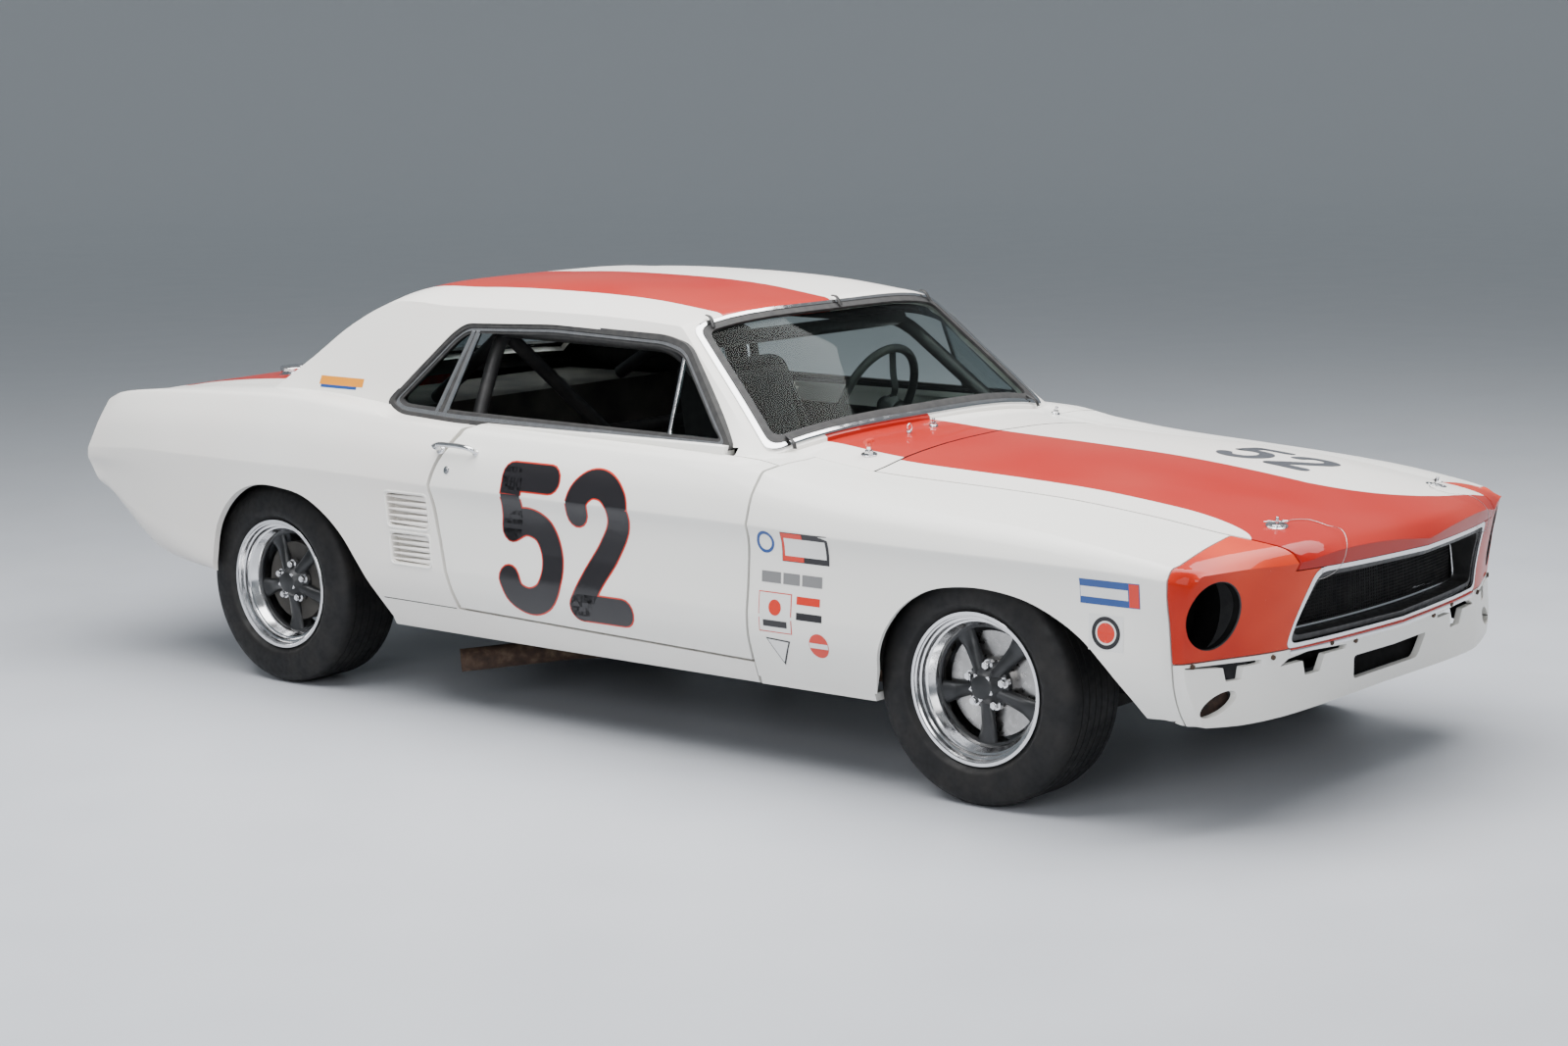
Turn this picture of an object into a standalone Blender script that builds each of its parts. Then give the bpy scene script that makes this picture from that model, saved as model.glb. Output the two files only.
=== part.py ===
"""Race car: a two-door coupe of the late 1960s stripped and caged for circuit racing.

The car's front faces -Y, its left side +X, and it stands on Z = 0 with the origin under the middle of its box.
Places along the car are stations: metres behind the front axle. Bumpers and headlamps are missing.
"""
import bisect
import math

import bmesh
import bpy
from mathutils import Matrix, Vector

# Driving dimensions of the whole car, metres
WHEELBASE = 2.743
FRONT_OVERHANG = 0.886
REAR_OVERHANG = 0.921
HALF_WIDTH = 0.9005
ROOF_HEIGHT = 1.292
SILL_HEIGHT = 0.250
BELT_HEIGHT = 0.868
HOOD_REAR = 0.500
COWL_HALF = 0.597
DOOR_FRONT = 0.714
DOOR_HINGE_X = 0.905
DOOR_REAR = 1.900
BACKLIGHT_BASE = 2.920
TRUNK_FRONT = 3.000
TRUNK_REAR = 3.560
SEAM_FRONT = -0.620
WINDOW_TOP = 1.185

# Gaps and sheet or wall thicknesses
PANEL_GAP = 0.004
MOVING_GAP = 0.007
SEAT_GAP = 0.0003
SWING_RELIEF = 0.020
BODY_WALL = 0.040
ROOF_WALL = 0.028
DOOR_WALL = 0.075
FENDER_WALL = 0.012
HOOD_WALL = 0.026
LID_WALL = 0.022
BUCKET_WALL = 0.018
GLASS_WALL = 0.005
VENT_FOOT = 0.8905
RAIL_INNER_X = 0.7160

# Wheels and tyres
FRONT_TYRE_RADIUS = 0.318
REAR_TYRE_RADIUS = 0.322
TYRE_WIDTH = 0.250
TYRE_OUTER_X = 0.838
RIM_RADIUS = 0.2075
HUB_RADIUS = 0.062
SPOKES = 5
TYRE_SEGMENTS = 24
KINGPIN_X = 0.655
DISC_RADIUS = 0.143
HUB_FACE_X = 0.748

# Cabin and running gear
FLOOR_HEIGHT = 0.252
RAIL_BOTTOM = 0.262
FLOOR_WALL = 0.010
TUNNEL_HALF = 0.150
TUNNEL_TOP = 0.466
BULKHEAD = 2.420
TUBE_RADIUS = 0.0222
HOOD_PIN = (0.433, -0.675, 0.760)
HOOD_PIN_RADIUS = 0.0045
PIN_CLEARANCE = 0.006
TUNNEL_FALL = 0.060
TUB_WALL = 0.010
TRUNK_FLOOR_TOP = 0.4697
SHELF_TOP = 0.880
SHELF_HALF = 0.660
SHELF_REAR = 2.860
TYRE_ROOM = 0.030
WALL_FIT = 0.0006
STEERING_WHEEL_RADIUS = 0.178
COLUMN_RADIUS = 0.026
CAGE_X = 0.640
DASH_HALF = 0.575
DRIVER_X = 0.360
SEAT_HALF = 0.205
EXHAUST_RADIUS = 0.036
KILL_SWITCH = (-0.470, 0.600, 0.862)
HOOP_STATION = 2.020
STEERING_RAKE = 22.0
FILLER = (-0.300, 3.230, 0.912)
FILLER_RADIUS = 0.050
LAMP_X = 0.754
LAMP_Z = 0.577
LAMP_HALF = 0.077
LAMP_RISE = 0.089

HOOD_HINGE = (0, HOOD_REAR + MOVING_GAP / 2, 0.892)
TRUNK_HINGE = (0, TRUNK_FRONT, 0.948)
LENGTH = FRONT_OVERHANG + WHEELBASE + REAR_OVERHANG
FRONT_AXLE_Y = FRONT_OVERHANG - LENGTH / 2
SIDES = (("left", 1), ("right", -1))
FAR = 1.5


def at(station):
    """The world Y of a station."""
    return station + FRONT_AXLE_Y


def spot(x, station, z):
    return Vector((x, at(station), z))


def guide(*points):
    """A smooth curve through (station, value) points that never overshoots them."""
    xs = [p[0] for p in points]
    ys = [p[1] for p in points]
    steps = [xs[i + 1] - xs[i] for i in range(len(xs) - 1)]
    rises = [(ys[i + 1] - ys[i]) / steps[i] for i in range(len(steps))]
    slopes = [rises[0]]
    for i in range(1, len(steps)):
        if rises[i - 1] * rises[i] <= 0:
            slopes.append(0.0)
        else:
            before = 2 * steps[i] + steps[i - 1]
            after = steps[i] + 2 * steps[i - 1]
            slopes.append((before + after) / (before / rises[i - 1] + after / rises[i]))
    slopes.append(rises[-1])

    def value(s):
        if s <= xs[0]:
            return ys[0]
        if s >= xs[-1]:
            return ys[-1]
        i = bisect.bisect_right(xs, s) - 1
        h = steps[i]
        t = (s - xs[i]) / h
        a = (1 + 2 * t) * (1 - t) ** 2
        b = t * (1 - t) ** 2
        c = t * t * (3 - 2 * t)
        d = t * t * (t - 1)
        return a * ys[i] + b * h * slopes[i] + c * ys[i + 1] + d * h * slopes[i + 1]

    return value


# Scene housekeeping

def collection(name):
    made = bpy.data.collections.new(name)
    bpy.context.scene.collection.children.link(made)
    return made


def clear_scene():
    for obj in list(bpy.data.objects):
        bpy.data.objects.remove(obj, do_unlink=True)


clear_scene()
PARTS = collection("race_car")
CUTTERS = collection("cutters")
PAINTS = {}


def material(name, colour, roughness, metallic):
    """A Principled material, made once and shared by the pieces that have it."""
    if name not in PAINTS:
        made = bpy.data.materials.new(name)
        made.use_nodes = True
        shader = made.node_tree.nodes["Principled BSDF"]
        shader.inputs["Base Color"].default_value = (*colour, 1.0)
        shader.inputs["Roughness"].default_value = roughness
        shader.inputs["Metallic"].default_value = metallic
        PAINTS[name] = made
    return PAINTS[name]


def white_paint():
    return material("body_white", (0.86, 0.84, 0.79), 0.25, 0.0)


def orange_paint():
    return material("nose_orange", (0.80, 0.10, 0.03), 0.25, 0.0)


def black_paint():
    return material("black_paint", (0.02, 0.02, 0.022), 0.5, 0.0)


def bare_steel():
    return material("chassis_steel", (0.16, 0.16, 0.165), 0.5, 0.7)


def chrome():
    return material("chrome", (0.85, 0.85, 0.86), 0.08, 1.0)


def rubber():
    return material("tyre_rubber", (0.025, 0.025, 0.026), 0.8, 0.0)


def alloy():
    return material("wheel_alloy", (0.55, 0.55, 0.56), 0.3, 1.0)


def window_glass():
    return material("window_glass", (0.10, 0.12, 0.12), 0.05, 0.0)


def vinyl():
    return material("seat_black", (0.03, 0.03, 0.03), 0.7, 0.0)


def rusty_steel():
    return material("exhaust_rust", (0.23, 0.12, 0.07), 0.8, 0.4)


def lens_red():
    return material("lamp_red", (0.45, 0.02, 0.02), 0.2, 0.0)


# Making and cutting solids

def new_object(name, mesh, paint=None):
    """Wraps a mesh: a part if it has a paint, otherwise a cutter or a blank."""
    obj = bpy.data.objects.new(name, mesh)
    if paint is None:
        CUTTERS.objects.link(obj)
        obj.hide_render = True
        obj.display_type = "WIRE"
    else:
        PARTS.objects.link(obj)
        mesh.materials.clear()
        mesh.materials.append(paint)
        mesh.shade_smooth()
        mesh.set_sharp_from_angle(angle=math.radians(35))
    return obj


def finish_mesh(bm, name):
    """Turns a closed bmesh into a mesh whose faces point outward."""
    bmesh.ops.remove_doubles(bm, verts=bm.verts, dist=0.00001)
    bmesh.ops.recalc_face_normals(bm, faces=bm.faces)
    if bm.calc_volume(signed=True) < 0:
        bmesh.ops.reverse_faces(bm, faces=bm.faces)
    mesh = bpy.data.meshes.new(name)
    bm.to_mesh(mesh)
    bm.free()
    return mesh


def boolean(obj, other, operation):
    """Adds a Boolean; the lofted skin needs the manifold solver, because the exact one drops whole pieces of it."""
    step = obj.modifiers.new(operation.lower(), "BOOLEAN")
    step.operation = operation
    step.solver = "MANIFOLD"
    step.object = other
    return obj


def cut(obj, *others):
    for other in others:
        boolean(obj, other, "DIFFERENCE")
    return obj


def keep(obj, *others):
    for other in others:
        boolean(obj, other, "INTERSECT")
    return obj


def fuse(obj, *others):
    for other in others:
        boolean(obj, other, "UNION")
    return obj


def promote(obj, paint):
    """Moves a blank into the parts and paints it."""
    CUTTERS.objects.unlink(obj)
    PARTS.objects.link(obj)
    obj.hide_render = False
    obj.display_type = "TEXTURED"
    obj.data.materials.append(paint)
    obj.data.shade_smooth()
    return obj


def pivot(obj, point):
    """Gives a moving piece an origin on its joint's axis, without moving its mesh."""
    obj.data.transform(Matrix.Translation(-Vector(point)))
    obj.location = point
    return obj


def evaluated_mesh(obj):
    graph = bpy.context.evaluated_depsgraph_get()
    graph.update()
    return bpy.data.meshes.new_from_object(obj.evaluated_get(graph))


def box(name, low, high, paint=None, bevel=0.0):
    """A box between two corners given as x, station, z."""
    a, b = spot(*low), spot(*high)
    bm = bmesh.new()
    bmesh.ops.create_cube(bm, size=1.0)
    size = [abs(b[i] - a[i]) for i in range(3)]
    bmesh.ops.scale(bm, vec=size, verts=bm.verts)
    bmesh.ops.translate(bm, vec=(a + b) / 2, verts=bm.verts)
    if bevel:
        bmesh.ops.bevel(bm, geom=bm.edges[:], offset=bevel, segments=1, affect="EDGES", profile=0.5)
    return new_object(name, finish_mesh(bm, name), paint)


def rod(name, start, end, radius, paint=None, sides=16, end_radius=None):
    """A round bar, or a cone, between two points given as x, station, z."""
    a, b = spot(*start), spot(*end)
    axis = b - a
    bm = bmesh.new()
    bmesh.ops.create_cone(bm, cap_ends=True, segments=sides, radius1=radius,
                          radius2=radius if end_radius is None else end_radius, depth=axis.length)
    turn = axis.to_track_quat("Z", "Y").to_matrix().to_4x4()
    bmesh.ops.transform(bm, matrix=Matrix.Translation((a + b) / 2) @ turn, verts=bm.verts)
    return new_object(name, finish_mesh(bm, name), paint)


def prism(name, first, second, paint=None):
    """A solid between two outlines of world points with the same number of corners."""
    bm = bmesh.new()
    low = [bm.verts.new(p) for p in first]
    high = [bm.verts.new(p) for p in second]
    bm.faces.new(low)
    bm.faces.new(high)
    for i in range(len(low)):
        j = (i + 1) % len(low)
        bm.faces.new((low[i], low[j], high[j], high[i]))
    bmesh.ops.triangulate(bm, faces=[f for f in bm.faces if len(f.verts) > 4])
    return new_object(name, finish_mesh(bm, name), paint)


def side_prism(name, outline, x_from, x_to, paint=None):
    """Extrudes a side-view outline of (station, z) points across the car."""
    first = [spot(x_from, s, z) for s, z in outline]
    second = [spot(x_to, s, z) for s, z in outline]
    return prism(name, first, second, paint)


def plan_prism(name, outline, z_from, z_to, paint=None):
    """Extrudes a plan-view outline of (x, station) points upward."""
    first = [spot(x, s, z_from) for x, s in outline]
    second = [spot(x, s, z_to) for x, s in outline]
    return prism(name, first, second, paint)


def round_corners(corners, radius, steps=4):
    """Rounds each corner of a flat outline with an arc-like curve."""
    made = []
    count = len(corners)
    for i, corner in enumerate(corners):
        here = Vector(corner)
        before = Vector(corners[i - 1]) - here
        after = Vector(corners[(i + 1) % count]) - here
        reach = min(radius, before.length * 0.45, after.length * 0.45)
        start = here + before.normalized() * reach
        end = here + after.normalized() * reach
        for k in range(steps + 1):
            t = k / steps
            made.append(tuple(start * (1 - t) ** 2 + here * 2 * t * (1 - t) + end * t * t))
    return made


def offset_outline(outline, distance):
    """Moves each side of a flat outline outward by a distance, inward if negative."""
    count = len(outline)
    area = sum(outline[i][0] * outline[(i + 1) % count][1] - outline[(i + 1) % count][0] * outline[i][1]
               for i in range(count))
    turn = 1 if area > 0 else -1
    moved = []
    for i in range(count):
        a, b, c = Vector(outline[i - 1]), Vector(outline[i]), Vector(outline[(i + 1) % count])
        one = (b - a).normalized()
        two = (c - b).normalized()
        normal_one = Vector((one.y, -one.x)) * turn
        normal_two = Vector((two.y, -two.x)) * turn
        middle = (normal_one + normal_two).normalized()
        stretch = distance / max(0.5, middle.dot(normal_one))
        moved.append(tuple(b + middle * stretch))
    return moved


def turned(name, profile, axis_start, direction, segments, paint=None):
    """A turned solid: a closed profile of (along, radius) points screwed round an axis."""
    bm = bmesh.new()
    verts = [bm.verts.new((r, 0.0, a)) for a, r in profile]
    for i in range(len(verts)):
        if profile[i][1] < 1e-6 and profile[(i + 1) % len(verts)][1] < 1e-6:
            continue
        bm.edges.new((verts[i], verts[(i + 1) % len(verts)]))
    mesh = bpy.data.meshes.new(name)
    bm.to_mesh(mesh)
    bm.free()
    blank = new_object(name + "_profile", mesh)
    screw = blank.modifiers.new("turn", "SCREW")
    screw.angle = math.tau
    screw.steps = segments
    screw.render_steps = segments
    screw.use_merge_vertices = True
    screw.merge_threshold = 0.00001
    mesh = evaluated_mesh(blank)
    bpy.data.objects.remove(blank, do_unlink=True)
    bm = bmesh.new()
    bm.from_mesh(mesh)
    turn = Vector(direction).to_track_quat("Z", "Y").to_matrix().to_4x4()
    place = Matrix.Translation(axis_start) @ turn
    bmesh.ops.transform(bm, matrix=place, verts=bm.verts)
    return new_object(name, finish_mesh(bm, name), paint)


def tube(name, points, radius, paint=None, sides=8, cyclic=False):
    """A round tube along (x, station, z) points, made as a curve with a bevel and then meshed."""
    curve = bpy.data.curves.new(name, "CURVE")
    curve.dimensions = "3D"
    curve.bevel_depth = radius
    curve.bevel_resolution = max(0, sides // 2 - 2)
    curve.use_fill_caps = not cyclic
    spline = curve.splines.new("POLY")
    spline.points.add(len(points) - 1)
    for i, p in enumerate(points):
        spline.points[i].co = (*spot(*p), 1.0)
    spline.use_cyclic_u = cyclic
    blank = bpy.data.objects.new(name + "_curve", curve)
    CUTTERS.objects.link(blank)
    mesh = evaluated_mesh(blank)
    bpy.data.objects.remove(blank, do_unlink=True)
    bm = bmesh.new()
    bm.from_mesh(mesh)
    return new_object(name, finish_mesh(bm, name), paint)


def bent(corners, radius, steps=3):
    """Rounds the inner corners of an open run of 3D points."""
    made = [corners[0]]
    for i in range(1, len(corners) - 1):
        here = Vector(corners[i])
        before = Vector(corners[i - 1]) - here
        after = Vector(corners[i + 1]) - here
        reach = min(radius, before.length * 0.45, after.length * 0.45)
        start = here + before.normalized() * reach
        end = here + after.normalized() * reach
        for k in range(steps + 1):
            t = k / steps
            made.append(tuple(start * (1 - t) ** 2 + here * 2 * t * (1 - t) + end * t * t))
    made.append(corners[-1])
    return made


# The body's outer skin: rows run along the car, each from its own front end to its own tail end

RAIL_X = guide((-0.80, 0.542), (-0.72, 0.562), (-0.62, 0.576), (0.10, 0.598), (0.55, 0.606), (1.20, 0.640),
               (2.60, 0.660), (3.62, 0.640))
RAIL_Z = guide((-0.80, 0.690), (-0.78, 0.718), (-0.71, 0.737), (-0.59, 0.752), (-0.38, 0.781), (-0.10, 0.807),
               (0.14, 0.817), (0.45, 0.827), (0.63, 0.843), (0.80, 0.864), (1.94, 0.893), (2.70, 0.938),
               (3.13, 0.920), (3.48, 0.889), (3.62, 0.868))
CENTRE_Z = guide((-0.886, 0.690), (-0.868, 0.722), (-0.80, 0.754), (-0.62, 0.792), (-0.41, 0.822),
                 (-0.10, 0.853), (0.23, 0.870), (0.50, 0.882), (0.76, 0.898), (2.80, 0.945), (3.13, 0.934),
                 (3.48, 0.903), (3.62, 0.880))
SHOULDER_Z = guide((-0.745, 0.690), (-0.725, 0.708), (-0.62, 0.731), (-0.38, 0.767), (-0.10, 0.792),
                   (0.18, 0.806), (0.45, 0.820), (0.63, 0.838), (0.80, 0.864), (1.94, 0.893), (2.70, 0.940),
                   (3.13, 0.924), (3.48, 0.893), (3.62, 0.868))
RIDGE_X = guide((-0.70, 0.786), (-0.62, 0.808), (-0.50, 0.818), (-0.35, 0.824), (1.90, 0.826), (2.70, 0.812),
                (3.30, 0.795), (3.63, 0.775))
RIDGE_Z = guide((-0.70, 0.687), (-0.68, 0.693), (-0.62, 0.706), (-0.50, 0.731), (-0.24, 0.761), (0.06, 0.781),
                (0.38, 0.800), (0.63, 0.826), (0.79, 0.852), (1.37, BELT_HEIGHT), (1.94, 0.880), (2.30, 0.905),
                (2.71, 0.930), (2.95, 0.924), (3.29, 0.912), (3.55, 0.889), (3.63, 0.860))
CREASE_X = guide((-0.67, 0.822), (-0.62, 0.868), (-0.45, 0.890), (-0.20, 0.898), (0.70, HALF_WIDTH),
                 (2.60, HALF_WIDTH), (3.20, 0.888), (3.664, 0.848))
CREASE_Z = guide((-0.67, 0.655), (-0.62, 0.674), (-0.36, 0.687), (0.38, 0.692), (0.71, 0.702), (1.96, 0.711),
                 (2.60, 0.722), (3.30, 0.722), (3.664, 0.700))
RECESS = guide((-0.62, 0.0), (-0.35, 0.010), (1.70, 0.012), (2.20, 0.004), (3.66, 0.002))
LOW_X = guide((-0.64, 0.825), (-0.60, 0.858), (-0.45, 0.883), (0.70, 0.898), (1.90, 0.898), (2.60, 0.892),
              (3.20, 0.872), (3.60, 0.838))
LOW_Z = guide((-0.64, 0.458), (3.00, 0.459), (3.30, 0.500), (3.62, 0.610))
TUCK_X = guide((-0.64, 0.800), (-0.58, 0.830), (-0.40, 0.852), (0.30, 0.872), (3.00, 0.872), (3.60, 0.822))
TUCK_Z = guide((-0.64, 0.340), (0.00, 0.335), (2.90, 0.338), (3.07, 0.365), (3.33, 0.420), (3.60, 0.575))
SILL_X = guide((-0.64, 0.770), (-0.55, 0.800), (-0.30, 0.830), (0.30, 0.842), (2.90, 0.842), (3.60, 0.800))
SILL_Z = guide((-0.64, 0.292), (-0.45, 0.282), (0.10, SILL_HEIGHT), (2.20, SILL_HEIGHT + 0.006),
               (2.90, 0.335), (3.07, 0.345), (3.33, 0.382), (3.45, 0.448), (3.57, 0.534), (3.61, 0.555))
TAIL = guide((0.53, 3.575), (0.60, 3.630), (0.66, 3.664), (0.70, 3.660), (0.75, 3.630), (0.87, 3.622))
OPEN_BOTTOM = guide((-0.66, 0.012), (-0.50, -0.20), (3.20, -0.20), (3.32, 0.02))
TOP_FRACTIONS = (0.0, 0.42, 0.74)


def crown_row(fraction):
    """A row on the hood and deck between the centre line and the rail."""
    def x(s):
        return RAIL_X(s + 0.086 * (1 - fraction)) * fraction

    def z(s):
        rise = CENTRE_Z(s) - RAIL_Z(s + 0.086 * (1 - fraction ** 2))
        return CENTRE_Z(s) - rise * fraction ** 2
    return x, z


def skin_rows():
    """Rows of half a section: front end, x guide, z guide, and how a wall thickness moves it inward."""
    rows = []
    for fraction, front in zip(TOP_FRACTIONS, (-0.886, -0.872, -0.845)):
        x, z = crown_row(fraction)
        rows.append((front, x, z, (0.0, -1.0)))
    rows.append((-0.80, RAIL_X, RAIL_Z, (0.0, -1.0)))
    rows.append((-0.745, lambda s: (RAIL_X(s) + RIDGE_X(s)) / 2, SHOULDER_Z, (-0.3, -1.0)))
    rows.append((-0.70, RIDGE_X, RIDGE_Z, (-0.85, -0.85)))
    rows.append((-0.685, lambda s: RIDGE_X(s) * 0.36 + CREASE_X(s) * 0.64,
                 lambda s: (RIDGE_Z(s) + CREASE_Z(s)) / 2 + 0.010, (-1.0, -0.45)))
    rows.append((-0.672, CREASE_X, CREASE_Z, (-1.0, -0.15)))
    rows.append((-0.662, lambda s: CREASE_X(s) - RECESS(s), lambda s: CREASE_Z(s) - 0.035, (-1.0, 0.0)))
    rows.append((-0.648, lambda s: (CREASE_X(s) + LOW_X(s)) / 2 - RECESS(s),
                 lambda s: (CREASE_Z(s) + LOW_Z(s)) / 2, (-1.0, 0.0)))
    rows.append((-0.640, LOW_X, LOW_Z, (-1.0, 0.0)))
    rows.append((-0.648, lambda s: LOW_X(s) * 0.6 + TUCK_X(s) * 0.4 + 0.004,
                 lambda s: LOW_Z(s) * 0.5 + TUCK_Z(s) * 0.5, (-1.0, 0.0)))
    rows.append((-0.660, TUCK_X, TUCK_Z, (-1.0, 0.0)))
    rows.append((-0.670, SILL_X, SILL_Z, (-1.0, "bottom")))
    fronts = (-0.705, -0.735, -0.748, -0.748, -0.745)
    for front, fraction in zip(fronts, (0.86, 0.72, 0.50, 0.26, 0.0)):
        rows.append((front, lambda s, f=fraction: SILL_X(s) * f,
                     lambda s: SILL_Z(s) - 0.008, (0.0, "bottom")))
    return rows


FRONT_STEPS = (0.0, 0.22, 0.50, 0.78)
STATIONS = (-0.50, -0.30, -0.10, 0.10, 0.30, 0.52, DOOR_FRONT, 1.05, 1.50, DOOR_REAR, 2.13, 2.36, 2.60, 2.84,
            3.08, 3.30, 3.50)
TAIL_STEPS = (0.55, 1.0)


def skin_columns(front):
    """Stations of one row, from its front end to the last shared station."""
    first = STATIONS[0]
    return [front + (first - front) * t for t in FRONT_STEPS] + list(STATIONS)


def half_skin(wall, grow):
    """Points of the half skin, row by row, moved inward by a wall thickness."""
    made = []
    for front, x_of, z_of, (in_x, in_z) in skin_rows():
        row = []
        stations = skin_columns(front)
        end = TAIL(z_of(3.62))
        stations += [STATIONS[-1] + (end - STATIONS[-1]) * t for t in TAIL_STEPS]
        for s in stations:
            x, z = x_of(s), z_of(s)
            lift = in_z * wall if in_z != "bottom" else (OPEN_BOTTOM(s) if wall else 0.0)
            if in_z == "bottom" and not wall:
                lift = grow
            shift = in_x * wall if x > wall else 0.0
            row.append([x + shift, s, z + lift])
        if wall:
            row[0][1] += wall
            for k, t in enumerate(TAIL_STEPS):
                row[-len(TAIL_STEPS) + k][1] -= wall * t
        made.append(row)
    return made


def cap(bm, grid_loop, top, side):
    """Closes an end with a grid blended between its top, side, bottom and centre line."""
    centre_top, centre_bottom = grid_loop[0], grid_loop[-1]
    bottom = list(reversed(grid_loop[top + side:]))
    over = grid_loop[:top + 1]
    flank = grid_loop[top:top + side + 1]
    grid = []
    for i in range(top + 1):
        line = []
        for j in range(side + 1):
            u, v = i / top, j / side
            if j == 0:
                line.append(over[i])
                continue
            if j == side:
                line.append(bottom[i])
                continue
            if i == top:
                line.append(flank[j])
                continue
            spine = centre_top.co.lerp(centre_bottom.co, v)
            across = spine.lerp(flank[j].co, u)
            down = over[i].co.lerp(bottom[i].co, v)
            corner_top = centre_top.co.lerp(over[top].co, u)
            corner_bottom = centre_bottom.co.lerp(bottom[top].co, u)
            point = across + down - corner_top.lerp(corner_bottom, v)
            line.append(bm.verts.new(point))
        grid.append(line)
    for i in range(top):
        for j in range(side):
            corners = (grid[i][j], grid[i + 1][j], grid[i + 1][j + 1], grid[i][j + 1])
            split_face(bm, corners)


def split_face(bm, corners):
    """Two triangles with a fixed diagonal, so that skins of every wall thickness lie parallel."""
    a, b, c, d = corners
    bm.faces.new((a, b, c))
    bm.faces.new((a, c, d))


def mirrored(bm):
    """Adds the other half of a half that is open at the middle plane."""
    copy = bmesh.ops.duplicate(bm, geom=bm.verts[:] + bm.edges[:] + bm.faces[:])
    verts = [g for g in copy["geom"] if isinstance(g, bmesh.types.BMVert)]
    faces = [g for g in copy["geom"] if isinstance(g, bmesh.types.BMFace)]
    bmesh.ops.scale(bm, vec=(-1, 1, 1), verts=verts)
    bmesh.ops.reverse_faces(bm, faces=faces)


def hull(name, wall=0.0, grow=0.0):
    """The closed lower body, or the space inside it when it has a wall."""
    rows = half_skin(wall, grow)
    bm = bmesh.new()
    grid = [[bm.verts.new(spot(*p)) for p in row] for row in rows]
    for i in range(len(grid) - 1):
        for j in range(len(grid[0]) - 1):
            split_face(bm, (grid[i][j], grid[i][j + 1], grid[i + 1][j + 1], grid[i + 1][j]))
    for column in (0, -1):
        cap(bm, [row[column] for row in grid], 5, 8)
    mirrored(bm)
    return new_object(name, finish_mesh(bm, name))


# The greenhouse: windscreen, roof, rear window and side windows as one lofted form

PILLAR = {
    "base": (0.712, 0.812, 0.852), "low": (0.672, 0.945, 0.975), "high": (0.634, 1.075, 1.090),
    "header": (0.598, 1.200, 1.200), "roof_front": (0.600, 1.420, 1.214), "roof_mid": (0.604, 1.800, 1.221),
    "roof_rear": (0.604, 2.130, 1.220), "rear_header": (0.604, 2.420, 1.216), "rear_high": (0.620, 2.575, 1.146),
    "rear_low": (0.655, 2.735, 1.033), "rear_base": (0.698, 2.875, 0.932),
}
CENTRE = {
    "base": (0.755, 0.905), "low": (0.885, 1.032), "high": (1.015, 1.148), "header": (1.138, 1.243),
    "roof_front": (1.380, ROOF_HEIGHT - 0.018), "roof_mid": (1.780, ROOF_HEIGHT), "roof_rear": (2.140, 1.288),
    "rear_header": (2.400, 1.266), "rear_high": (2.600, 1.172), "rear_low": (2.765, 1.064),
    "rear_base": (BACKLIGHT_BASE, 0.948),
}
GLASSHOUSE = list(PILLAR)
ACROSS = (0.0, 0.40, 0.70, 0.87, 1.0)
FOOT_DEPTH = 0.62
ROOF_SQUARE = 4.6
GLASS_SQUARE = 3.0
GLASS_BASE_X = 0.748
GLASS_BASE_Z = 0.862


def across_row(column, fraction):
    """A point on the greenhouse between its centre line and its pillar line."""
    px, ps, pz = PILLAR[column]
    cs, cz = CENTRE[column]
    bow = fraction ** 2
    soft = fraction ** (ROOF_SQUARE if "roof" in column or "header" in column else GLASS_SQUARE)
    return [px * fraction, cs + (ps - cs) * bow, cz + (pz - cz) * soft]


def half_greenhouse(wall):
    """Points of half the greenhouse, column by column, moved inward by a wall thickness."""
    columns = []
    for name in GLASSHOUSE:
        forward = 1 if "rear" not in name else -1
        on_roof = name.startswith("roof")
        slope = 0.0 if on_roof else 0.75
        points = [across_row(name, f) for f in ACROSS]
        px, ps, pz = PILLAR[name]
        belt_z = min(GLASS_BASE_Z, pz - 0.022)
        belt_x = GLASS_BASE_X - (GLASS_BASE_Z - belt_z) * 0.3
        points.append([(px + belt_x) / 2 + 0.004, ps, (pz + belt_z) / 2])
        points.append([belt_x, ps, belt_z])
        points.append([belt_x, ps, FOOT_DEPTH])
        for i, p in enumerate(points):
            if i <= len(ACROSS) - 1:
                p[1] += forward * slope * wall
                p[2] -= wall if on_roof else wall * 0.75
            if i >= len(ACROSS) - 2:
                p[0] -= wall * (1.0 if i >= len(ACROSS) - 1 else 0.5)
            if i > len(ACROSS) - 1:
                p[1] += forward * slope * wall
        columns.append(points)
    for end, column in ((0, columns[0]), (-1, columns[-1])):
        foot = [[p[0], p[1], min(p[2], FOOT_DEPTH + 0.06 - 0.02 * max(0, i - len(ACROSS) + 1))]
                for i, p in enumerate(column)]
        if end == 0:
            columns.insert(0, foot)
        else:
            columns.append(foot)
    return columns


def greenhouse(name, wall=0.0):
    """The closed greenhouse with its foot inside the lower body, or the space inside it."""
    columns = half_greenhouse(wall)
    bm = bmesh.new()
    grid = []
    for column in columns:
        column = column + [[0.0, column[0][1], FOOT_DEPTH]]
        grid.append([bm.verts.new(spot(*p)) for p in column])
    for i in range(len(grid) - 1):
        for j in range(len(grid[0]) - 1):
            bm.faces.new((grid[i][j], grid[i][j + 1], grid[i + 1][j + 1], grid[i + 1][j]))
    for line in (grid[0], grid[-1]):
        bm.faces.new(line)
    bmesh.ops.triangulate(bm, faces=[f for f in bm.faces if len(f.verts) > 4])
    mirrored(bm)
    return new_object(name, finish_mesh(bm, name))


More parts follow.
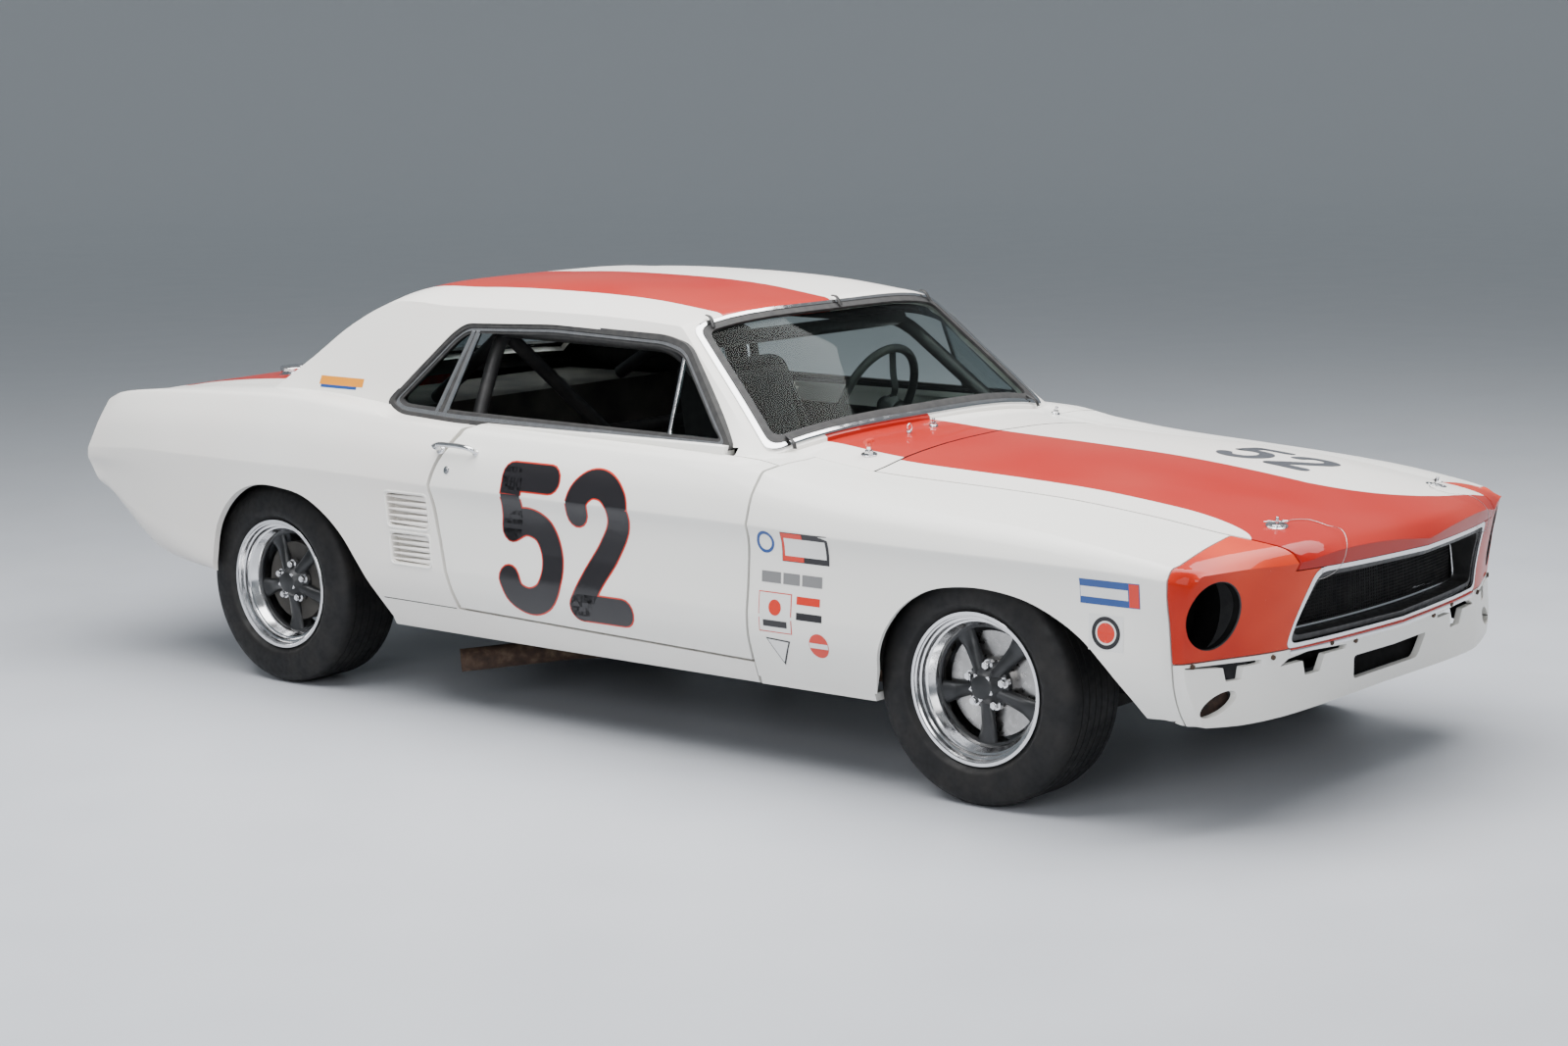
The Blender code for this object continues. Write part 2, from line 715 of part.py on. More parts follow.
def pane_point(start, end, u, v, lift):
    """A point on the windscreen or rear window: u across, v from the base to the header."""
    names = GLASSHOUSE[start:end + 1] if start < end else GLASSHOUSE[end:start + 1][::-1]
    place = v * (len(names) - 1)
    i = min(int(place), len(names) - 2)
    low = Vector(across_row(names[i], abs(u)))
    high = Vector(across_row(names[i + 1], abs(u)))
    point = low.lerp(high, place - i)
    if u < 0:
        point.x = -point.x
    outward = Vector((0.0, -0.62 if start < end else 0.62, 0.78))
    return spot(*point) + outward * lift


def pane(name, start, end, edge, v_from, v_to, lift_out, lift_in, paint=None, steps=10):
    """A curved sheet that follows the windscreen or rear window, between two lifts off the skin."""
    bm = bmesh.new()
    layers = []
    for lift in (lift_in, lift_out):
        layer = []
        for k in range(5):
            v = v_from + (v_to - v_from) * k / 4
            layer.append([bm.verts.new(pane_point(start, end, edge * (2 * i / steps - 1), v, lift))
                          for i in range(steps + 1)])
        layers.append(layer)
    for sheet in layers:
        for j in range(4):
            for i in range(steps):
                bm.faces.new((sheet[j][i], sheet[j][i + 1], sheet[j + 1][i + 1], sheet[j + 1][i]))
    low, high = layers
    for j in range(4):
        for i in (0, steps):
            bm.faces.new((low[j][i], low[j + 1][i], high[j + 1][i], high[j][i]))
    for i in range(steps):
        for j in (0, 4):
            bm.faces.new((low[j][i], low[j][i + 1], high[j][i + 1], high[j][i]))
    return new_object(name, finish_mesh(bm, name), paint)


# Outlines of openings and panels, (station, z) seen from the side

DOOR_OUTLINE = [(DOOR_FRONT, 1.0), (DOOR_FRONT, 0.80), (DOOR_FRONT + 0.004, 0.50), (DOOR_FRONT + 0.010, 0.316),
                (1.872, 0.343), (1.905, 0.455), (1.952, 0.640), (1.966, 0.712), (1.942, 0.790), (1.893, 0.868),
                (1.885, 1.0)]
WINDOW_OUTLINE = [(0.892, 0.877), (0.960, 0.950), (1.150, 1.150), (1.245, 1.172), (1.700, WINDOW_TOP),
                  (2.060, 1.173), (2.110, 1.140), (2.315, 0.925), (2.245, 0.893), (2.000, 0.882)]
FRONT_ARCH = [(0.312, 0.10), (0.310, 0.250), (0.296, 0.300), (0.284, 0.340), (0.272, 0.390), (0.242, 0.460),
              (0.196, 0.522), (0.115, 0.575),
              (0.000, 0.600), (-0.110, 0.600), (-0.210, 0.583), (-0.300, 0.548), (-0.385, 0.497),
              (-0.460, 0.425), (-0.515, 0.350), (-0.545, 0.280), (-0.555, 0.10)]
REAR_ARCH = [(3.000, 0.10), (3.000, 0.372), (2.966, 0.503), (2.895, 0.590), (2.830, 0.630), (2.740, 0.652),
             (2.640, 0.650), (2.539, 0.633), (2.450, 0.590), (2.365, 0.525), (2.295, 0.445), (2.240, 0.368),
             (2.185, 0.283), (2.165, 0.10)]


def hood_edge(station):
    """Half the hood's width at a station, at the middle of its gap."""
    return guide((-0.90, 0.470), (-0.855, 0.505), (-0.80, 0.534), (-0.72, 0.555), (-0.62, 0.568),
                 (0.10, 0.590), (0.52, COWL_HALF))(station)


def hood_outline(gap):
    """The hood's outline seen from above, with its gap on the sides and at the rear."""
    stations = (-0.95, -0.88, -0.84, -0.80, -0.76, -0.70, -0.62, -0.40, -0.10, 0.20, HOOD_REAR)
    right = [(-hood_edge(s) - gap, s + (gap if s == HOOD_REAR else 0)) for s in stations]
    left = [(-x, s) for x, s in reversed(right)]
    return right + left


def trunk_outline(gap):
    corners = [(-0.600, TRUNK_FRONT), (-0.585, TRUNK_REAR), (0.585, TRUNK_REAR), (0.600, TRUNK_FRONT)]
    return offset_outline(round_corners(corners, 0.07, 4), gap)


def door_prism(name, side, gap, inner_x, top):
    """The door's outline between its inner face and outside the car, pulled in behind to swing clear."""
    outline = [(s, min(z, top)) for s, z in DOOR_OUTLINE]
    outline = offset_outline(outline, gap)
    relief = SWING_RELIEF if gap < 0 else 0.0
    inner = [(s - relief if s > 1.5 else s, z) for s, z in outline]
    first = [spot(side * 0.97, s, z) for s, z in outline]
    second = [spot(side * inner_x, s, z) for s, z in inner]
    return prism(name, first, second)


# Body shell and panels

def body_shell():
    """The unit body: cowl, pillars, roof, sills, quarters and tail, open where panels and windows go."""
    shell = promote(hull("body_shell"), white_paint())
    fuse(shell, greenhouse("greenhouse_outside"))
    cut(shell, hull("body_inside", BODY_WALL), greenhouse("greenhouse_inside", ROOF_WALL))
    cut(shell, box("front_clearance", (-FAR, -1.2, 0.0), (FAR, HOOD_REAR + MOVING_GAP / 2, 1.2)))
    cut(shell, plan_prism("trunk_opening", trunk_outline(MOVING_GAP / 2), 0.80, 1.2))
    cut(shell, pane("windscreen_opening", 0, 3, 0.925, 0.055, 0.93, 0.09, -0.09))
    cut(shell, pane("rear_window_opening", 10, 7, 0.88, 0.09, 0.90, 0.09, -0.09))
    for word, side in SIDES:
        cut(shell, door_prism("door_opening_" + word, side, MOVING_GAP / 2, 0.7505, 0.90))
        cut(shell, box("sill_strip_" + word, (side * 0.50, 0.880, 0.50), (side * 0.752, 1.935, 0.884)))
        cut(shell, side_prism("window_opening_" + word, WINDOW_OUTLINE, side * 0.50, side * 0.97))
        cut(shell, side_prism("fender_room_" + word, fender_outline(PANEL_GAP / 2), side * COWL_HALF, side * 0.97))
        cut(shell, side_prism("rear_arch_" + word, REAR_ARCH, side * 0.50, side * 0.97))
        cut(shell, *scoop_cuts(word, side))
        fuse(shell, *louvres(word, side))
        cut(shell, rod("wheel_room_" + word, (side * 0.50, WHEELBASE, REAR_TYRE_RADIUS),
                       (side * (TYRE_OUTER_X + 0.022), WHEELBASE, REAR_TYRE_RADIUS), REAR_TYRE_RADIUS + TYRE_ROOM,
                       sides=20))
        fuse(shell, door_stop(word, side))
    fuse(shell, trunk_ledge())
    cut(shell, *tail_lamp_cuts())
    return shell


def door_stop(word, side):
    """A rubber-topped stop on the sill that the closed door's lower edge rests by."""
    block = box("door_stop_" + word, (side * 0.836, 1.000, 0.290), (side * 0.864, 1.060, 0.360))
    return cut(block, door_prism("stop_seat_" + word, side, SEAT_GAP * 2 - MOVING_GAP / 2, 0.757, 0.95))


def trunk_ledge():
    """The gutter under the edge of the trunk lid, which the closed lid rests on."""
    ledge = hull("trunk_ledge", LID_WALL + SEAT_GAP * 2)
    keep(ledge, plan_prism("ledge_outside", trunk_outline(0.012), 0.80, 1.2))
    cut(ledge, plan_prism("ledge_inside", trunk_outline(-0.020), 0.70, 1.2))
    return cut(ledge, hull("ledge_under", BODY_WALL))


def fender_outline(gap):
    rear = DOOR_FRONT - MOVING_GAP / 2 + gap
    return [(SEAM_FRONT - gap, 0.0), (rear + 0.010, 0.0), (rear + 0.010, 0.316), (rear + 0.004, 0.50),
            (rear, 0.80), (rear, 1.0), (SEAM_FRONT - gap, 1.0)]


SCOOPS = ((0.579, 0.673, 1.990, 2.150), (0.467, 0.551, 1.980, 2.135))
SLATS = 4
SLAT_SECTION = ((0.875, -0.003), (0.892, -0.010), (0.892, -0.004), (0.875, 0.003))


def scoop_cuts(word, side):
    """Two shallow recesses behind the door."""
    cuts = []
    for z_low, z_high, s_from, s_to in SCOOPS:
        outline = round_corners([(s_from, z_low), (s_to, z_low), (s_to, z_high), (s_from, z_high)], 0.02, 2)
        cuts.append(side_prism("scoop_%s_%d" % (word, len(cuts)), outline, side * 0.878, side * 0.97))
    return cuts


def tail_lamp_cuts():
    cuts = []
    for word, side in SIDES:
        for k in range(3):
            x = side * (0.52 + 0.095 * k)
            cuts.append(box("tail_lamp_cut_%s_%d" % (word, k), (x - 0.034, 3.54, 0.725), (x + 0.034, 3.75, 0.845)))
    return cuts


def louvres(word, side):
    """Level slats across the two scoops."""
    slats = []
    for z_low, z_high, s_from, s_to in SCOOPS:
        pitch = (z_high - z_low) / SLATS
        for k in range(1, SLATS):
            z = z_low + pitch * k
            name = "slat_%s_%d" % (word, len(slats))
            low = [(side * x, s_from - 0.004, z + rise) for x, rise in SLAT_SECTION]
            high = [(side * x, s_to + 0.004, z + rise) for x, rise in SLAT_SECTION]
            slats.append(prism(name, [spot(*q) for q in low], [spot(*q) for q in high]))
    return slats


def hood():
    skin = promote(hull("hood"), orange_paint())
    keep(skin, plan_prism("hood_plan", hood_outline(-MOVING_GAP / 2), 0.672, 1.2))
    cut(skin, hull("hood_inside", HOOD_WALL))
    for word, side in SIDES:
        x, s, z = side * HOOD_PIN[0], HOOD_PIN[1], HOOD_PIN[2]
        cut(skin, rod("pin_hole_" + word, (x, s, z - 0.10), (x, s, z + 0.10), HOOD_PIN_RADIUS + PIN_CLEARANCE, sides=12))
    return pivot(skin, spot(*HOOD_HINGE))


def trunk_lid():
    skin = promote(hull("trunk_lid"), white_paint())
    keep(skin, plan_prism("lid_plan", trunk_outline(-MOVING_GAP / 2), 0.80, 1.2))
    cut(skin, hull("lid_inside", LID_WALL))
    x, s, z = FILLER
    cut(skin, rod("filler_hole", (x, s, z - 0.05), (x, s, z + 0.05), FILLER_RADIUS + SEAT_GAP * 2, sides=16))
    return pivot(skin, spot(*TRUNK_HINGE))


def fender(word, side):
    skin = promote(hull("front_fender_" + word), white_paint())
    keep(skin, side_prism("fender_side_" + word, fender_outline(-PANEL_GAP / 2), side * 0.30, side * 0.97))
    cut(skin, hull("fender_inside_" + word, FENDER_WALL))
    cut(skin, plan_prism("fender_top_" + word, hood_outline(MOVING_GAP / 2), 0.60, 1.2))
    cowl = COWL_HALF + PANEL_GAP / 2
    cut(skin, box("fender_cowl_" + word, (-cowl, 0.45, 0.2), (cowl, 0.9, 1.2)))
    cut(skin, side_prism("front_arch_" + word, FRONT_ARCH, side * 0.40, side * 0.97))
    cut(skin, box("fender_floor_" + word, (-0.76, -0.9, 0.0), (0.76, 0.9, 0.60)))
    pad = box("fender_pad_" + word, (side * 0.80, 0.600, 0.500), (side * 0.95, 0.660, 0.580))
    keep(pad, hull("pad_outside_" + word, FENDER_WALL - 0.002))
    cut(pad, hull("pad_seat_" + word, BODY_WALL + WALL_FIT - SEAT_GAP))
    fuse(skin, pad)
    return skin


def bolt_tab(name, low, high):
    """A tab that carries a nose piece on the inside of the fender behind it."""
    return keep(box(name, low, high), hull(name + "_skin", FENDER_WALL + SEAT_GAP))


def lamp_hole(word, side, sides=28):
    """The hole looks round from the front quarter, so it is a little taller than wide."""
    turns = [math.tau * k / sides for k in range(sides)]
    ring = [(side * LAMP_X + LAMP_HALF * math.cos(a), LAMP_Z + LAMP_RISE * math.sin(a)) for a in turns]
    first = [spot(x, -0.60, z) for x, z in ring]
    second = [spot(x, -1.0, z) for x, z in ring]
    return prism("lamp_hole_" + word, first, second)


def lamp_bucket(word, side):
    """The fender's nose piece: a thick shell with the round hole whose lamp is missing."""
    skin = promote(hull("lamp_bucket_" + word), orange_paint())
    keep(skin, box("bucket_block_" + word, (side * 0.487, -1.0, 0.462),
                   (side * 0.97, SEAM_FRONT - PANEL_GAP / 2, 1.0)))
    cut(skin, hull("bucket_inside_" + word, BUCKET_WALL))
    cut(skin, plan_prism("bucket_hood_" + word, hood_outline(MOVING_GAP / 2), 0.60, 1.2))
    cut(skin, lamp_hole(word, side))
    tab = bolt_tab("bucket_tab_" + word, (side * 0.78, SEAM_FRONT - 0.030, 0.490),
                   (side * 0.95, SEAM_FRONT + 0.030, 0.530))
    return fuse(skin, tab)


def valance():
    """The painted apron below the grille, with its duct and its two round ports."""
    skin = promote(hull("front_valance"), white_paint())
    keep(skin, box("valance_block", (-0.97, -1.0, 0.20), (0.97, SEAM_FRONT - PANEL_GAP / 2, 0.458)))
    cut(skin, hull("valance_inside", BUCKET_WALL))
    cut(skin, box("valance_duct", (-0.24, -1.0, 0.335), (0.24, -0.5, 0.405)))
    for word, side in SIDES:
        cut(skin, rod("valance_port_" + word, (side * 0.70, -0.55, 0.350), (side * 0.70, -1.0, 0.350), 0.036, sides=16))
        fuse(skin, bolt_tab("valance_tab_" + word, (side * 0.77, SEAM_FRONT - 0.030, 0.370),
                            (side * 0.95, SEAM_FRONT + 0.030, 0.410)))
    return skin


def door_hinge(side):
    return spot(side * DOOR_HINGE_X, DOOR_FRONT, 0.6)


def door(word, side):
    skin = promote(hull("door_" + word), white_paint())
    keep(skin, door_prism("door_block_" + word, side, -MOVING_GAP / 2, 0.757, 0.95))
    cut(skin, hull("door_inside_" + word, DOOR_WALL))
    fuse(skin, box("window_rail_" + word, (side * RAIL_INNER_X, 0.905, 0.862), (side * 0.765, 1.860, VENT_FOOT - SEAT_GAP)))
    return pivot(skin, door_hinge(side))


# Grille, lamps and small body parts

def grille_frame():
    """The bright frame and short tunnel of the grille, leaning and bowed with the nose."""
    frame = promote(hull("grille_frame"), chrome())
    keep(frame, box("frame_block", (-0.4865, -1.0, 0.4625), (0.4865, -0.640, 0.6685)))
    cut(frame, box("frame_hole", (-0.466, -1.1, 0.483), (0.466, -0.5, 0.652)))
    return frame


def grille_mesh():
    """The dark mesh across the tunnel: a plate pierced in rows."""
    plate = box("grille_mesh", (-0.4657, -0.700, 0.4833), (0.4657, -0.694, 0.6517), black_paint())
    columns, rows = 9, 3
    bar = 0.010
    pitch_x = (0.9314 - bar) / columns
    pitch_z = (0.1684 - bar) / rows
    bm = bmesh.new()
    for i in range(columns):
        for j in range(rows):
            hole = bmesh.ops.create_cube(bm, size=1.0)["verts"]
            bmesh.ops.scale(bm, vec=(pitch_x - bar, 0.05, pitch_z - bar), verts=hole)
            centre = spot(-0.4657 + bar / 2 + pitch_x * (i + 0.5), -0.697, 0.4833 + bar / 2 + pitch_z * (j + 0.5))
            bmesh.ops.translate(bm, vec=centre, verts=hole)
    cut(plate, new_object("mesh_holes", finish_mesh(bm, "mesh_holes")))
    return plate


def tail_lamps(word, side):
    """Three upright lenses in one housing."""
    lamp = box("tail_lamp_" + word, (side * 0.487, 3.550, 0.722), (side * 0.743, 3.575, 0.8265), lens_red())
    for k in range(3):
        x = side * (0.52 + 0.095 * k)
        fuse(lamp, box("lens_%s_%d" % (word, k), (x - 0.0337, 3.57, 0.7253), (x + 0.0337, 3.634, 0.8447)))
    return lamp


def fuel_filler():
    """The flip-cap filler that stands on the trunk lid."""
    x, s, z = FILLER
    r = FILLER_RADIUS
    profile = [(-0.020, 0.0), (-0.020, r), (0.012, r), (0.014, r - 0.008), (0.026, r - 0.008), (0.028, r - 0.002),
               (0.038, r - 0.002), (0.042, r - 0.014), (0.044, 0.0)]
    cap_piece = turned("fuel_filler", profile, spot(x, s, z), (0, 0, 1), 16, chrome())
    fuse(cap_piece, box("filler_lever", (x - 0.008, s - 0.062, z + 0.028), (x + 0.008, s - 0.030, z + 0.046)))
    return pivot(cap_piece, spot(*TRUNK_HINGE))


def door_handle(word, side):
    """A pull handle with a push button behind it."""
    points = bent([(side * 0.860, 1.775, 0.800), (side * 0.896, 1.785, 0.806), (side * 0.896, 1.855, 0.808),
                   (side * 0.860, 1.880, 0.806)], 0.02, 2)
    handle = tube("door_handle_" + word, points, 0.008, chrome(), 8)
    cut(handle, hull("handle_seat_" + word, -SEAT_GAP))
    return pivot(handle, door_hinge(side))


# Glass

def windscreen():
    return pane("windshield", 0, 3, 0.9242, 0.0562, 0.9288, -0.006, -0.006 - GLASS_WALL, window_glass())


def rear_window():
    return pane("rear_window", 10, 7, 0.8792, 0.0912, 0.8988, -0.006, -0.006 - GLASS_WALL, window_glass())


def side_glass_x(z):
    """How far out the side glass stands at a height."""
    return GLASS_BASE_X - 0.012 - (z - GLASS_BASE_Z) * 0.43


def side_pane(name, side, outline, paint):
    """A flat leaning sheet in a side window."""
    first = [spot(side * side_glass_x(z), s, z) for s, z in outline]
    second = [spot(side * (side_glass_x(z) - GLASS_WALL), s, z) for s, z in outline]
    return prism(name, first, second, paint)


def quarter_glass(word, side):
    outline = [(2.072, 0.8865), (2.028, 1.166), (2.060, 1.163), (2.102, 1.134), (2.298, 0.926), (2.244, 0.8965)]
    return side_pane("quarter_window_" + word, side, offset_outline(outline, 0.0008), window_glass())


def vent_window(word, side):
    """The small front pane with its upright post, which swings with the door."""
    outline = [(0.925, VENT_FOOT), (1.158, 1.132), (1.178, 1.132), (1.160, VENT_FOOT)]
    return pivot(side_pane("vent_window_" + word, side, outline, window_glass()), door_hinge(side))


# Wheels and brakes

def wheel_centre(side, station, radius):
    return spot(side * (TYRE_OUTER_X - TYRE_WIDTH / 2), station, radius)


def tyre(name, side, station, radius):
    """A race-width tyre with a flat tread and bulging walls, axis across the car."""
    w = TYRE_WIDTH
    r = radius
    bead = RIM_RADIUS - 0.0095
    half = [(0.0205, bead), (0.0205, RIM_RADIUS + 0.001), (0.002, 0.234), (0.003, r - 0.044),
            (0.016, r - 0.013), (0.036, r)]
    profile = half + [(w - a, b) for a, b in reversed(half)]
    start = Vector((side * TYRE_OUTER_X, at(station), r))
    ring = turned(name, profile, start, (-side, 0, 0), TYRE_SEGMENTS, rubber())
    return pivot(ring, wheel_centre(side, station, radius))


def wheel(name, side, station, radius):
    """A deep rim with a stepped lip, five spokes and a round centre."""
    w = TYRE_WIDTH
    seat = RIM_RADIUS - 0.0098
    profile = [(0.0120, RIM_RADIUS - 0.010), (0.0120, RIM_RADIUS), (0.0202, RIM_RADIUS), (0.0203, seat),
               (w - 0.0203, seat), (w - 0.0202, RIM_RADIUS), (w - 0.0120, RIM_RADIUS), (w - 0.0120, seat - 0.008),
               (0.100, 0.160), (0.082, 0.160), (0.040, 0.182), (0.034, 0.191)]
    start = Vector((side * TYRE_OUTER_X, at(station), radius))
    rim = turned(name, profile, start, (-side, 0, 0), TYRE_SEGMENTS, alloy())
    face = side * HUB_FACE_X
    centre = rod(name + "_hub", (face, station, radius), (side * 0.780, station, radius), HUB_RADIUS, sides=15)
    fuse(rim, centre)
    for k in range(SPOKES):
        angle = math.radians(90 + 360 / SPOKES * k)
        fuse(rim, spoke("%s_spoke_%d" % (name, k), side, station, radius, angle))
    cap_rod = rod(name + "_cap", (side * 0.779, station, radius), (side * 0.795, station, radius), 0.030, sides=10)
    fuse(rim, cap_rod)
    return pivot(rim, wheel_centre(side, station, radius))


def spoke(name, side, station, hub_z, angle):
    """One spoke, wider and set further in at the rim than at the hub."""
    along = (math.cos(angle), math.sin(angle))
    across = (-along[1], along[0])
    ends = ((0.045, 0.024, 0.752, 0.778), (0.168, 0.036, 0.7485, 0.758))
    loops = []
    for reach, half, x_in, x_out in ends:
        loop = []
        for x, w in ((x_in, -half), (x_in, half), (x_out, half * 0.6), (x_out, -half * 0.6)):
            s = station + along[0] * reach + across[0] * w
            z = hub_z + along[1] * reach + across[1] * w
            loop.append(spot(side * x, s, z))
        loops.append(loop)
    return prism(name, loops[0], loops[1])


def brake_disc(word, side):
    """A disc with its hat, bolted behind the front wheel."""
    profile = [(0.0, 0.0258), (0.0, 0.070), (0.0175, 0.070), (0.0175, DISC_RADIUS), (0.0395, DISC_RADIUS),
               (0.0395, 0.0258)]
    start = Vector((side * (HUB_FACE_X - SEAT_GAP), at(0.0), FRONT_TYRE_RADIUS))
    disc = turned("brake_disc_" + word, profile, start, (-side, 0, 0), 20, bare_steel())
    return pivot(disc, wheel_centre(side, 0.0, FRONT_TYRE_RADIUS))


def knuckle(word, side):
    """The upright on the kingpin: post, spindle, caliper and steering arm."""
    hub = FRONT_TYRE_RADIUS
    post = rod("knuckle_" + word, (side * KINGPIN_X, 0, hub - 0.130), (side * KINGPIN_X, 0, hub + 0.130), 0.020,
               bare_steel(), 12)
    fuse(post, rod("spindle_" + word, (side * KINGPIN_X, 0, hub), (side * (HUB_FACE_X - SEAT_GAP), 0, hub), 0.0255,
                   sides=12))
    fuse(post, box("caliper_arm_" + word, (side * 0.650, 0.0, hub - 0.030), (side * 0.690, 0.100, hub + 0.030)))
    fuse(post, box("caliper_" + word, (side * 0.668, 0.080, hub - 0.060), (side * 0.7065, 0.150, hub + 0.060)))
    fuse(post, prism("steering_arm_" + word,
                     [spot(side * 0.655, 0.0, hub - 0.095), spot(side * 0.640, 0.0, hub - 0.095),
                      spot(side * 0.640, 0.0, hub - 0.075), spot(side * 0.655, 0.0, hub - 0.075)],
                     [spot(side * 0.636, 0.110, hub - 0.095), spot(side * 0.612, 0.110, hub - 0.095),
                      spot(side * 0.612, 0.110, hub - 0.078), spot(side * 0.636, 0.110, hub - 0.078)]))
    return pivot(post, spot(side * KINGPIN_X, 0.0, hub))


def front_suspension():
    """The crossmember with lower and upper arms that end at the kingpins."""
    hub = FRONT_TYRE_RADIUS
    low = hub - 0.130 - SEAT_GAP
    high = hub + 0.130 + SEAT_GAP
    beam = box("front_suspension", (-0.400, -0.060, 0.172), (0.400, 0.060, 0.232), bare_steel())
    for word, side in SIDES:
        lower = [(side * 0.380, -0.050), (side * 0.380, 0.050), (side * 0.640, 0.026), (side * 0.676, 0.0),
                 (side * 0.640, -0.026)]
        fuse(beam, plan_prism("lower_arm_" + word, lower, low - 0.018, low))
        upper = [(side * 0.440, -0.060), (side * 0.440, 0.060), (side * 0.640, 0.024), (side * 0.676, 0.0),
                 (side * 0.640, -0.024)]
        fuse(beam, plan_prism("upper_arm_" + word, upper, high, high + 0.016))
        fuse(beam, box("rail_pad_" + word, (side * 0.338, -0.050, 0.222), (side * 0.374, 0.050, RAIL_BOTTOM - SEAT_GAP)))
        fuse(beam, box("arm_tower_" + word, (side * 0.385, -0.040, 0.20), (side * 0.4495, 0.040, high + 0.016)))
    return beam


def rear_axle():
    """The live axle: housing, drums behind the wheels, and leaf springs."""
    hub = REAR_TYRE_RADIUS
    axle = rod("rear_axle", (-0.680, WHEELBASE, hub), (0.680, WHEELBASE, hub), 0.038, bare_steel(), 12)
    fuse(axle, rod("differential", (0, WHEELBASE - 0.15, hub), (0, WHEELBASE + 0.12, hub), 0.115, sides=16,
                   end_radius=0.085))
    for word, side in SIDES:
        fuse(axle, rod("drum_" + word, (side * 0.672, WHEELBASE, hub), (side * (HUB_FACE_X - SEAT_GAP), WHEELBASE, hub),
                       0.127, sides=24))
        leaf = [(2.190, FLOOR_HEIGHT - SEAT_GAP), (2.265, FLOOR_HEIGHT - SEAT_GAP), (2.400, 0.262), (2.743, 0.262), (3.080, 0.285), (3.360, 0.370)]
        under = [(s, z - 0.030) for s, z in reversed(leaf)]
        fuse(axle, side_prism("leaf_" + word, leaf + under, side * 0.475, side * 0.530))
        fuse(axle, box("spring_seat_" + word, (side * 0.470, WHEELBASE - 0.05, 0.245),
                       (side * 0.535, WHEELBASE + 0.05, hub)))
    return axle


# Floor, bulkheads and running gear

def inside_walls(name):
    return hull(name, BODY_WALL + WALL_FIT)


def tunnel_outline():
    return [(-TUNNEL_HALF, FLOOR_HEIGHT), (-TUNNEL_HALF * 0.72, TUNNEL_TOP), (TUNNEL_HALF * 0.72, TUNNEL_TOP),
            (TUNNEL_HALF, FLOOR_HEIGHT)]


def tunnel_room(name):
    """The space inside the tunnel, which the firewall and the heel board leave open too."""
    inner = [(x * 0.93, z - 0.012) for x, z in tunnel_outline()]
    first = [spot(x, 0.50, z) for x, z in inner]
    second = [spot(x, 2.30, z - TUNNEL_FALL if z > 0.4 else z) for x, z in inner]
    return prism(name, first, second)


def tub_forms(name, side, grow, x_from):
    """The rear wheel house as an arch and a drum round the tyre, grown by a wall."""
    arch = side_prism(name + "_arch", offset_outline(REAR_ARCH, 0.008 + grow), side * x_from, side * 0.95)
    reach = REAR_TYRE_RADIUS + TYRE_ROOM + grow
    drum = rod(name + "_drum", (side * x_from, WHEELBASE, REAR_TYRE_RADIUS), (side * 0.95, WHEELBASE, REAR_TYRE_RADIUS),
               reach, sides=20)
    return arch, drum


def floor_pan():
    """The cabin floor with its tunnel, the firewall and the two hinge pillars."""
    floor = box("floor_pan", (-0.90, 0.560, FLOOR_HEIGHT), (0.90, 2.250, FLOOR_HEIGHT + FLOOR_WALL), bare_steel())
    tunnel = tunnel_outline()
    first = [spot(x, 0.560, z) for x, z in tunnel]
    second = [spot(x, 2.250, z - TUNNEL_FALL if z > 0.4 else z) for x, z in tunnel]
    fuse(floor, prism("tunnel", first, second))
    fuse(floor, box("firewall", (-0.90, 0.545, FLOOR_HEIGHT), (0.90, 0.562, 0.95)))
    for word, side in SIDES:
        fuse(floor, box("hinge_pillar_" + word, (side * 0.690, 0.55, FLOOR_HEIGHT + 0.002), (side * 0.90, 0.700, 0.95)))
    cut(floor, tunnel_room("floor_tunnel_room"))
    for word, side in SIDES:
        cut(floor, *tub_forms("floor_tub_" + word, side, TUB_WALL + SEAT_GAP * 2, 0.545))
    keep(floor, inside_walls("floor_walls"))
    return floor


def trunk_floor():
    """The rear floor over the axle with its wheel houses, the sheet behind the seat and the parcel shelf."""
    floor = box("trunk_floor", (-0.90, 2.2505, 0.4580), (0.90, 3.40, TRUNK_FLOOR_TOP), bare_steel())
    fuse(floor, box("heel_board", (-0.90, 2.2505, FLOOR_HEIGHT), (0.90, 2.2600, 0.4690)))
    fuse(floor, box("rear_bulkhead", (-0.90, BULKHEAD, 0.465), (0.90, BULKHEAD + 0.008, SHELF_TOP)))
    fuse(floor, box("parcel_shelf", (-SHELF_HALF, BULKHEAD, SHELF_TOP - 0.012), (SHELF_HALF, SHELF_REAR, SHELF_TOP)))
    for word, side in SIDES:
        fuse(floor, *tub_forms("tub_outside_" + word, side, TUB_WALL, 0.545))
    for word, side in SIDES:
        cut(floor, *tub_forms("tub_inside_" + word, side, 0.0, 0.545 + TUB_WALL))
        cut(floor, box("axle_slot_" + word, (side * 0.53, WHEELBASE - 0.065, 0.20), (side * 0.58, WHEELBASE + 0.065, 0.39)))
        cut(floor, box("leaf_slot_" + word, (side * 0.465, 2.20, 0.20), (side * 0.5405, 2.30, 0.30)))
    cut(floor, box("under_tubs", (-0.96, 2.0, -0.2), (0.96, 3.4, FLOOR_HEIGHT)))
    cut(floor, box("behind_tubs", (-0.96, WHEELBASE + 0.1, -0.2), (0.96, 3.4, 0.360)))
    cut(floor, tunnel_room("heel_tunnel_room"))
    keep(floor, inside_walls("trunk_walls"))
    return floor


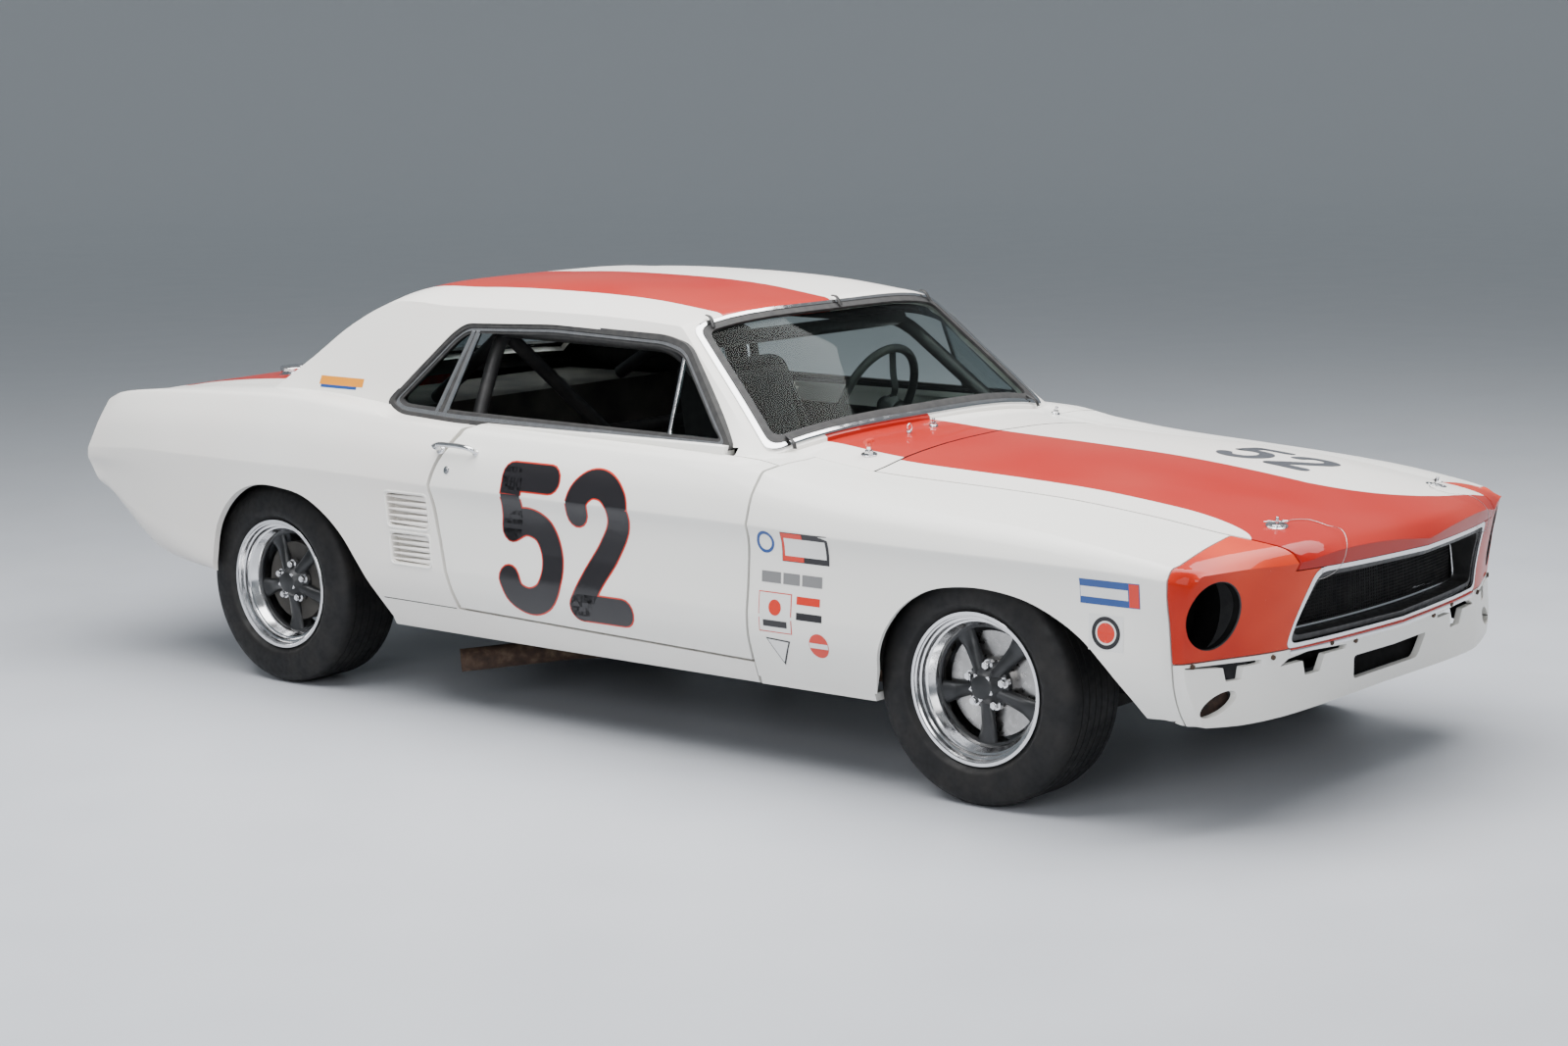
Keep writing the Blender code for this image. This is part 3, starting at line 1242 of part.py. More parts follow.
def engine_bay():
    """Side aprons, frame rails and radiator support."""
    bay = box("engine_bay", (-0.450, SEAM_FRONT + 0.02, 0.270), (0.450, SEAM_FRONT + 0.035, 0.700), bare_steel())
    cut(bay, box("radiator_hole", (-0.300, -1.0, 0.330), (0.300, -0.5, 0.640)))
    for word, side in SIDES:
        fuse(bay, box("apron_" + word, (side * 0.418, SEAM_FRONT + 0.022, 0.270), (side * 0.430, 0.5445, 0.745)))
        fuse(bay, box("rail_" + word, (side * 0.330, SEAM_FRONT + 0.021, RAIL_BOTTOM), (side * 0.425, 0.5445, 0.330)))
        cut(bay, box("arm_slot_" + word, (side * 0.380, -0.075, 0.15), (side * 0.460, 0.075, 0.475)))
        fuse(bay, *hood_pin(word, side))
    return bay


def hood_pin(word, side):
    """A post on the radiator support: its shoulder carries the closed hood and its pin stands through it."""
    x, s, z = side * HOOD_PIN[0], HOOD_PIN[1], HOOD_PIN[2]
    arm = box("pin_arm_" + word, (x - 0.018, s - 0.014, 0.674), (x + 0.016, SEAM_FRONT + 0.030, 0.692))
    shoulder = rod("pin_shoulder_" + word, (x, s, 0.680), (x, s, z), 0.014, sides=12)
    keep(shoulder, hull("shoulder_top_" + word, HOOD_WALL + SEAT_GAP))
    pin = rod("pin_" + word, (x, s, 0.690), (x, s, z + 0.020), HOOD_PIN_RADIUS, sides=8)
    return arm, shoulder, pin


def engine_block():
    """One plain block at the engine's place and size, with its sump."""
    block = box("engine_block", (-0.240, -0.300, 0.300), (0.240, 0.300, 0.700), bare_steel(), 0.03)
    fuse(block, box("sump", (-0.130, -0.160, 0.233), (0.130, 0.260, 0.310)))
    for side in (-1, 1):
        fuse(block, box("engine_mount", (side * 0.230, 0.0, 0.300), (side * (0.330 - SEAT_GAP), 0.080, 0.328)))
    return block


def radiator():
    core = box("radiator", (-0.315, SEAM_FRONT + 0.0353, 0.315), (0.315, SEAM_FRONT + 0.085, 0.655), black_paint())
    return core


def driveline():
    """Gearbox and propeller shaft under the tunnel, up to the axle."""
    axle_nose = WHEELBASE - 0.15 - SEAT_GAP
    hub = REAR_TYRE_RADIUS
    shaft = rod("driveline", (0, 1.05, 0.330), (0, axle_nose, hub), 0.038, bare_steel(), 12)
    fuse(shaft, rod("gearbox", (0, 0.3045, 0.345), (0, 1.10, 0.330), 0.095, sides=12, end_radius=0.055))
    return shaft


def exhaust():
    """Two pipes run back under the floor and turn out ahead of the rear wheels."""
    pipes = None
    for word, side in SIDES:
        corners = [(side * 0.284, 0.120, 0.560), (side * 0.286, 0.300, 0.215), (side * 0.290, 0.600, 0.195),
                   (side * 0.300, 1.300, 0.190), (side * 0.460, 1.720, 0.178), (side * 0.760, 1.990, 0.150)]
        pipe = tube("exhaust_" + word, bent(corners, 0.12, 2), EXHAUST_RADIUS, None if pipes else rusty_steel(), 6)
        if pipes is None:
            pipes = pipe
            pipes.name = "exhaust"
        else:
            fuse(pipes, pipe)
    fuse(pipes, rod("exhaust_link", (-0.30, 0.90, 0.192), (0.30, 0.90, 0.192), 0.022, sides=8))
    for side in (-1, 1):
        fuse(pipes, box("exhaust_hanger", (side * 0.290, 0.94, 0.200), (side * 0.310, 0.97, FLOOR_HEIGHT - SEAT_GAP)))
    return pipes


def fuel_cell():
    """The tank hung under the trunk floor."""
    return box("fuel_cell", (-0.330, 2.920, 0.290), (0.330, 3.230, 0.4577), black_paint(), 0.02)


# Cabin

def hoop_points(width, top_width, station, top, foot):
    """Half of a roll hoop's corners mirrored into a whole one."""
    right = [(-width, station, foot), (-width, station, 0.86), (-top_width, station, top)]
    return right + [(-x, s, z) for x, s, z in reversed(right)]


def roll_cage():
    """Main hoop with its diagonal, rear stays, front legs, door bars and a dash bar, welded together."""
    foot = FLOOR_HEIGHT + FLOOR_WALL + SEAT_GAP
    r = TUBE_RADIUS
    cage = tube("roll_cage", bent(hoop_points(CAGE_X - 0.005, 0.500, HOOP_STATION, 1.160, foot), 0.10, 2), r, black_paint())
    fuse(cage, tube("cage_diagonal", [(-0.500, HOOP_STATION, 1.140), (CAGE_X - 0.010, HOOP_STATION, foot + 0.05)], r))
    fuse(cage, tube("cage_harness_bar", [(-CAGE_X + 0.007, HOOP_STATION, 0.780), (CAGE_X - 0.007, HOOP_STATION, 0.780)], r))
    for word, side in SIDES:
        stay = [(side * 0.480, HOOP_STATION, 1.150), (side * 0.430, BULKHEAD - 0.020, 0.905)]
        fuse(cage, tube("cage_stay_" + word, stay, r))
        leg = [(side * CAGE_X, 0.800, foot), (side * CAGE_X, 0.800, 0.740), (side * 0.535, 1.270, 1.135),
               (side * 0.510, HOOP_STATION, 1.146)]
        fuse(cage, tube("cage_leg_" + word, bent(leg, 0.08, 2), r))
        bar = [(side * CAGE_X, 0.800, 0.560), (side * 0.690, 1.250, 0.540), (side * (CAGE_X - 0.005), HOOP_STATION, 0.600)]
        fuse(cage, tube("cage_door_bar_" + word, bent(bar, 0.10, 2), r))
    fuse(cage, tube("cage_header_bar", [(-0.535, 1.270, 1.135), (0.535, 1.270, 1.135)], r))
    return cage


def seat():
    """A one-piece racing seat with side wings and a head hoop."""
    x = DRIVER_X
    foot = FLOOR_HEIGHT + FLOOR_WALL + SEAT_GAP
    outline = [(1.220, foot), (1.200, 0.420), (1.560, 0.380), (1.690, 0.500), (1.830, 0.980), (1.900, 0.980),
               (1.830, 0.560), (1.760, foot)]
    shell = side_prism("seat", outline, x - SEAT_HALF, x + SEAT_HALF, vinyl())
    hollow = [(1.100, 0.480), (1.220, 0.440), (1.520, 0.425), (1.640, 0.520), (1.790, 1.020), (1.100, 1.020)]
    wings = [(1.200, 0.420), (1.230, 0.500), (1.560, 0.520), (1.700, 0.860), (1.790, 0.900), (1.860, 0.900),
             (1.780, 0.500), (1.560, 0.390)]
    for side in (-1, 1):
        fuse(shell, side_prism("seat_wing", wings, x + side * (SEAT_HALF - 0.045), x + side * (SEAT_HALF + 0.0003)))
    fuse(shell, tube("head_hoop", bent([(x - 0.150, 1.845, 0.900), (x - 0.130, 1.860, 1.080),
                                        (x + 0.130, 1.860, 1.080), (x + 0.150, 1.845, 0.900)], 0.06, 2), 0.016))
    cut(shell, side_prism("seat_hollow", hollow, x - SEAT_HALF + 0.045, x + SEAT_HALF - 0.045))
    return shell


def dashboard():
    """The dash rail across the cabin, with the steering column through it down to the firewall."""
    outline = [(0.700, 0.764), (0.8158, 0.8263), (0.832, 0.838), (0.930, 0.846), (0.985, 0.825), (0.985, 0.720),
               (0.940, 0.640), (0.905, 0.640), (0.900, 0.760), (0.720, 0.760)]
    dash = side_prism("dashboard", outline, -DASH_HALF, DASH_HALF, black_paint())
    centre, axis = steering_axis()
    column = rod("steering_column", centre - axis * 0.685, centre - axis * (0.085 + SEAT_GAP), COLUMN_RADIUS, sides=12)
    return fuse(dash, column)


def steering_axis():
    """The steering wheel's centre and the unit vector along its column, towards the driver."""
    centre = Vector((DRIVER_X, 1.235, 0.890))
    slope = math.radians(STEERING_RAKE)
    return centre, Vector((0, math.cos(slope), math.sin(slope)))


def steering_wheel():
    """A three-spoke dished wheel on its hub."""
    centre, axis = steering_axis()
    ring = [(STEERING_WHEEL_RADIUS + 0.014 * math.cos(math.tau * k / 6), 0.014 * math.sin(math.tau * k / 6))
            for k in range(6)]
    profile = [(a, r) for r, a in ring]
    place = spot(*centre)
    rim = turned("steering_wheel", profile, place, axis, 20, black_paint())
    back = centre - axis * 0.055
    fuse(rim, rod("steering_hub", back - axis * 0.030, centre - axis * 0.020, 0.040, sides=12))
    side_way = Vector((1, 0, 0))
    up_way = axis.cross(side_way)
    for k in range(3):
        angle = math.radians(90 + 120 * k)
        outward = side_way * math.cos(angle) - up_way * math.sin(angle)
        start = back + outward * 0.020
        end = centre + outward * (STEERING_WHEEL_RADIUS - 0.004)
        across = axis.cross(outward)
        loops = []
        for p, half in ((start, 0.018), (end, 0.012)):
            loops.append([spot(*(p + across * a * half + axis * b * 0.0025))
                          for a, b in ((-1, -1), (1, -1), (1, 1), (-1, 1))])
        fuse(rim, prism("steering_spoke_%d" % k, loops[0], loops[1]))
    return pivot(rim, place)


def kill_switch():
    """The red battery switch on the cowl by the windscreen."""
    x, s, z = KILL_SWITCH
    base = rod("kill_switch", (x, s, z), (x, s, z + 0.012), 0.022, chrome(), 16)
    fuse(base, rod("kill_knob", (x, s, z + 0.010), (x, s, z + 0.038), 0.009, sides=10))
    fuse(base, box("kill_bar", (x - 0.020, s - 0.005, z + 0.034), (x + 0.020, s + 0.005, z + 0.052)))
    return cut(base, hull("kill_switch_seat", -SEAT_GAP))


def build():
    engine_block()
    radiator()
    driveline()
    exhaust()
    fuel_cell()
    roll_cage()
    seat()
    dashboard()
    steering_wheel()
    kill_switch()
    body_shell()
    hood()
    trunk_lid()
    valance()
    grille_frame()
    grille_mesh()
    windscreen()
    rear_window()
    fuel_filler()
    floor_pan()
    trunk_floor()
    engine_bay()
    front_suspension()
    rear_axle()
    for word, side in SIDES:
        fender(word, side)
        lamp_bucket(word, side)
        door(word, side)
        tail_lamps(word, side)
        door_handle(word, side)
        quarter_glass(word, side)
        vent_window(word, side)
        knuckle(word, side)
        brake_disc(word, side)
        for place, station, radius in (("front", 0.0, FRONT_TYRE_RADIUS), ("rear", WHEELBASE, REAR_TYRE_RADIUS)):
            tyre("tyre_%s_%s" % (place, word), side, station, radius)
            wheel("wheel_%s_%s" % (place, word), side, station, radius)


build()
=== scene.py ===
"""The looks of the race car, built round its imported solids.

The car's front faces -Y and its left side +X. Places along the car are stations: metres behind the front
axle. Most points are given as x, station, z.
"""
import bisect
from functools import partial
import math

import bmesh
import bpy
from mathutils import Matrix, Vector
from mathutils.bvhtree import BVHTree


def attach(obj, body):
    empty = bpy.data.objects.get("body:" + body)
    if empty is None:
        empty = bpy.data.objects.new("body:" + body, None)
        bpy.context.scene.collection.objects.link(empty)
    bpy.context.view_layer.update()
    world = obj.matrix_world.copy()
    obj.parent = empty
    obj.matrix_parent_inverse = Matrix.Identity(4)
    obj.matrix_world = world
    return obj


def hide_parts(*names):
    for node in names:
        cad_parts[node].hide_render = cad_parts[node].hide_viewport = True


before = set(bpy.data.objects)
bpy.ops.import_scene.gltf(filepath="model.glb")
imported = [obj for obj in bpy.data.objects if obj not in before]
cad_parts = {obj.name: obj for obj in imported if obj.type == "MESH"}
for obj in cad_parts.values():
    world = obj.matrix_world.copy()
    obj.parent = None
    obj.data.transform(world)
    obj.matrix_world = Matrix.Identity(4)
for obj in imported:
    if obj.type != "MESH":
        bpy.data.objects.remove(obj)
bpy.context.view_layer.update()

# Sizes shared with the solids, metres
WHEELBASE = 2.743
FRONT_AXLE_Y = -1.389
HALF_WIDTH = 0.9005
ROOF_HEIGHT = 1.292
SILL_HEIGHT = 0.250
BELT_HEIGHT = 0.868
HOOD_REAR = 0.500
COWL_HALF = 0.597
DOOR_FRONT = 0.714
BACKLIGHT_BASE = 2.920
TRUNK_FRONT = 3.000
TRUNK_REAR = 3.560
SEAM_FRONT = -0.620
WINDOW_TOP = 1.185
WINDOW_CORNER = 0.035
PANEL_GAP = 0.004
MOVING_GAP = 0.007
SWING_RELIEF = 0.020
BODY_WALL = 0.040
ROOF_WALL = 0.028
DOOR_WALL = 0.075
FENDER_WALL = 0.012
HOOD_WALL = 0.026
LID_WALL = 0.022
BUCKET_WALL = 0.018
GLASS_WALL = 0.005
FRONT_TYRE_RADIUS = 0.318
REAR_TYRE_RADIUS = 0.322
TYRE_WIDTH = 0.250
TYRE_OUTER_X = 0.838
RIM_RADIUS = 0.2075
LAMP_X = 0.754
LAMP_Z = 0.577
LAMP_HALF = 0.077
LAMP_RISE = 0.089
HOOD_PIN = (0.433, -0.675, 0.760)
FILLER = (-0.300, 3.230, 0.912)
STRIPE_EDGE = 0.470
SIDES = (("left", 1), ("right", -1))
FAR = 1.5
OUTSIDE_X = 0.97
ABOVE = 1.2
TAIL_LAMPS = (0.52, 0.615, 0.71)

BODY = "car_body"


def place_of(point):
    """The x, station, z of a world point."""
    return point.x, point.y - FRONT_AXLE_Y, point.z


def at(station):
    """The world Y of a station."""
    return station + FRONT_AXLE_Y


def spot(x, station, z):
    return Vector((x, at(station), z))


def guide(*points):
    """A smooth curve through (station, value) points that never overshoots them."""
    xs = [p[0] for p in points]
    ys = [p[1] for p in points]
    steps = [xs[i + 1] - xs[i] for i in range(len(xs) - 1)]
    rises = [(ys[i + 1] - ys[i]) / steps[i] for i in range(len(steps))]
    slopes = [rises[0]]
    for i in range(1, len(steps)):
        if rises[i - 1] * rises[i] <= 0:
            slopes.append(0.0)
        else:
            before = 2 * steps[i] + steps[i - 1]
            after = steps[i] + 2 * steps[i - 1]
            slopes.append((before + after) / (before / rises[i - 1] + after / rises[i]))
    slopes.append(rises[-1])

    def value(s):
        if s <= xs[0]:
            return ys[0]
        if s >= xs[-1]:
            return ys[-1]
        i = bisect.bisect_right(xs, s) - 1
        h = steps[i]
        t = (s - xs[i]) / h
        a = (1 + 2 * t) * (1 - t) ** 2
        b = t * (1 - t) ** 2
        c = t * t * (3 - 2 * t)
        d = t * t * (t - 1)
        return a * ys[i] + b * h * slopes[i] + c * ys[i + 1] + d * h * slopes[i + 1]

    return value


# Meshes

def new_object(name, mesh):
    obj = bpy.data.objects.new(name, mesh)
    bpy.context.scene.collection.objects.link(obj)
    return obj


def finish_mesh(bm, name):
    """Turns a bmesh into a mesh whose faces point outward."""
    bmesh.ops.remove_doubles(bm, verts=bm.verts, dist=0.00001)
    bmesh.ops.recalc_face_normals(bm, faces=bm.faces)
    if bm.calc_volume(signed=True) < 0:
        bmesh.ops.reverse_faces(bm, faces=bm.faces)
    mesh = bpy.data.meshes.new(name)
    bm.to_mesh(mesh)
    bm.free()
    return mesh


def evaluated_mesh(obj):
    graph = bpy.context.evaluated_depsgraph_get()
    graph.update()
    return bpy.data.meshes.new_from_object(obj.evaluated_get(graph))


def drop(obj):
    bpy.data.objects.remove(obj, do_unlink=True)


def combine(obj, operation, others):
    """Applies one Boolean for each other solid and deletes those solids."""
    for other in others:
        step = obj.modifiers.new(operation, "BOOLEAN")
        step.operation = operation
        step.solver = "MANIFOLD"
        step.object = other
    mesh = evaluated_mesh(obj)
    obj.modifiers.clear()
    obj.data = mesh
    for other in others:
        drop(other)
    return obj


def cut(obj, *others):
    return combine(obj, "DIFFERENCE", others)


def keep(obj, *others):
    return combine(obj, "INTERSECT", others)


def fuse(obj, *others):
    return combine(obj, "UNION", others)


def smooth(obj, angle=30.0):
    obj.data.shade_smooth()
    obj.data.set_sharp_from_angle(angle=math.radians(angle))
    return obj


def piece(obj, body, slot, *materials):
    """Dresses a finished mesh and hangs it on its body."""
    obj.data.materials.clear()
    for material in materials:
        obj.data.materials.append(material)
    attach(obj, body)
    return obj


def joined(name, parts):
    """Puts finished meshes into one object without a Boolean."""
    bm = bmesh.new()
    for part in parts:
        bm.from_mesh(part.data)
        drop(part)
    mesh = bpy.data.meshes.new(name)
    bm.to_mesh(mesh)
    bm.free()
    return new_object(name, mesh)


def box(name, low, high, bevel=0.0, segments=2):
    """A box between two corners given as x, station, z."""
    a, b = spot(*low), spot(*high)
    bm = bmesh.new()
    bmesh.ops.create_cube(bm, size=1.0)
    bmesh.ops.scale(bm, vec=[abs(b[i] - a[i]) for i in range(3)], verts=bm.verts)
    bmesh.ops.translate(bm, vec=(a + b) / 2, verts=bm.verts)
    if bevel:
        bmesh.ops.bevel(bm, geom=bm.edges[:], offset=bevel, segments=segments, affect="EDGES", profile=0.5)
    return new_object(name, finish_mesh(bm, name))


def rod(name, start, end, radius, sides=32, end_radius=None, bevel=0.0):
    """A round bar, or a cone, between two points given as x, station, z."""
    a, b = spot(*start), spot(*end)
    axis = b - a
    bm = bmesh.new()
    bmesh.ops.create_cone(bm, cap_ends=True, segments=sides, radius1=radius,
                          radius2=radius if end_radius is None else end_radius, depth=axis.length)
    turn = axis.to_track_quat("Z", "Y").to_matrix().to_4x4()
    bmesh.ops.transform(bm, matrix=Matrix.Translation((a + b) / 2) @ turn, verts=bm.verts)
    if bevel:
        rims = [e for e in bm.edges if any(len(f.verts) > 4 for f in e.link_faces)]
        bmesh.ops.bevel(bm, geom=rims, offset=bevel, segments=2, affect="EDGES", profile=0.5)
    return new_object(name, finish_mesh(bm, name))


def join_rings(bm, rings, closed=False):
    """Faces between each ring of vertices and the next, and from the last to the first if closed."""
    for one, two in zip(rings, rings[1:] + (rings[:1] if closed else [])):
        for j in range(len(one)):
            k = (j + 1) % len(one)
            bm.faces.new((one[j], one[k], two[k], two[j]))


def prism(name, first, second):
    """A solid between two outlines of world points with the same number of corners."""
    bm = bmesh.new()
    low, high = [[bm.verts.new(p) for p in outline] for outline in (first, second)]
    bm.faces.new(low)
    bm.faces.new(high)
    join_rings(bm, [low, high])
    bmesh.ops.triangulate(bm, faces=[f for f in bm.faces if len(f.verts) > 4])
    return new_object(name, finish_mesh(bm, name))


def side_prism(name, outline, x_from, x_to):
    """Extrudes a side-view outline of (station, z) points across the car."""
    return prism(name, [spot(x_from, s, z) for s, z in outline], [spot(x_to, s, z) for s, z in outline])


def plan_prism(name, outline, z_from, z_to):
    """Extrudes a plan-view outline of (x, station) points upward."""
    return prism(name, [spot(x, s, z_from) for x, s in outline], [spot(x, s, z_to) for x, s in outline])


def arc(before, here, after, radius, steps):
    """Points of an arc-like curve that takes a corner's place."""
    back, ahead = before - here, after - here
    reach = min(radius, back.length * 0.45, ahead.length * 0.45)
    start = here + back.normalized() * reach
    end = here + ahead.normalized() * reach
    made = []
    for k in range(steps + 1):
        t = k / steps
        made.append(start * (1 - t) ** 2 + here * 2 * t * (1 - t) + end * t * t)
    return made


def round_corners(corners, radius, steps=4):
    """Rounds each corner of a flat outline."""
    spots = [Vector(c) for c in corners]
    made = []
    for before, here, after in zip(spots[-1:] + spots, spots, spots[1:] + spots[:1]):
        made += [tuple(p) for p in arc(before, here, after, radius, steps)]
    return made


def offset_outline(outline, distance):
    """Moves each side of a flat outline outward by a distance, inward if negative."""
    count = len(outline)
    area = sum(outline[i][0] * outline[(i + 1) % count][1] - outline[(i + 1) % count][0] * outline[i][1]
               for i in range(count))
    turn = 1 if area > 0 else -1
    moved = []
    for i in range(count):
        a, b, c = Vector(outline[i - 1]), Vector(outline[i]), Vector(outline[(i + 1) % count])
        one = (b - a).normalized()
        two = (c - b).normalized()
        normal_one = Vector((one.y, -one.x)) * turn
        normal_two = Vector((two.y, -two.x)) * turn
        middle = (normal_one + normal_two).normalized()
        stretch = distance / max(0.5, middle.dot(normal_one))
        moved.append(tuple(b + middle * stretch))
    return moved


def band(name, loops):
    """A closed band between loops with the same number of points."""
    bm = bmesh.new()
    join_rings(bm, [[bm.verts.new(p) for p in loop] for loop in loops], True)
    return new_object(name, finish_mesh(bm, name))


def sweep(name, points, section, closed=False, up=(0, 0, 1)):
    """Carries a closed section of (side, up) points along a run of world points."""
    bm = bmesh.new()
    rings = []
    count = len(points)
    for i, p in enumerate(points):
        before = points[i - 1] if i or closed else p
        after = points[(i + 1) % count] if i < count - 1 or closed else p
        along = (after - before).normalized()
        side = along.cross(Vector(up)).normalized()
        rise = side.cross(along).normalized()
        rings.append([bm.verts.new(p + side * a + rise * b) for a, b in section])
    join_rings(bm, rings, closed)
    if not closed:
        bm.faces.new(rings[0])
        bm.faces.new(rings[-1][::-1])
    return new_object(name, finish_mesh(bm, name))


def circle(radius, count, mid=(0.0, 0.0), rise=None):
    """Points round a circle, or round an ellipse that has its own rise."""
    rise = rise or radius
    return [(mid[0] + radius * math.cos(math.tau * k / count), mid[1] + rise * math.sin(math.tau * k / count))
            for k in range(count)]


def crowned(half, foot, shoulder, crest_half, crest):
    """A flat-footed section with its upper corners cut off."""
    return [(-half, foot), (half, foot), (half, shoulder), (crest_half, crest), (-crest_half, crest),
            (-half, shoulder)]


def turned(name, profile, start, direction, segments):
    """A turned solid: a closed profile of (along, radius) points round an axis."""
    bm = bmesh.new()
    turn = Vector(direction).to_track_quat("Z", "Y").to_matrix().to_4x4()
    place = Matrix.Translation(start) @ turn
    rings = []
    for k in range(segments):
        angle = math.tau * k / segments
        rings.append([bm.verts.new(place @ Vector((r * math.cos(angle), r * math.sin(angle), a)))
                      for a, r in profile])
    on_axis = [r < 1e-6 for a, r in profile]
    for one, two in zip(rings, rings[1:] + rings[:1]):
        for i in range(len(profile)):
            j = (i + 1) % len(profile)
            if on_axis[i] and on_axis[j]:
                continue
            corners = [one[i], one[j]] + ([] if on_axis[j] else [two[j]]) + ([] if on_axis[i] else [two[i]])
            bm.faces.new(corners)
    return new_object(name, finish_mesh(bm, name))


# The body's outer skin, on the same guides as the solids but with many more points

RAIL_X = guide((-0.80, 0.542), (-0.72, 0.562), (-0.62, 0.576), (0.10, 0.598), (0.55, 0.606), (1.20, 0.640),
               (2.60, 0.660), (3.62, 0.640))
RAIL_Z = guide((-0.80, 0.690), (-0.78, 0.718), (-0.71, 0.737), (-0.59, 0.752), (-0.38, 0.781), (-0.10, 0.807),
               (0.14, 0.817), (0.45, 0.827), (0.63, 0.843), (0.80, 0.864), (1.94, 0.893), (2.70, 0.938),
               (3.13, 0.920), (3.48, 0.889), (3.62, 0.868))
CENTRE_Z = guide((-0.886, 0.690), (-0.868, 0.722), (-0.80, 0.754), (-0.62, 0.792), (-0.41, 0.822),
                 (-0.10, 0.853), (0.23, 0.870), (0.50, 0.882), (0.76, 0.898), (2.80, 0.945), (3.13, 0.934),
                 (3.48, 0.903), (3.62, 0.880))
SHOULDER_Z = guide((-0.745, 0.690), (-0.725, 0.708), (-0.62, 0.731), (-0.38, 0.767), (-0.10, 0.792),
                   (0.18, 0.806), (0.45, 0.820), (0.63, 0.838), (0.80, 0.864), (1.94, 0.893), (2.70, 0.940),
                   (3.13, 0.924), (3.48, 0.893), (3.62, 0.868))
RIDGE_X = guide((-0.70, 0.786), (-0.62, 0.808), (-0.50, 0.818), (-0.35, 0.824), (1.90, 0.826), (2.70, 0.812),
                (3.30, 0.795), (3.63, 0.775))
RIDGE_Z = guide((-0.70, 0.687), (-0.68, 0.693), (-0.62, 0.706), (-0.50, 0.731), (-0.24, 0.761), (0.06, 0.781),
                (0.38, 0.800), (0.63, 0.826), (0.79, 0.852), (1.37, BELT_HEIGHT), (1.94, 0.880),
                (2.30, 0.905), (2.71, 0.930), (2.95, 0.924), (3.29, 0.912), (3.55, 0.889), (3.63, 0.860))
CREASE_X = guide((-0.67, 0.822), (-0.62, 0.868), (-0.45, 0.890), (-0.20, 0.898), (0.70, HALF_WIDTH),
                 (2.60, HALF_WIDTH), (3.20, 0.888), (3.664, 0.848))
CREASE_Z = guide((-0.67, 0.655), (-0.62, 0.674), (-0.36, 0.687), (0.38, 0.692), (0.71, 0.702), (1.96, 0.711),
                 (2.60, 0.722), (3.30, 0.722), (3.664, 0.700))
RECESS = guide((-0.62, 0.0), (-0.35, 0.010), (1.70, 0.012), (2.20, 0.004), (3.66, 0.002))
LOW_X = guide((-0.64, 0.825), (-0.60, 0.858), (-0.45, 0.883), (0.70, 0.898), (1.90, 0.898), (2.60, 0.892),
              (3.20, 0.872), (3.60, 0.838))
LOW_Z = guide((-0.64, 0.458), (3.00, 0.459), (3.30, 0.500), (3.62, 0.610))
TUCK_X = guide((-0.64, 0.800), (-0.58, 0.830), (-0.40, 0.852), (0.30, 0.872), (3.00, 0.872), (3.60, 0.822))
TUCK_Z = guide((-0.64, 0.340), (0.00, 0.335), (2.90, 0.338), (3.07, 0.365), (3.33, 0.420), (3.60, 0.575))
SILL_X = guide((-0.64, 0.770), (-0.55, 0.800), (-0.30, 0.830), (0.30, 0.842), (2.90, 0.842), (3.60, 0.800))
SILL_Z = guide((-0.64, 0.292), (-0.45, 0.282), (0.10, SILL_HEIGHT), (2.20, SILL_HEIGHT + 0.006),
               (2.90, 0.335), (3.07, 0.345), (3.33, 0.382), (3.45, 0.448), (3.57, 0.534), (3.61, 0.555))
TAIL = guide((0.53, 3.575), (0.60, 3.630), (0.66, 3.664), (0.70, 3.660), (0.75, 3.630), (0.87, 3.622))
OPEN_BOTTOM = guide((-0.66, 0.012), (-0.50, -0.20), (3.20, -0.20), (3.32, 0.02))
TOP_FRACTIONS = (0.0, 0.42, 0.74)
FIRST_SHARED = -0.50
LAST_SHARED = 3.50
FRONT_COLUMNS = 14
SHARED_COLUMNS = 134
TAIL_COLUMNS = 6
ROW_SPLIT = 3
ROW_BREAKS = (0, 5, 7, 10, 13, 18)
ROW_ROUNDING = {5: 0.020, 7: 0.004, 10: 0.014, 13: 0.005}


def crown_row(fraction):
    """A row on the hood and deck between the centre line and the rail."""
    def x(s):
        return RAIL_X(s + 0.086 * (1 - fraction)) * fraction

    def z(s):
        rise = CENTRE_Z(s) - RAIL_Z(s + 0.086 * (1 - fraction ** 2))
        return CENTRE_Z(s) - rise * fraction ** 2
    return x, z


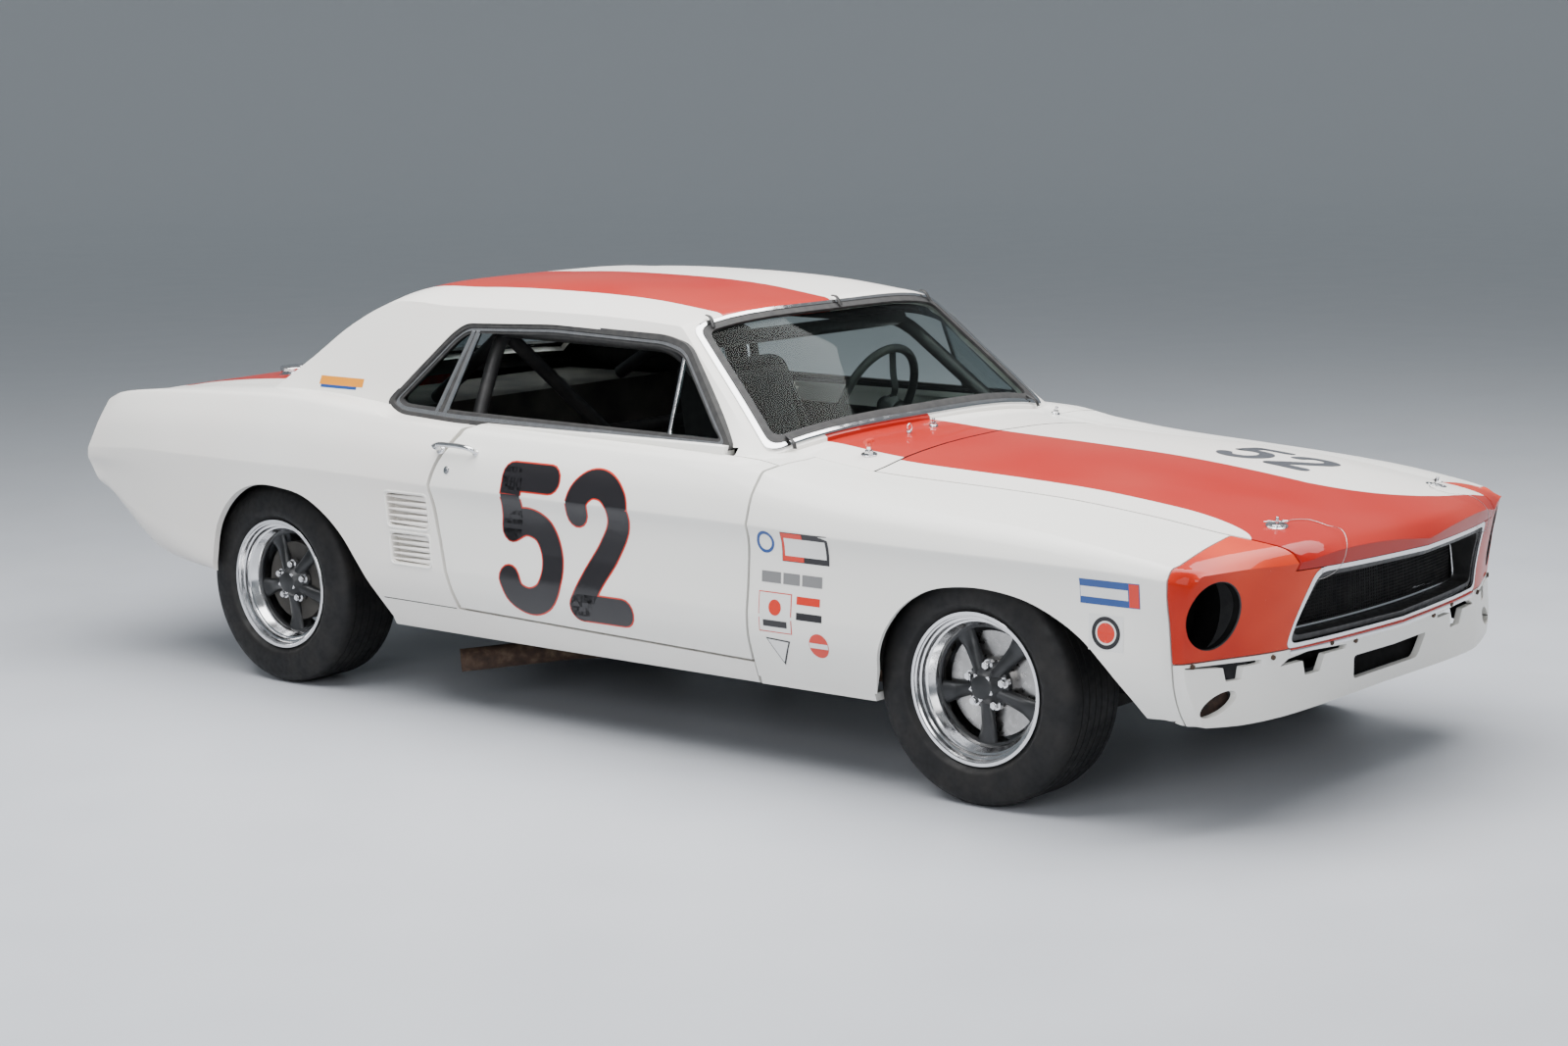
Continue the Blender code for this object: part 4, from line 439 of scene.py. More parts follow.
def skin_rows():
    """Rows of half a section: front end, x guide, z guide, and how a wall thickness moves it inward."""
    rows = []
    for fraction, front in zip(TOP_FRACTIONS, (-0.886, -0.872, -0.845)):
        x, z = crown_row(fraction)
        rows.append((front, x, z, (0.0, -1.0)))
    rows.append((-0.80, RAIL_X, RAIL_Z, (0.0, -1.0)))
    rows.append((-0.745, lambda s: (RAIL_X(s) + RIDGE_X(s)) / 2, SHOULDER_Z, (-0.3, -1.0)))
    rows.append((-0.70, RIDGE_X, RIDGE_Z, (-0.85, -0.85)))
    rows.append((-0.685, lambda s: RIDGE_X(s) * 0.36 + CREASE_X(s) * 0.64,
                 lambda s: (RIDGE_Z(s) + CREASE_Z(s)) / 2 + 0.010, (-1.0, -0.45)))
    rows.append((-0.672, CREASE_X, CREASE_Z, (-1.0, -0.15)))
    rows.append((-0.662, lambda s: CREASE_X(s) - RECESS(s), lambda s: CREASE_Z(s) - 0.035, (-1.0, 0.0)))
    rows.append((-0.648, lambda s: (CREASE_X(s) + LOW_X(s)) / 2 - RECESS(s),
                 lambda s: (CREASE_Z(s) + LOW_Z(s)) / 2, (-1.0, 0.0)))
    rows.append((-0.640, LOW_X, LOW_Z, (-1.0, 0.0)))
    rows.append((-0.648, lambda s: LOW_X(s) * 0.6 + TUCK_X(s) * 0.4 + 0.004,
                 lambda s: LOW_Z(s) * 0.5 + TUCK_Z(s) * 0.5, (-1.0, 0.0)))
    rows.append((-0.660, TUCK_X, TUCK_Z, (-1.0, 0.0)))
    rows.append((-0.670, SILL_X, SILL_Z, (-1.0, "bottom")))
    fronts = (-0.705, -0.735, -0.748, -0.748, -0.745)
    for front, fraction in zip(fronts, (0.86, 0.72, 0.50, 0.26, 0.0)):
        rows.append((front, lambda s, f=fraction: SILL_X(s) * f,
                     lambda s: SILL_Z(s) - 0.008, (0.0, "bottom")))
    return rows


def row_points(row, wall):
    """All the points of one row, moved inward by a wall thickness."""
    front, x_of, z_of, (in_x, in_z) = row
    end = TAIL(z_of(3.62))
    shared = LAST_SHARED - FIRST_SHARED
    stations = [front + (FIRST_SHARED - front) * (k / FRONT_COLUMNS) ** 1.15 for k in range(FRONT_COLUMNS)]
    stations += [FIRST_SHARED + shared * k / SHARED_COLUMNS for k in range(SHARED_COLUMNS + 1)]
    stations += [LAST_SHARED + (end - LAST_SHARED) * (k + 1) / TAIL_COLUMNS for k in range(TAIL_COLUMNS)]
    points = []
    for s in stations:
        x, z = x_of(s), z_of(s)
        lift = in_z * wall if in_z != "bottom" else (OPEN_BOTTOM(s) if wall else 0.0)
        shift = in_x * wall if x > wall else 0.0
        points.append(Vector((x + shift, s, z + lift)))
    if wall:
        for k in range(FRONT_COLUMNS):
            points[k].y += wall * (1 - k / FRONT_COLUMNS)
        for k in range(TAIL_COLUMNS):
            points[k - TAIL_COLUMNS].y -= wall * (k + 1) / TAIL_COLUMNS
    return points


def smooth_run(points, split):
    """Points between two creases, joined by a curve that passes through them."""
    steps = [max((b - a).length, 1e-6) for a, b in zip(points, points[1:])]
    slopes = [(b - a) / h for a, b, h in zip(points, points[1:], steps)]
    tangents = [slopes[0]]
    for i in range(1, len(slopes)):
        tangents.append((slopes[i - 1] * steps[i] + slopes[i] * steps[i - 1]) / (steps[i - 1] + steps[i]))
    tangents.append(slopes[-1])
    made = [points[0]]
    for i, h in enumerate(steps):
        for k in range(1, split + 1):
            t = k / split
            made.append(points[i] * ((1 + 2 * t) * (1 - t) ** 2) + tangents[i] * (h * t * (1 - t) ** 2)
                        + points[i + 1] * (t * t * (3 - 2 * t)) + tangents[i + 1] * (h * t * t * (t - 1)))
    return made


def rounded_line(points, breaks, rounding, split):
    """A section through its points, smooth between its breaks and rounded at each inner one."""
    made = []
    for a, b in zip(breaks, breaks[1:]):
        run = smooth_run(points[a:b + 1], split)
        if made:
            corner = made.pop()
            back, ahead = made[-1] - corner, run[1] - corner
            reach = min(rounding[a], 0.45 * back.length, 0.45 * ahead.length)
            before = corner + back.normalized() * reach
            after = corner + ahead.normalized() * reach
            made += [before, (before + corner * 2 + after) / 4, after]
            run = run[1:]
        made += run
    return made


def cap(bm, grid_loop, top, side):
    """Closes an end with a grid blended between its top, side, bottom and centre line."""
    bottom = list(reversed(grid_loop[top + side:]))
    over = grid_loop[:top + 1]
    flank = grid_loop[top:top + side + 1]
    grid = []
    for i in range(top + 1):
        line = []
        for j in range(side + 1):
            u, v = i / top, j / side
            if j == 0 or j == side:
                line.append(bottom[i] if j else over[i])
                continue
            if i == top:
                line.append(flank[j])
                continue
            across = over[0].co.lerp(bottom[0].co, v).lerp(flank[j].co, u)
            down = over[i].co.lerp(bottom[i].co, v)
            corner_top = over[0].co.lerp(over[top].co, u)
            corner_bottom = bottom[0].co.lerp(bottom[top].co, u)
            line.append(bm.verts.new(across + down - corner_top.lerp(corner_bottom, v)))
        grid.append(line)
    for one, two in zip(grid, grid[1:]):
        for j in range(side):
            split_face(bm, (one[j], two[j], two[j + 1], one[j + 1]))


def split_face(bm, corners):
    a, b, c, d = corners
    bm.faces.new((a, b, c))
    bm.faces.new((a, c, d))


def grid_faces(bm, grid):
    for one, two in zip(grid, grid[1:]):
        for j in range(len(one) - 1):
            split_face(bm, (one[j], one[j + 1], two[j + 1], two[j]))


def mirrored(bm):
    """Adds the other half of a half that is open at the middle plane."""
    copy = bmesh.ops.duplicate(bm, geom=bm.verts[:] + bm.edges[:] + bm.faces[:])
    verts = [g for g in copy["geom"] if isinstance(g, bmesh.types.BMVert)]
    faces = [g for g in copy["geom"] if isinstance(g, bmesh.types.BMFace)]
    bmesh.ops.scale(bm, vec=(-1, 1, 1), verts=verts)
    bmesh.ops.reverse_faces(bm, faces=faces)


HULLS = {}


def hull_mesh(wall):
    rows = [row_points(row, wall) for row in skin_rows()]
    columns = [rounded_line(list(column), ROW_BREAKS, ROW_ROUNDING, ROW_SPLIT) for column in zip(*rows)]
    bm = bmesh.new()
    grid = [[bm.verts.new(spot(*p)) for p in row] for row in zip(*columns)]
    grid_faces(bm, grid)
    top = ROW_BREAKS[1] * ROW_SPLIT + 1
    side = (ROW_BREAKS[4] - ROW_BREAKS[1]) * ROW_SPLIT + 2 * (len(ROW_BREAKS) - 3)
    for column in (0, -1):
        cap(bm, [row[column] for row in grid], top, side)
    mirrored(bm)
    return finish_mesh(bm, "hull")


def hull(name, wall=0.0):
    """The closed lower body, or the space inside it when it has a wall."""
    if wall not in HULLS:
        HULLS[wall] = hull_mesh(wall)
    return new_object(name, HULLS[wall].copy())


# The greenhouse: windscreen, roof, rear window and side windows as one form

PILLAR = ((0.712, 0.812, 0.852), (0.672, 0.945, 0.975), (0.634, 1.075, 1.090), (0.598, 1.200, 1.200),
          (0.600, 1.420, 1.214), (0.604, 1.800, 1.221), (0.604, 2.130, 1.220), (0.604, 2.420, 1.216),
          (0.620, 2.575, 1.146), (0.655, 2.735, 1.033), (0.698, 2.875, 0.932))
CENTRE = ((0.755, 0.905), (0.885, 1.032), (1.015, 1.148), (1.138, 1.243), (1.380, ROOF_HEIGHT - 0.018),
          (1.780, ROOF_HEIGHT), (2.140, 1.288), (2.400, 1.266), (2.600, 1.172), (2.765, 1.064),
          (BACKLIGHT_BASE, 0.948))
HEADER = 3
REAR_HEADER = 7
LAST_COLUMN = 10
FOOT_DEPTH = 0.62
ROOF_SQUARE = 4.6
GLASS_SQUARE = 3.0
GLASS_BASE_X = 0.748
GLASS_BASE_Z = 0.862
ROOF_SPLIT = 6
ACROSS_COUNT = 22
ROOF_ROUNDING = {HEADER: 0.014}


def roof_table(rows, split):
    """A greenhouse table with points added along a smooth curve, creased where the glass meets the roof."""
    return rounded_line([Vector(r) if len(r) == 3 else Vector((0.0, *r)) for r in rows],
                        (0, HEADER, LAST_COLUMN), ROOF_ROUNDING, split)


def soft_power(place):
    """How square the section is at a place counted in table columns."""
    if HEADER <= place <= REAR_HEADER:
        return ROOF_SQUARE
    outside = min(1.0, HEADER - place if place < HEADER else place - REAR_HEADER)
    return ROOF_SQUARE + (GLASS_SQUARE - ROOF_SQUARE) * outside


PILLAR_LINE = roof_table(PILLAR, ROOF_SPLIT)
CENTRE_LINE = roof_table(CENTRE, ROOF_SPLIT)


def line_place(k):
    """The table column, as a fraction, of point k on a line that has one rounded crease."""
    crease = HEADER * ROOF_SPLIT + 1
    if k < crease:
        return min(k, HEADER * ROOF_SPLIT) / ROOF_SPLIT
    return max(k - 2, HEADER * ROOF_SPLIT) / ROOF_SPLIT


def roof_point(k, fraction):
    """A point on the greenhouse between its centre line and its pillar line."""
    pillar, centre = PILLAR_LINE[k], CENTRE_LINE[k]
    soft = fraction ** soft_power(line_place(k))
    bow = fraction ** 2
    return Vector((pillar.x * fraction, centre.y + (pillar.y - centre.y) * bow,
                   centre.z + (pillar.z - centre.z) * soft))


def greenhouse_column(k, wall):
    place = line_place(k)
    forward = 1 if place < HEADER + 2 else -1
    on_roof = HEADER < place < REAR_HEADER
    slope = 0.0 if on_roof else 0.75
    points = [roof_point(k, 1 - (1 - i / ACROSS_COUNT) ** 1.35) for i in range(ACROSS_COUNT + 1)]
    pillar = PILLAR_LINE[k]
    belt_z = min(GLASS_BASE_Z, pillar.z - 0.022)
    belt_x = GLASS_BASE_X - (GLASS_BASE_Z - belt_z) * 0.3
    middle = Vector(((pillar.x + belt_x) / 2 + 0.004, pillar.y, (pillar.z + belt_z) / 2))
    side = smooth_run([pillar, middle, Vector((belt_x, pillar.y, belt_z))], 5)[1:]
    edge = len(points) - 1
    points += side
    points.append(Vector((belt_x, pillar.y, FOOT_DEPTH)))
    if wall:
        for i, p in enumerate(points):
            if i <= edge:
                p.y += forward * slope * wall
                p.z -= wall if on_roof else wall * 0.75
            else:
                p.y += forward * slope * wall
            if i >= edge - 1:
                p.x -= wall * (0.6 if i <= edge else 1.0)
    return points


def greenhouse(name, wall=0.0):
    """The closed greenhouse with its foot inside the lower body, or the space inside it."""
    columns = [greenhouse_column(k, wall) for k in range(len(PILLAR_LINE))]
    for end in (0, -1):
        low = [Vector((p.x, p.y, min(p.z, FOOT_DEPTH + 0.06))) for p in columns[end]]
        low[-1].z = FOOT_DEPTH
        columns.insert(0 if end == 0 else len(columns), low)
    bm = bmesh.new()
    grid = []
    for column in columns:
        column = column + [Vector((0.0, column[0].y, FOOT_DEPTH))]
        grid.append([bm.verts.new(spot(*p)) for p in column])
    grid_faces(bm, grid)
    for line in (grid[0], grid[-1]):
        bm.faces.new(line)
    bmesh.ops.triangulate(bm, faces=[f for f in bm.faces if len(f.verts) > 4])
    mirrored(bm)
    return new_object(name, finish_mesh(bm, name))


def coarse_across(column, fraction):
    """The same greenhouse point as in the solids, for things that sit in the window openings."""
    px, ps, pz = PILLAR[column]
    cs, cz = CENTRE[column]
    square = ROOF_SQUARE if HEADER <= column <= REAR_HEADER else GLASS_SQUARE
    return Vector((px * fraction, cs + (ps - cs) * fraction ** 2, cz + (pz - cz) * fraction ** square))


def pane_point(start, end, u, v, lift):
    """A point on the windscreen or rear window: u across, v from the base to the header."""
    names = list(range(start, end + 1)) if start < end else list(range(start, end - 1, -1))
    run = smooth_run([coarse_across(i, abs(u)) for i in names], 8)
    place = v * (len(run) - 1)
    i = min(int(place), len(run) - 2)
    point = run[i].lerp(run[i + 1], place - i)
    if u < 0:
        point.x = -point.x
    outward = Vector((0.0, -0.62 if start < end else 0.62, 0.78))
    return spot(*point) + outward * lift


def pane(name, start, end, edge, v_from, v_to, lift_out, lift_in):
    """A curved sheet that follows the windscreen or rear window, between two lifts off the skin."""
    steps, rises = 32, 16
    bm = bmesh.new()
    layers = []
    for lift in (lift_in, lift_out):
        layers.append([[bm.verts.new(pane_point(start, end, edge * (2 * i / steps - 1),
                                                v_from + (v_to - v_from) * k / rises, lift))
                        for i in range(steps + 1)] for k in range(rises + 1)])
    for sheet in layers:
        for j in range(rises):
            for i in range(steps):
                bm.faces.new((sheet[j][i], sheet[j][i + 1], sheet[j + 1][i + 1], sheet[j + 1][i]))
    low, high = layers
    for j in range(rises):
        for i in (0, steps):
            bm.faces.new((low[j][i], low[j + 1][i], high[j + 1][i], high[j][i]))
    for i in range(steps):
        for j in (0, rises):
            bm.faces.new((low[j][i], low[j][i + 1], high[j][i + 1], high[j][i]))
    return new_object(name, finish_mesh(bm, name))


# Outlines of openings and panels, (station, z) seen from the side

DOOR_OUTLINE = [(DOOR_FRONT, 1.0), (DOOR_FRONT, 0.80), (DOOR_FRONT + 0.004, 0.50),
                (DOOR_FRONT + 0.010, 0.316), (1.872, 0.343), (1.905, 0.455), (1.952, 0.640), (1.966, 0.712),
                (1.942, 0.790), (1.893, 0.868), (1.885, 1.0)]
WINDOW_OUTLINE = [(0.892, 0.877), (0.960, 0.950), (1.150, 1.150), (1.245, 1.172), (1.700, WINDOW_TOP),
                  (2.060, 1.173), (2.110, 1.140), (2.315, 0.925), (2.245, 0.893), (2.000, 0.882)]
FRONT_ARCH = [(0.312, 0.10), (0.310, 0.250), (0.296, 0.300), (0.284, 0.340), (0.272, 0.390), (0.242, 0.460),
              (0.196, 0.522), (0.115, 0.575),
              (0.000, 0.600), (-0.110, 0.600), (-0.210, 0.583), (-0.300, 0.548), (-0.385, 0.497),
              (-0.460, 0.425), (-0.515, 0.350), (-0.545, 0.280), (-0.555, 0.10)]
REAR_ARCH = [(3.000, 0.10), (3.000, 0.372), (2.966, 0.503), (2.895, 0.590), (2.830, 0.630), (2.740, 0.652),
             (2.640, 0.650), (2.539, 0.633), (2.450, 0.590), (2.365, 0.525), (2.295, 0.445), (2.240, 0.368),
             (2.185, 0.283), (2.165, 0.10)]


def flowing(outline, split=6):
    """An open outline made into a smooth run through its points."""
    run = smooth_run([Vector((a, b, 0.0)) for a, b in outline], split)
    return [(p.x, p.y) for p in run]


def arch_outline(outline):
    """An arch's two straight ends and the smooth curve between them."""
    return outline[:1] + flowing(outline[1:-1], 5) + outline[-1:]


def door_outline():
    rear = flowing(DOOR_OUTLINE[5:10], 4)
    return DOOR_OUTLINE[:5] + rear + DOOR_OUTLINE[10:]


HOOD_EDGE = guide((-0.90, 0.470), (-0.855, 0.505), (-0.80, 0.534), (-0.72, 0.555), (-0.62, 0.568),
                  (0.10, 0.590), (0.52, COWL_HALF))


def hood_outline(gap):
    """The hood's outline seen from above, with its gap on the sides and at the rear."""
    stations = [-0.95 + 0.02 * k for k in range(20)] + [-0.50 + 0.10 * k for k in range(10)] + [HOOD_REAR]
    right = [(-HOOD_EDGE(s) - gap, s + (gap if s == HOOD_REAR else 0)) for s in stations]
    left = [(-x, s) for x, s in reversed(right)]
    return right + left


def trunk_outline(gap):
    corners = [(-0.600, TRUNK_FRONT), (-0.585, TRUNK_REAR), (0.585, TRUNK_REAR), (0.600, TRUNK_FRONT)]
    return offset_outline(round_corners(corners, 0.07, 8), gap)


def door_prism(name, side, gap, inner_x, top):
    """The door's outline between its inner face and outside the car, pulled in behind to swing clear."""
    outline = offset_outline([(s, min(z, top)) for s, z in door_outline()], gap)
    relief = SWING_RELIEF if gap < 0 else 0.0
    inner = [(s - relief if s > 1.5 else s, z) for s, z in outline]
    return prism(name, [spot(side * OUTSIDE_X, s, z) for s, z in outline],
                 [spot(side * inner_x, s, z) for s, z in inner])


def fender_outline(gap):
    rear = DOOR_FRONT - MOVING_GAP / 2 + gap
    return [(SEAM_FRONT - gap, 0.0), (rear + 0.010, 0.0), (rear + 0.010, 0.316), (rear + 0.004, 0.50),
            (rear, 0.80), (rear, 1.0), (SEAM_FRONT - gap, 1.0)]


# Finishes

class Finish:
    """A Principled material with its nodes at hand."""

    def __init__(self, name, colour, roughness=0.5, metallic=0.0, **sockets):
        self.material = bpy.data.materials.new(name)
        self.material.use_nodes = True
        self.tree = self.material.node_tree
        self.shader = self.tree.nodes["Principled BSDF"]
        self.shader.inputs["Base Color"].default_value = (*colour, 1.0)
        self.shader.inputs["Roughness"].default_value = roughness
        self.shader.inputs["Metallic"].default_value = metallic
        for key, value in sockets.items():
            self.shader.inputs[key.replace("_", " ")].default_value = value
        self.place = self.tree.nodes.new("ShaderNodeTexCoord").outputs["Object"]

    def node(self, kind, **settings):
        made = self.tree.nodes.new("ShaderNode" + kind)
        for key, value in settings.items():
            setattr(made, key, value)
        return made

    def link(self, out, into):
        self.tree.links.new(out, into)

    def noise(self, scale, detail=3.0, stretch=(1, 1, 1)):
        mapping = self.node("Mapping")
        mapping.inputs["Scale"].default_value = stretch
        self.link(self.place, mapping.inputs["Vector"])
        made = self.node("TexNoise")
        made.inputs["Scale"].default_value = scale
        made.inputs["Detail"].default_value = detail
        self.link(mapping.outputs["Vector"], made.inputs["Vector"])
        return made.outputs["Fac"]

    def ramp(self, value, *stops):
        """Maps a value through (position, grey or colour) stops."""
        made = self.node("ValToRGB")
        ramp = made.color_ramp
        while len(ramp.elements) < len(stops):
            ramp.elements.new(0.5)
        for element, (position, colour) in zip(ramp.elements, stops):
            element.position = position
            element.color = (*colour, 1.0) if isinstance(colour, tuple) else (colour, colour, colour, 1.0)
        self.link(value, made.inputs["Fac"])
        return made.outputs["Color"]

    def math(self, operation, *values):
        made = self.node("Math", operation=operation)
        for socket, value in zip(made.inputs, values):
            if isinstance(value, (int, float)):
                socket.default_value = value
            else:
                self.link(value, socket)
        return made.outputs[0]

    def axis(self, name):
        if not hasattr(self, "axes"):
            split = self.node("SeparateXYZ")
            self.link(self.place, split.inputs[0])
            self.axes = {"x": split.outputs[0], "y": split.outputs[1], "z": split.outputs[2]}
        return self.axes[name]

    def mix(self, factor, a, b):
        """Mixes two colours, each a tuple or an output, by a factor output."""
        made = self.node("Mix", data_type="RGBA")
        self.link(factor, made.inputs["Factor"])
        for name, value in (("A", a), ("B", b)):
            socket = [s for s in made.inputs if s.name == name and s.type == "RGBA"][0]
            if isinstance(value, tuple):
                socket.default_value = (*value, 1.0)
            else:
                self.link(value, socket)
        return [o for o in made.outputs if o.type == "RGBA"][0]

    def paint(self, output):
        self.link(output, self.shader.inputs["Base Color"])

    def rough(self, output):
        self.link(output, self.shader.inputs["Roughness"])

    def bump(self, height, strength, distance=0.001):
        made = self.node("Bump")
        made.inputs["Strength"].default_value = strength
        made.inputs["Distance"].default_value = distance
        self.link(height, made.inputs["Height"])
        self.link(made.outputs["Normal"], self.shader.inputs["Normal"])


WHITE = (0.84, 0.83, 0.79)
ORANGE = (0.36, 0.0030, 0.0)
GRIME = (0.30, 0.26, 0.20)


def coated(name, colour):
    """Gloss paint with a clear coat and a trace of orange peel."""
    finish = Finish(name, colour, 0.50, 0.0, Coat_Weight=0.40, Coat_Roughness=0.03, Specular_IOR_Level=0.08)
    finish.bump(finish.noise(900.0, 2.0), 0.010)
    return finish


def weathered(finish, colour):
    """Adds dust along the sills and fine specks to a paint colour."""
    math_of = finish.math
    low = finish.ramp(math_of("ADD", finish.axis("z"), math_of("MULTIPLY", finish.noise(3.0, 5.0), 0.12)),
                      (0.33, 0.50), (0.48, 0.0))
    speck = finish.ramp(finish.noise(160.0, 6.0), (0.68, 0.0), (0.74, 1.0))
    cloud = finish.ramp(finish.noise(1.6, 2.0), (0.3, 0.0), (0.7, 0.10))
    faded = (0.70, 0.68, 0.62) if isinstance(colour, tuple) else (0.60, 0.30, 0.22)
    tone = finish.mix(cloud, colour, faded)
    dust = math_of("MULTIPLY", low, math_of("ADD", math_of("MULTIPLY", speck, 0.5), 0.22))
    finish.paint(finish.mix(dust, tone, GRIME))
    return finish


def white_paint():
    return weathered(coated("white_paint", WHITE), WHITE)


def orange_paint():
    finish = coated("orange_paint", ORANGE)
    drift = finish.ramp(finish.noise(2.0, 3.0), (0.3, 0.0), (0.7, 1.0))
    shade = finish.mix(drift, ORANGE, (0.70, 0.062, 0.018))
    speck = finish.ramp(finish.noise(210.0, 4.0), (0.76, 0.0), (0.79, 1.0))
    finish.paint(finish.mix(finish.math("MULTIPLY", speck, 0.6), shade, (0.80, 0.72, 0.62)))
    return finish


def inside(finish, axis, low, high):
    """One where the axis value lies between two numbers."""
    value = finish.axis(axis)
    above_low = finish.math("GREATER_THAN", value, low)
    return finish.math("MULTIPLY", above_low, finish.math("LESS_THAN", value, high))


def striped_paint():
    """White with the orange stripe along the car's right half of the top."""
    finish = coated("striped_paint", WHITE)
    stripe = inside(finish, "x", -STRIPE_EDGE + 0.012, 0.0)
    top = finish.math("GREATER_THAN", finish.axis("z"), 0.80)
    mask = finish.math("MULTIPLY", stripe, top)
    return weathered(finish, finish.mix(mask, WHITE, ORANGE))


def ellipse(finish, x_mid, y_mid, half_x, half_y):
    """One inside a plan-view ellipse."""
    a = finish.math("DIVIDE", finish.math("SUBTRACT", finish.axis("x"), x_mid), half_x)
    b = finish.math("DIVIDE", finish.math("SUBTRACT", finish.axis("y"), y_mid), half_y)
    total = finish.math("ADD", finish.math("POWER", finish.math("ABSOLUTE", a), 2.4),
                        finish.math("POWER", finish.math("ABSOLUTE", b), 2.4))
    return finish.math("LESS_THAN", total, 1.0)


def hood_paint():
    """Stripe, nose band, and the rounded front ends of the white fields either side of the stripe."""
    finish = coated("hood_paint", WHITE)
    stripe = inside(finish, "x", -STRIPE_EDGE - 0.012, 0.0)
    y = finish.axis("y")
    ahead = finish.math("LESS_THAN", y, at(-0.40))
    left_field = ellipse(finish, 0.42, at(-0.40), 0.43, 0.375)
    right_field = ellipse(finish, -0.60, at(-0.40), 0.118, 0.285)
    white = finish.math("MAXIMUM", left_field, right_field)
    nose = finish.math("MULTIPLY", ahead, finish.math("SUBTRACT", 1.0, white))
    return weathered(finish, finish.mix(finish.math("MAXIMUM", stripe, nose), WHITE, ORANGE))


def mottled(name, colour, roughness, metallic, cloud, *stops, rough=None, grain=None, **sockets):
    """A finish whose colour drifts between stops; rough is a drift of roughness, grain a fine bump."""
    finish = Finish(name, colour, roughness, metallic, **sockets)
    finish.paint(finish.ramp(finish.noise(*cloud), *stops))
    if rough:
        finish.rough(finish.ramp(finish.noise(*rough[0]), *rough[1:]))
    if grain:
        scale, detail, strength = grain
        finish.bump(finish.noise(scale, detail), strength)
    return finish


def grey(light, cool=0.0):
    return light, light, light + cool


def satin_black(name):
    return mottled(name, grey(0.018, 0.001), 0.45, 0.0, (18.0, 4.0), (0.3, grey(0.012, 0.001)),
                   (0.75, (0.030, 0.029, 0.028)), rough=((60.0,), (0.3, 0.35), (0.7, 0.60)),
                   grain=(700.0, 2.0, 0.05))


def polished(name, colour, low, high):
    return mottled(name, colour, 0.1, 1.0, (9.0, 3.0), (0.3, tuple(c * 0.93 for c in colour)), (0.7, colour),
                   rough=((35.0, 4.0), (0.35, low), (0.75, high)), grain=(300.0, 3.0, 0.003))


def numeral(name, *colour):
    return mottled(name, colour, 0.35, 0.0, (5.0, 4.0), (0.3, tuple(c * 0.9 for c in colour)), (0.7, colour),
                   grain=(900.0, 2.0, 0.010), Coat_Weight=0.5, Coat_Roughness=0.04, Specular_IOR_Level=0.25)


def clear_glass(name, *tint):
    """Thin tinted glass."""
    finish = Finish(name, tint, 0.02, 0.0, Transmission_Weight=1.0, IOR=1.1)
    finish.rough(finish.ramp(finish.noise(4.0, 5.0), (0.45, 0.01), (0.8, 0.06)))
    return finish


def red_lens():
    finish = mottled("red_lens", (0.40, 0.010, 0.008), 0.12, 0.0, (20.0,), (0.3, (0.30, 0.008, 0.006)),
                     (0.7, (0.46, 0.014, 0.010)), Coat_Weight=1.0, Transmission_Weight=0.35)
    wave = finish.node("TexWave", bands_direction="Z")
    wave.inputs["Scale"].default_value = 60.0
    finish.link(finish.place, wave.inputs["Vector"])
    finish.bump(wave.outputs["Fac"], 0.35, 0.002)
    return finish


def vinyl():
    finish = mottled("black_vinyl", grey(0.020, 0.001), 0.55, 0.0, (6.0, 4.0), (0.3, grey(0.015, 0.001)),
                     (0.7, (0.032, 0.031, 0.030)), Sheen_Weight=0.1)
    grain = finish.node("TexVoronoi")
    grain.inputs["Scale"].default_value = 450.0
    finish.link(finish.place, grain.inputs["Vector"])
    finish.bump(grain.outputs["Distance"], 0.35)
    return finish


def ribs(finish, value, frequency):
    """Even waves along a value."""
    return finish.math("SINE", finish.math("MULTIPLY", value, frequency))


def seat_cloth():
    """Black woven seat cover with a fine crossed weave."""
    finish = mottled("seat_cloth", grey(0.020, 0.002), 0.85, 0.0, (12.0, 5.0), (0.3, grey(0.014, 0.002)),
                     (0.7, grey(0.034, 0.002)), Sheen_Weight=0.3)
    threads = 3200.0
    across = ribs(finish, finish.axis("x"), threads)
    along = ribs(finish, finish.math("ADD", finish.axis("y"), finish.axis("z")), threads)
    finish.bump(finish.math("MULTIPLY", across, along), 0.35)
    return finish


def radiator_core():
    """Fine upright fins with painted shade between them, and a painted highlight along the middle of the car.
    """
    finish = Finish("radiator_core", grey(0.02), 0.6, 0.3)
    fins = ribs(finish, finish.axis("x"), 900.0)
    middle = finish.math("SUBTRACT", finish.axis("x"), 0.03)
    # Painted highlight: the fin crests are painted paler near the middle of the car, and the gaps between
    # fins near black as painted shade.
    near = finish.ramp(finish.math("ABSOLUTE", middle), (0.07, 0.075), (0.10, 0.012))
    finish.paint(finish.mix(finish.ramp(fins, (0.45, 0.0), (0.60, 0.75)), near, grey(0.006)))
    finish.bump(fins, 0.4)
    return finish


def webbing():
    """Dark harness webbing with ribs across."""
    finish = mottled("harness_webbing", grey(0.03, 0.002), 0.75, 0.0, (30.0, 4.0), (0.3, grey(0.022, 0.002)),
                     (0.7, grey(0.050, 0.002)), Sheen_Weight=0.2)
    finish.bump(ribs(finish, finish.axis("z"), 2600.0), 0.3)
    return finish


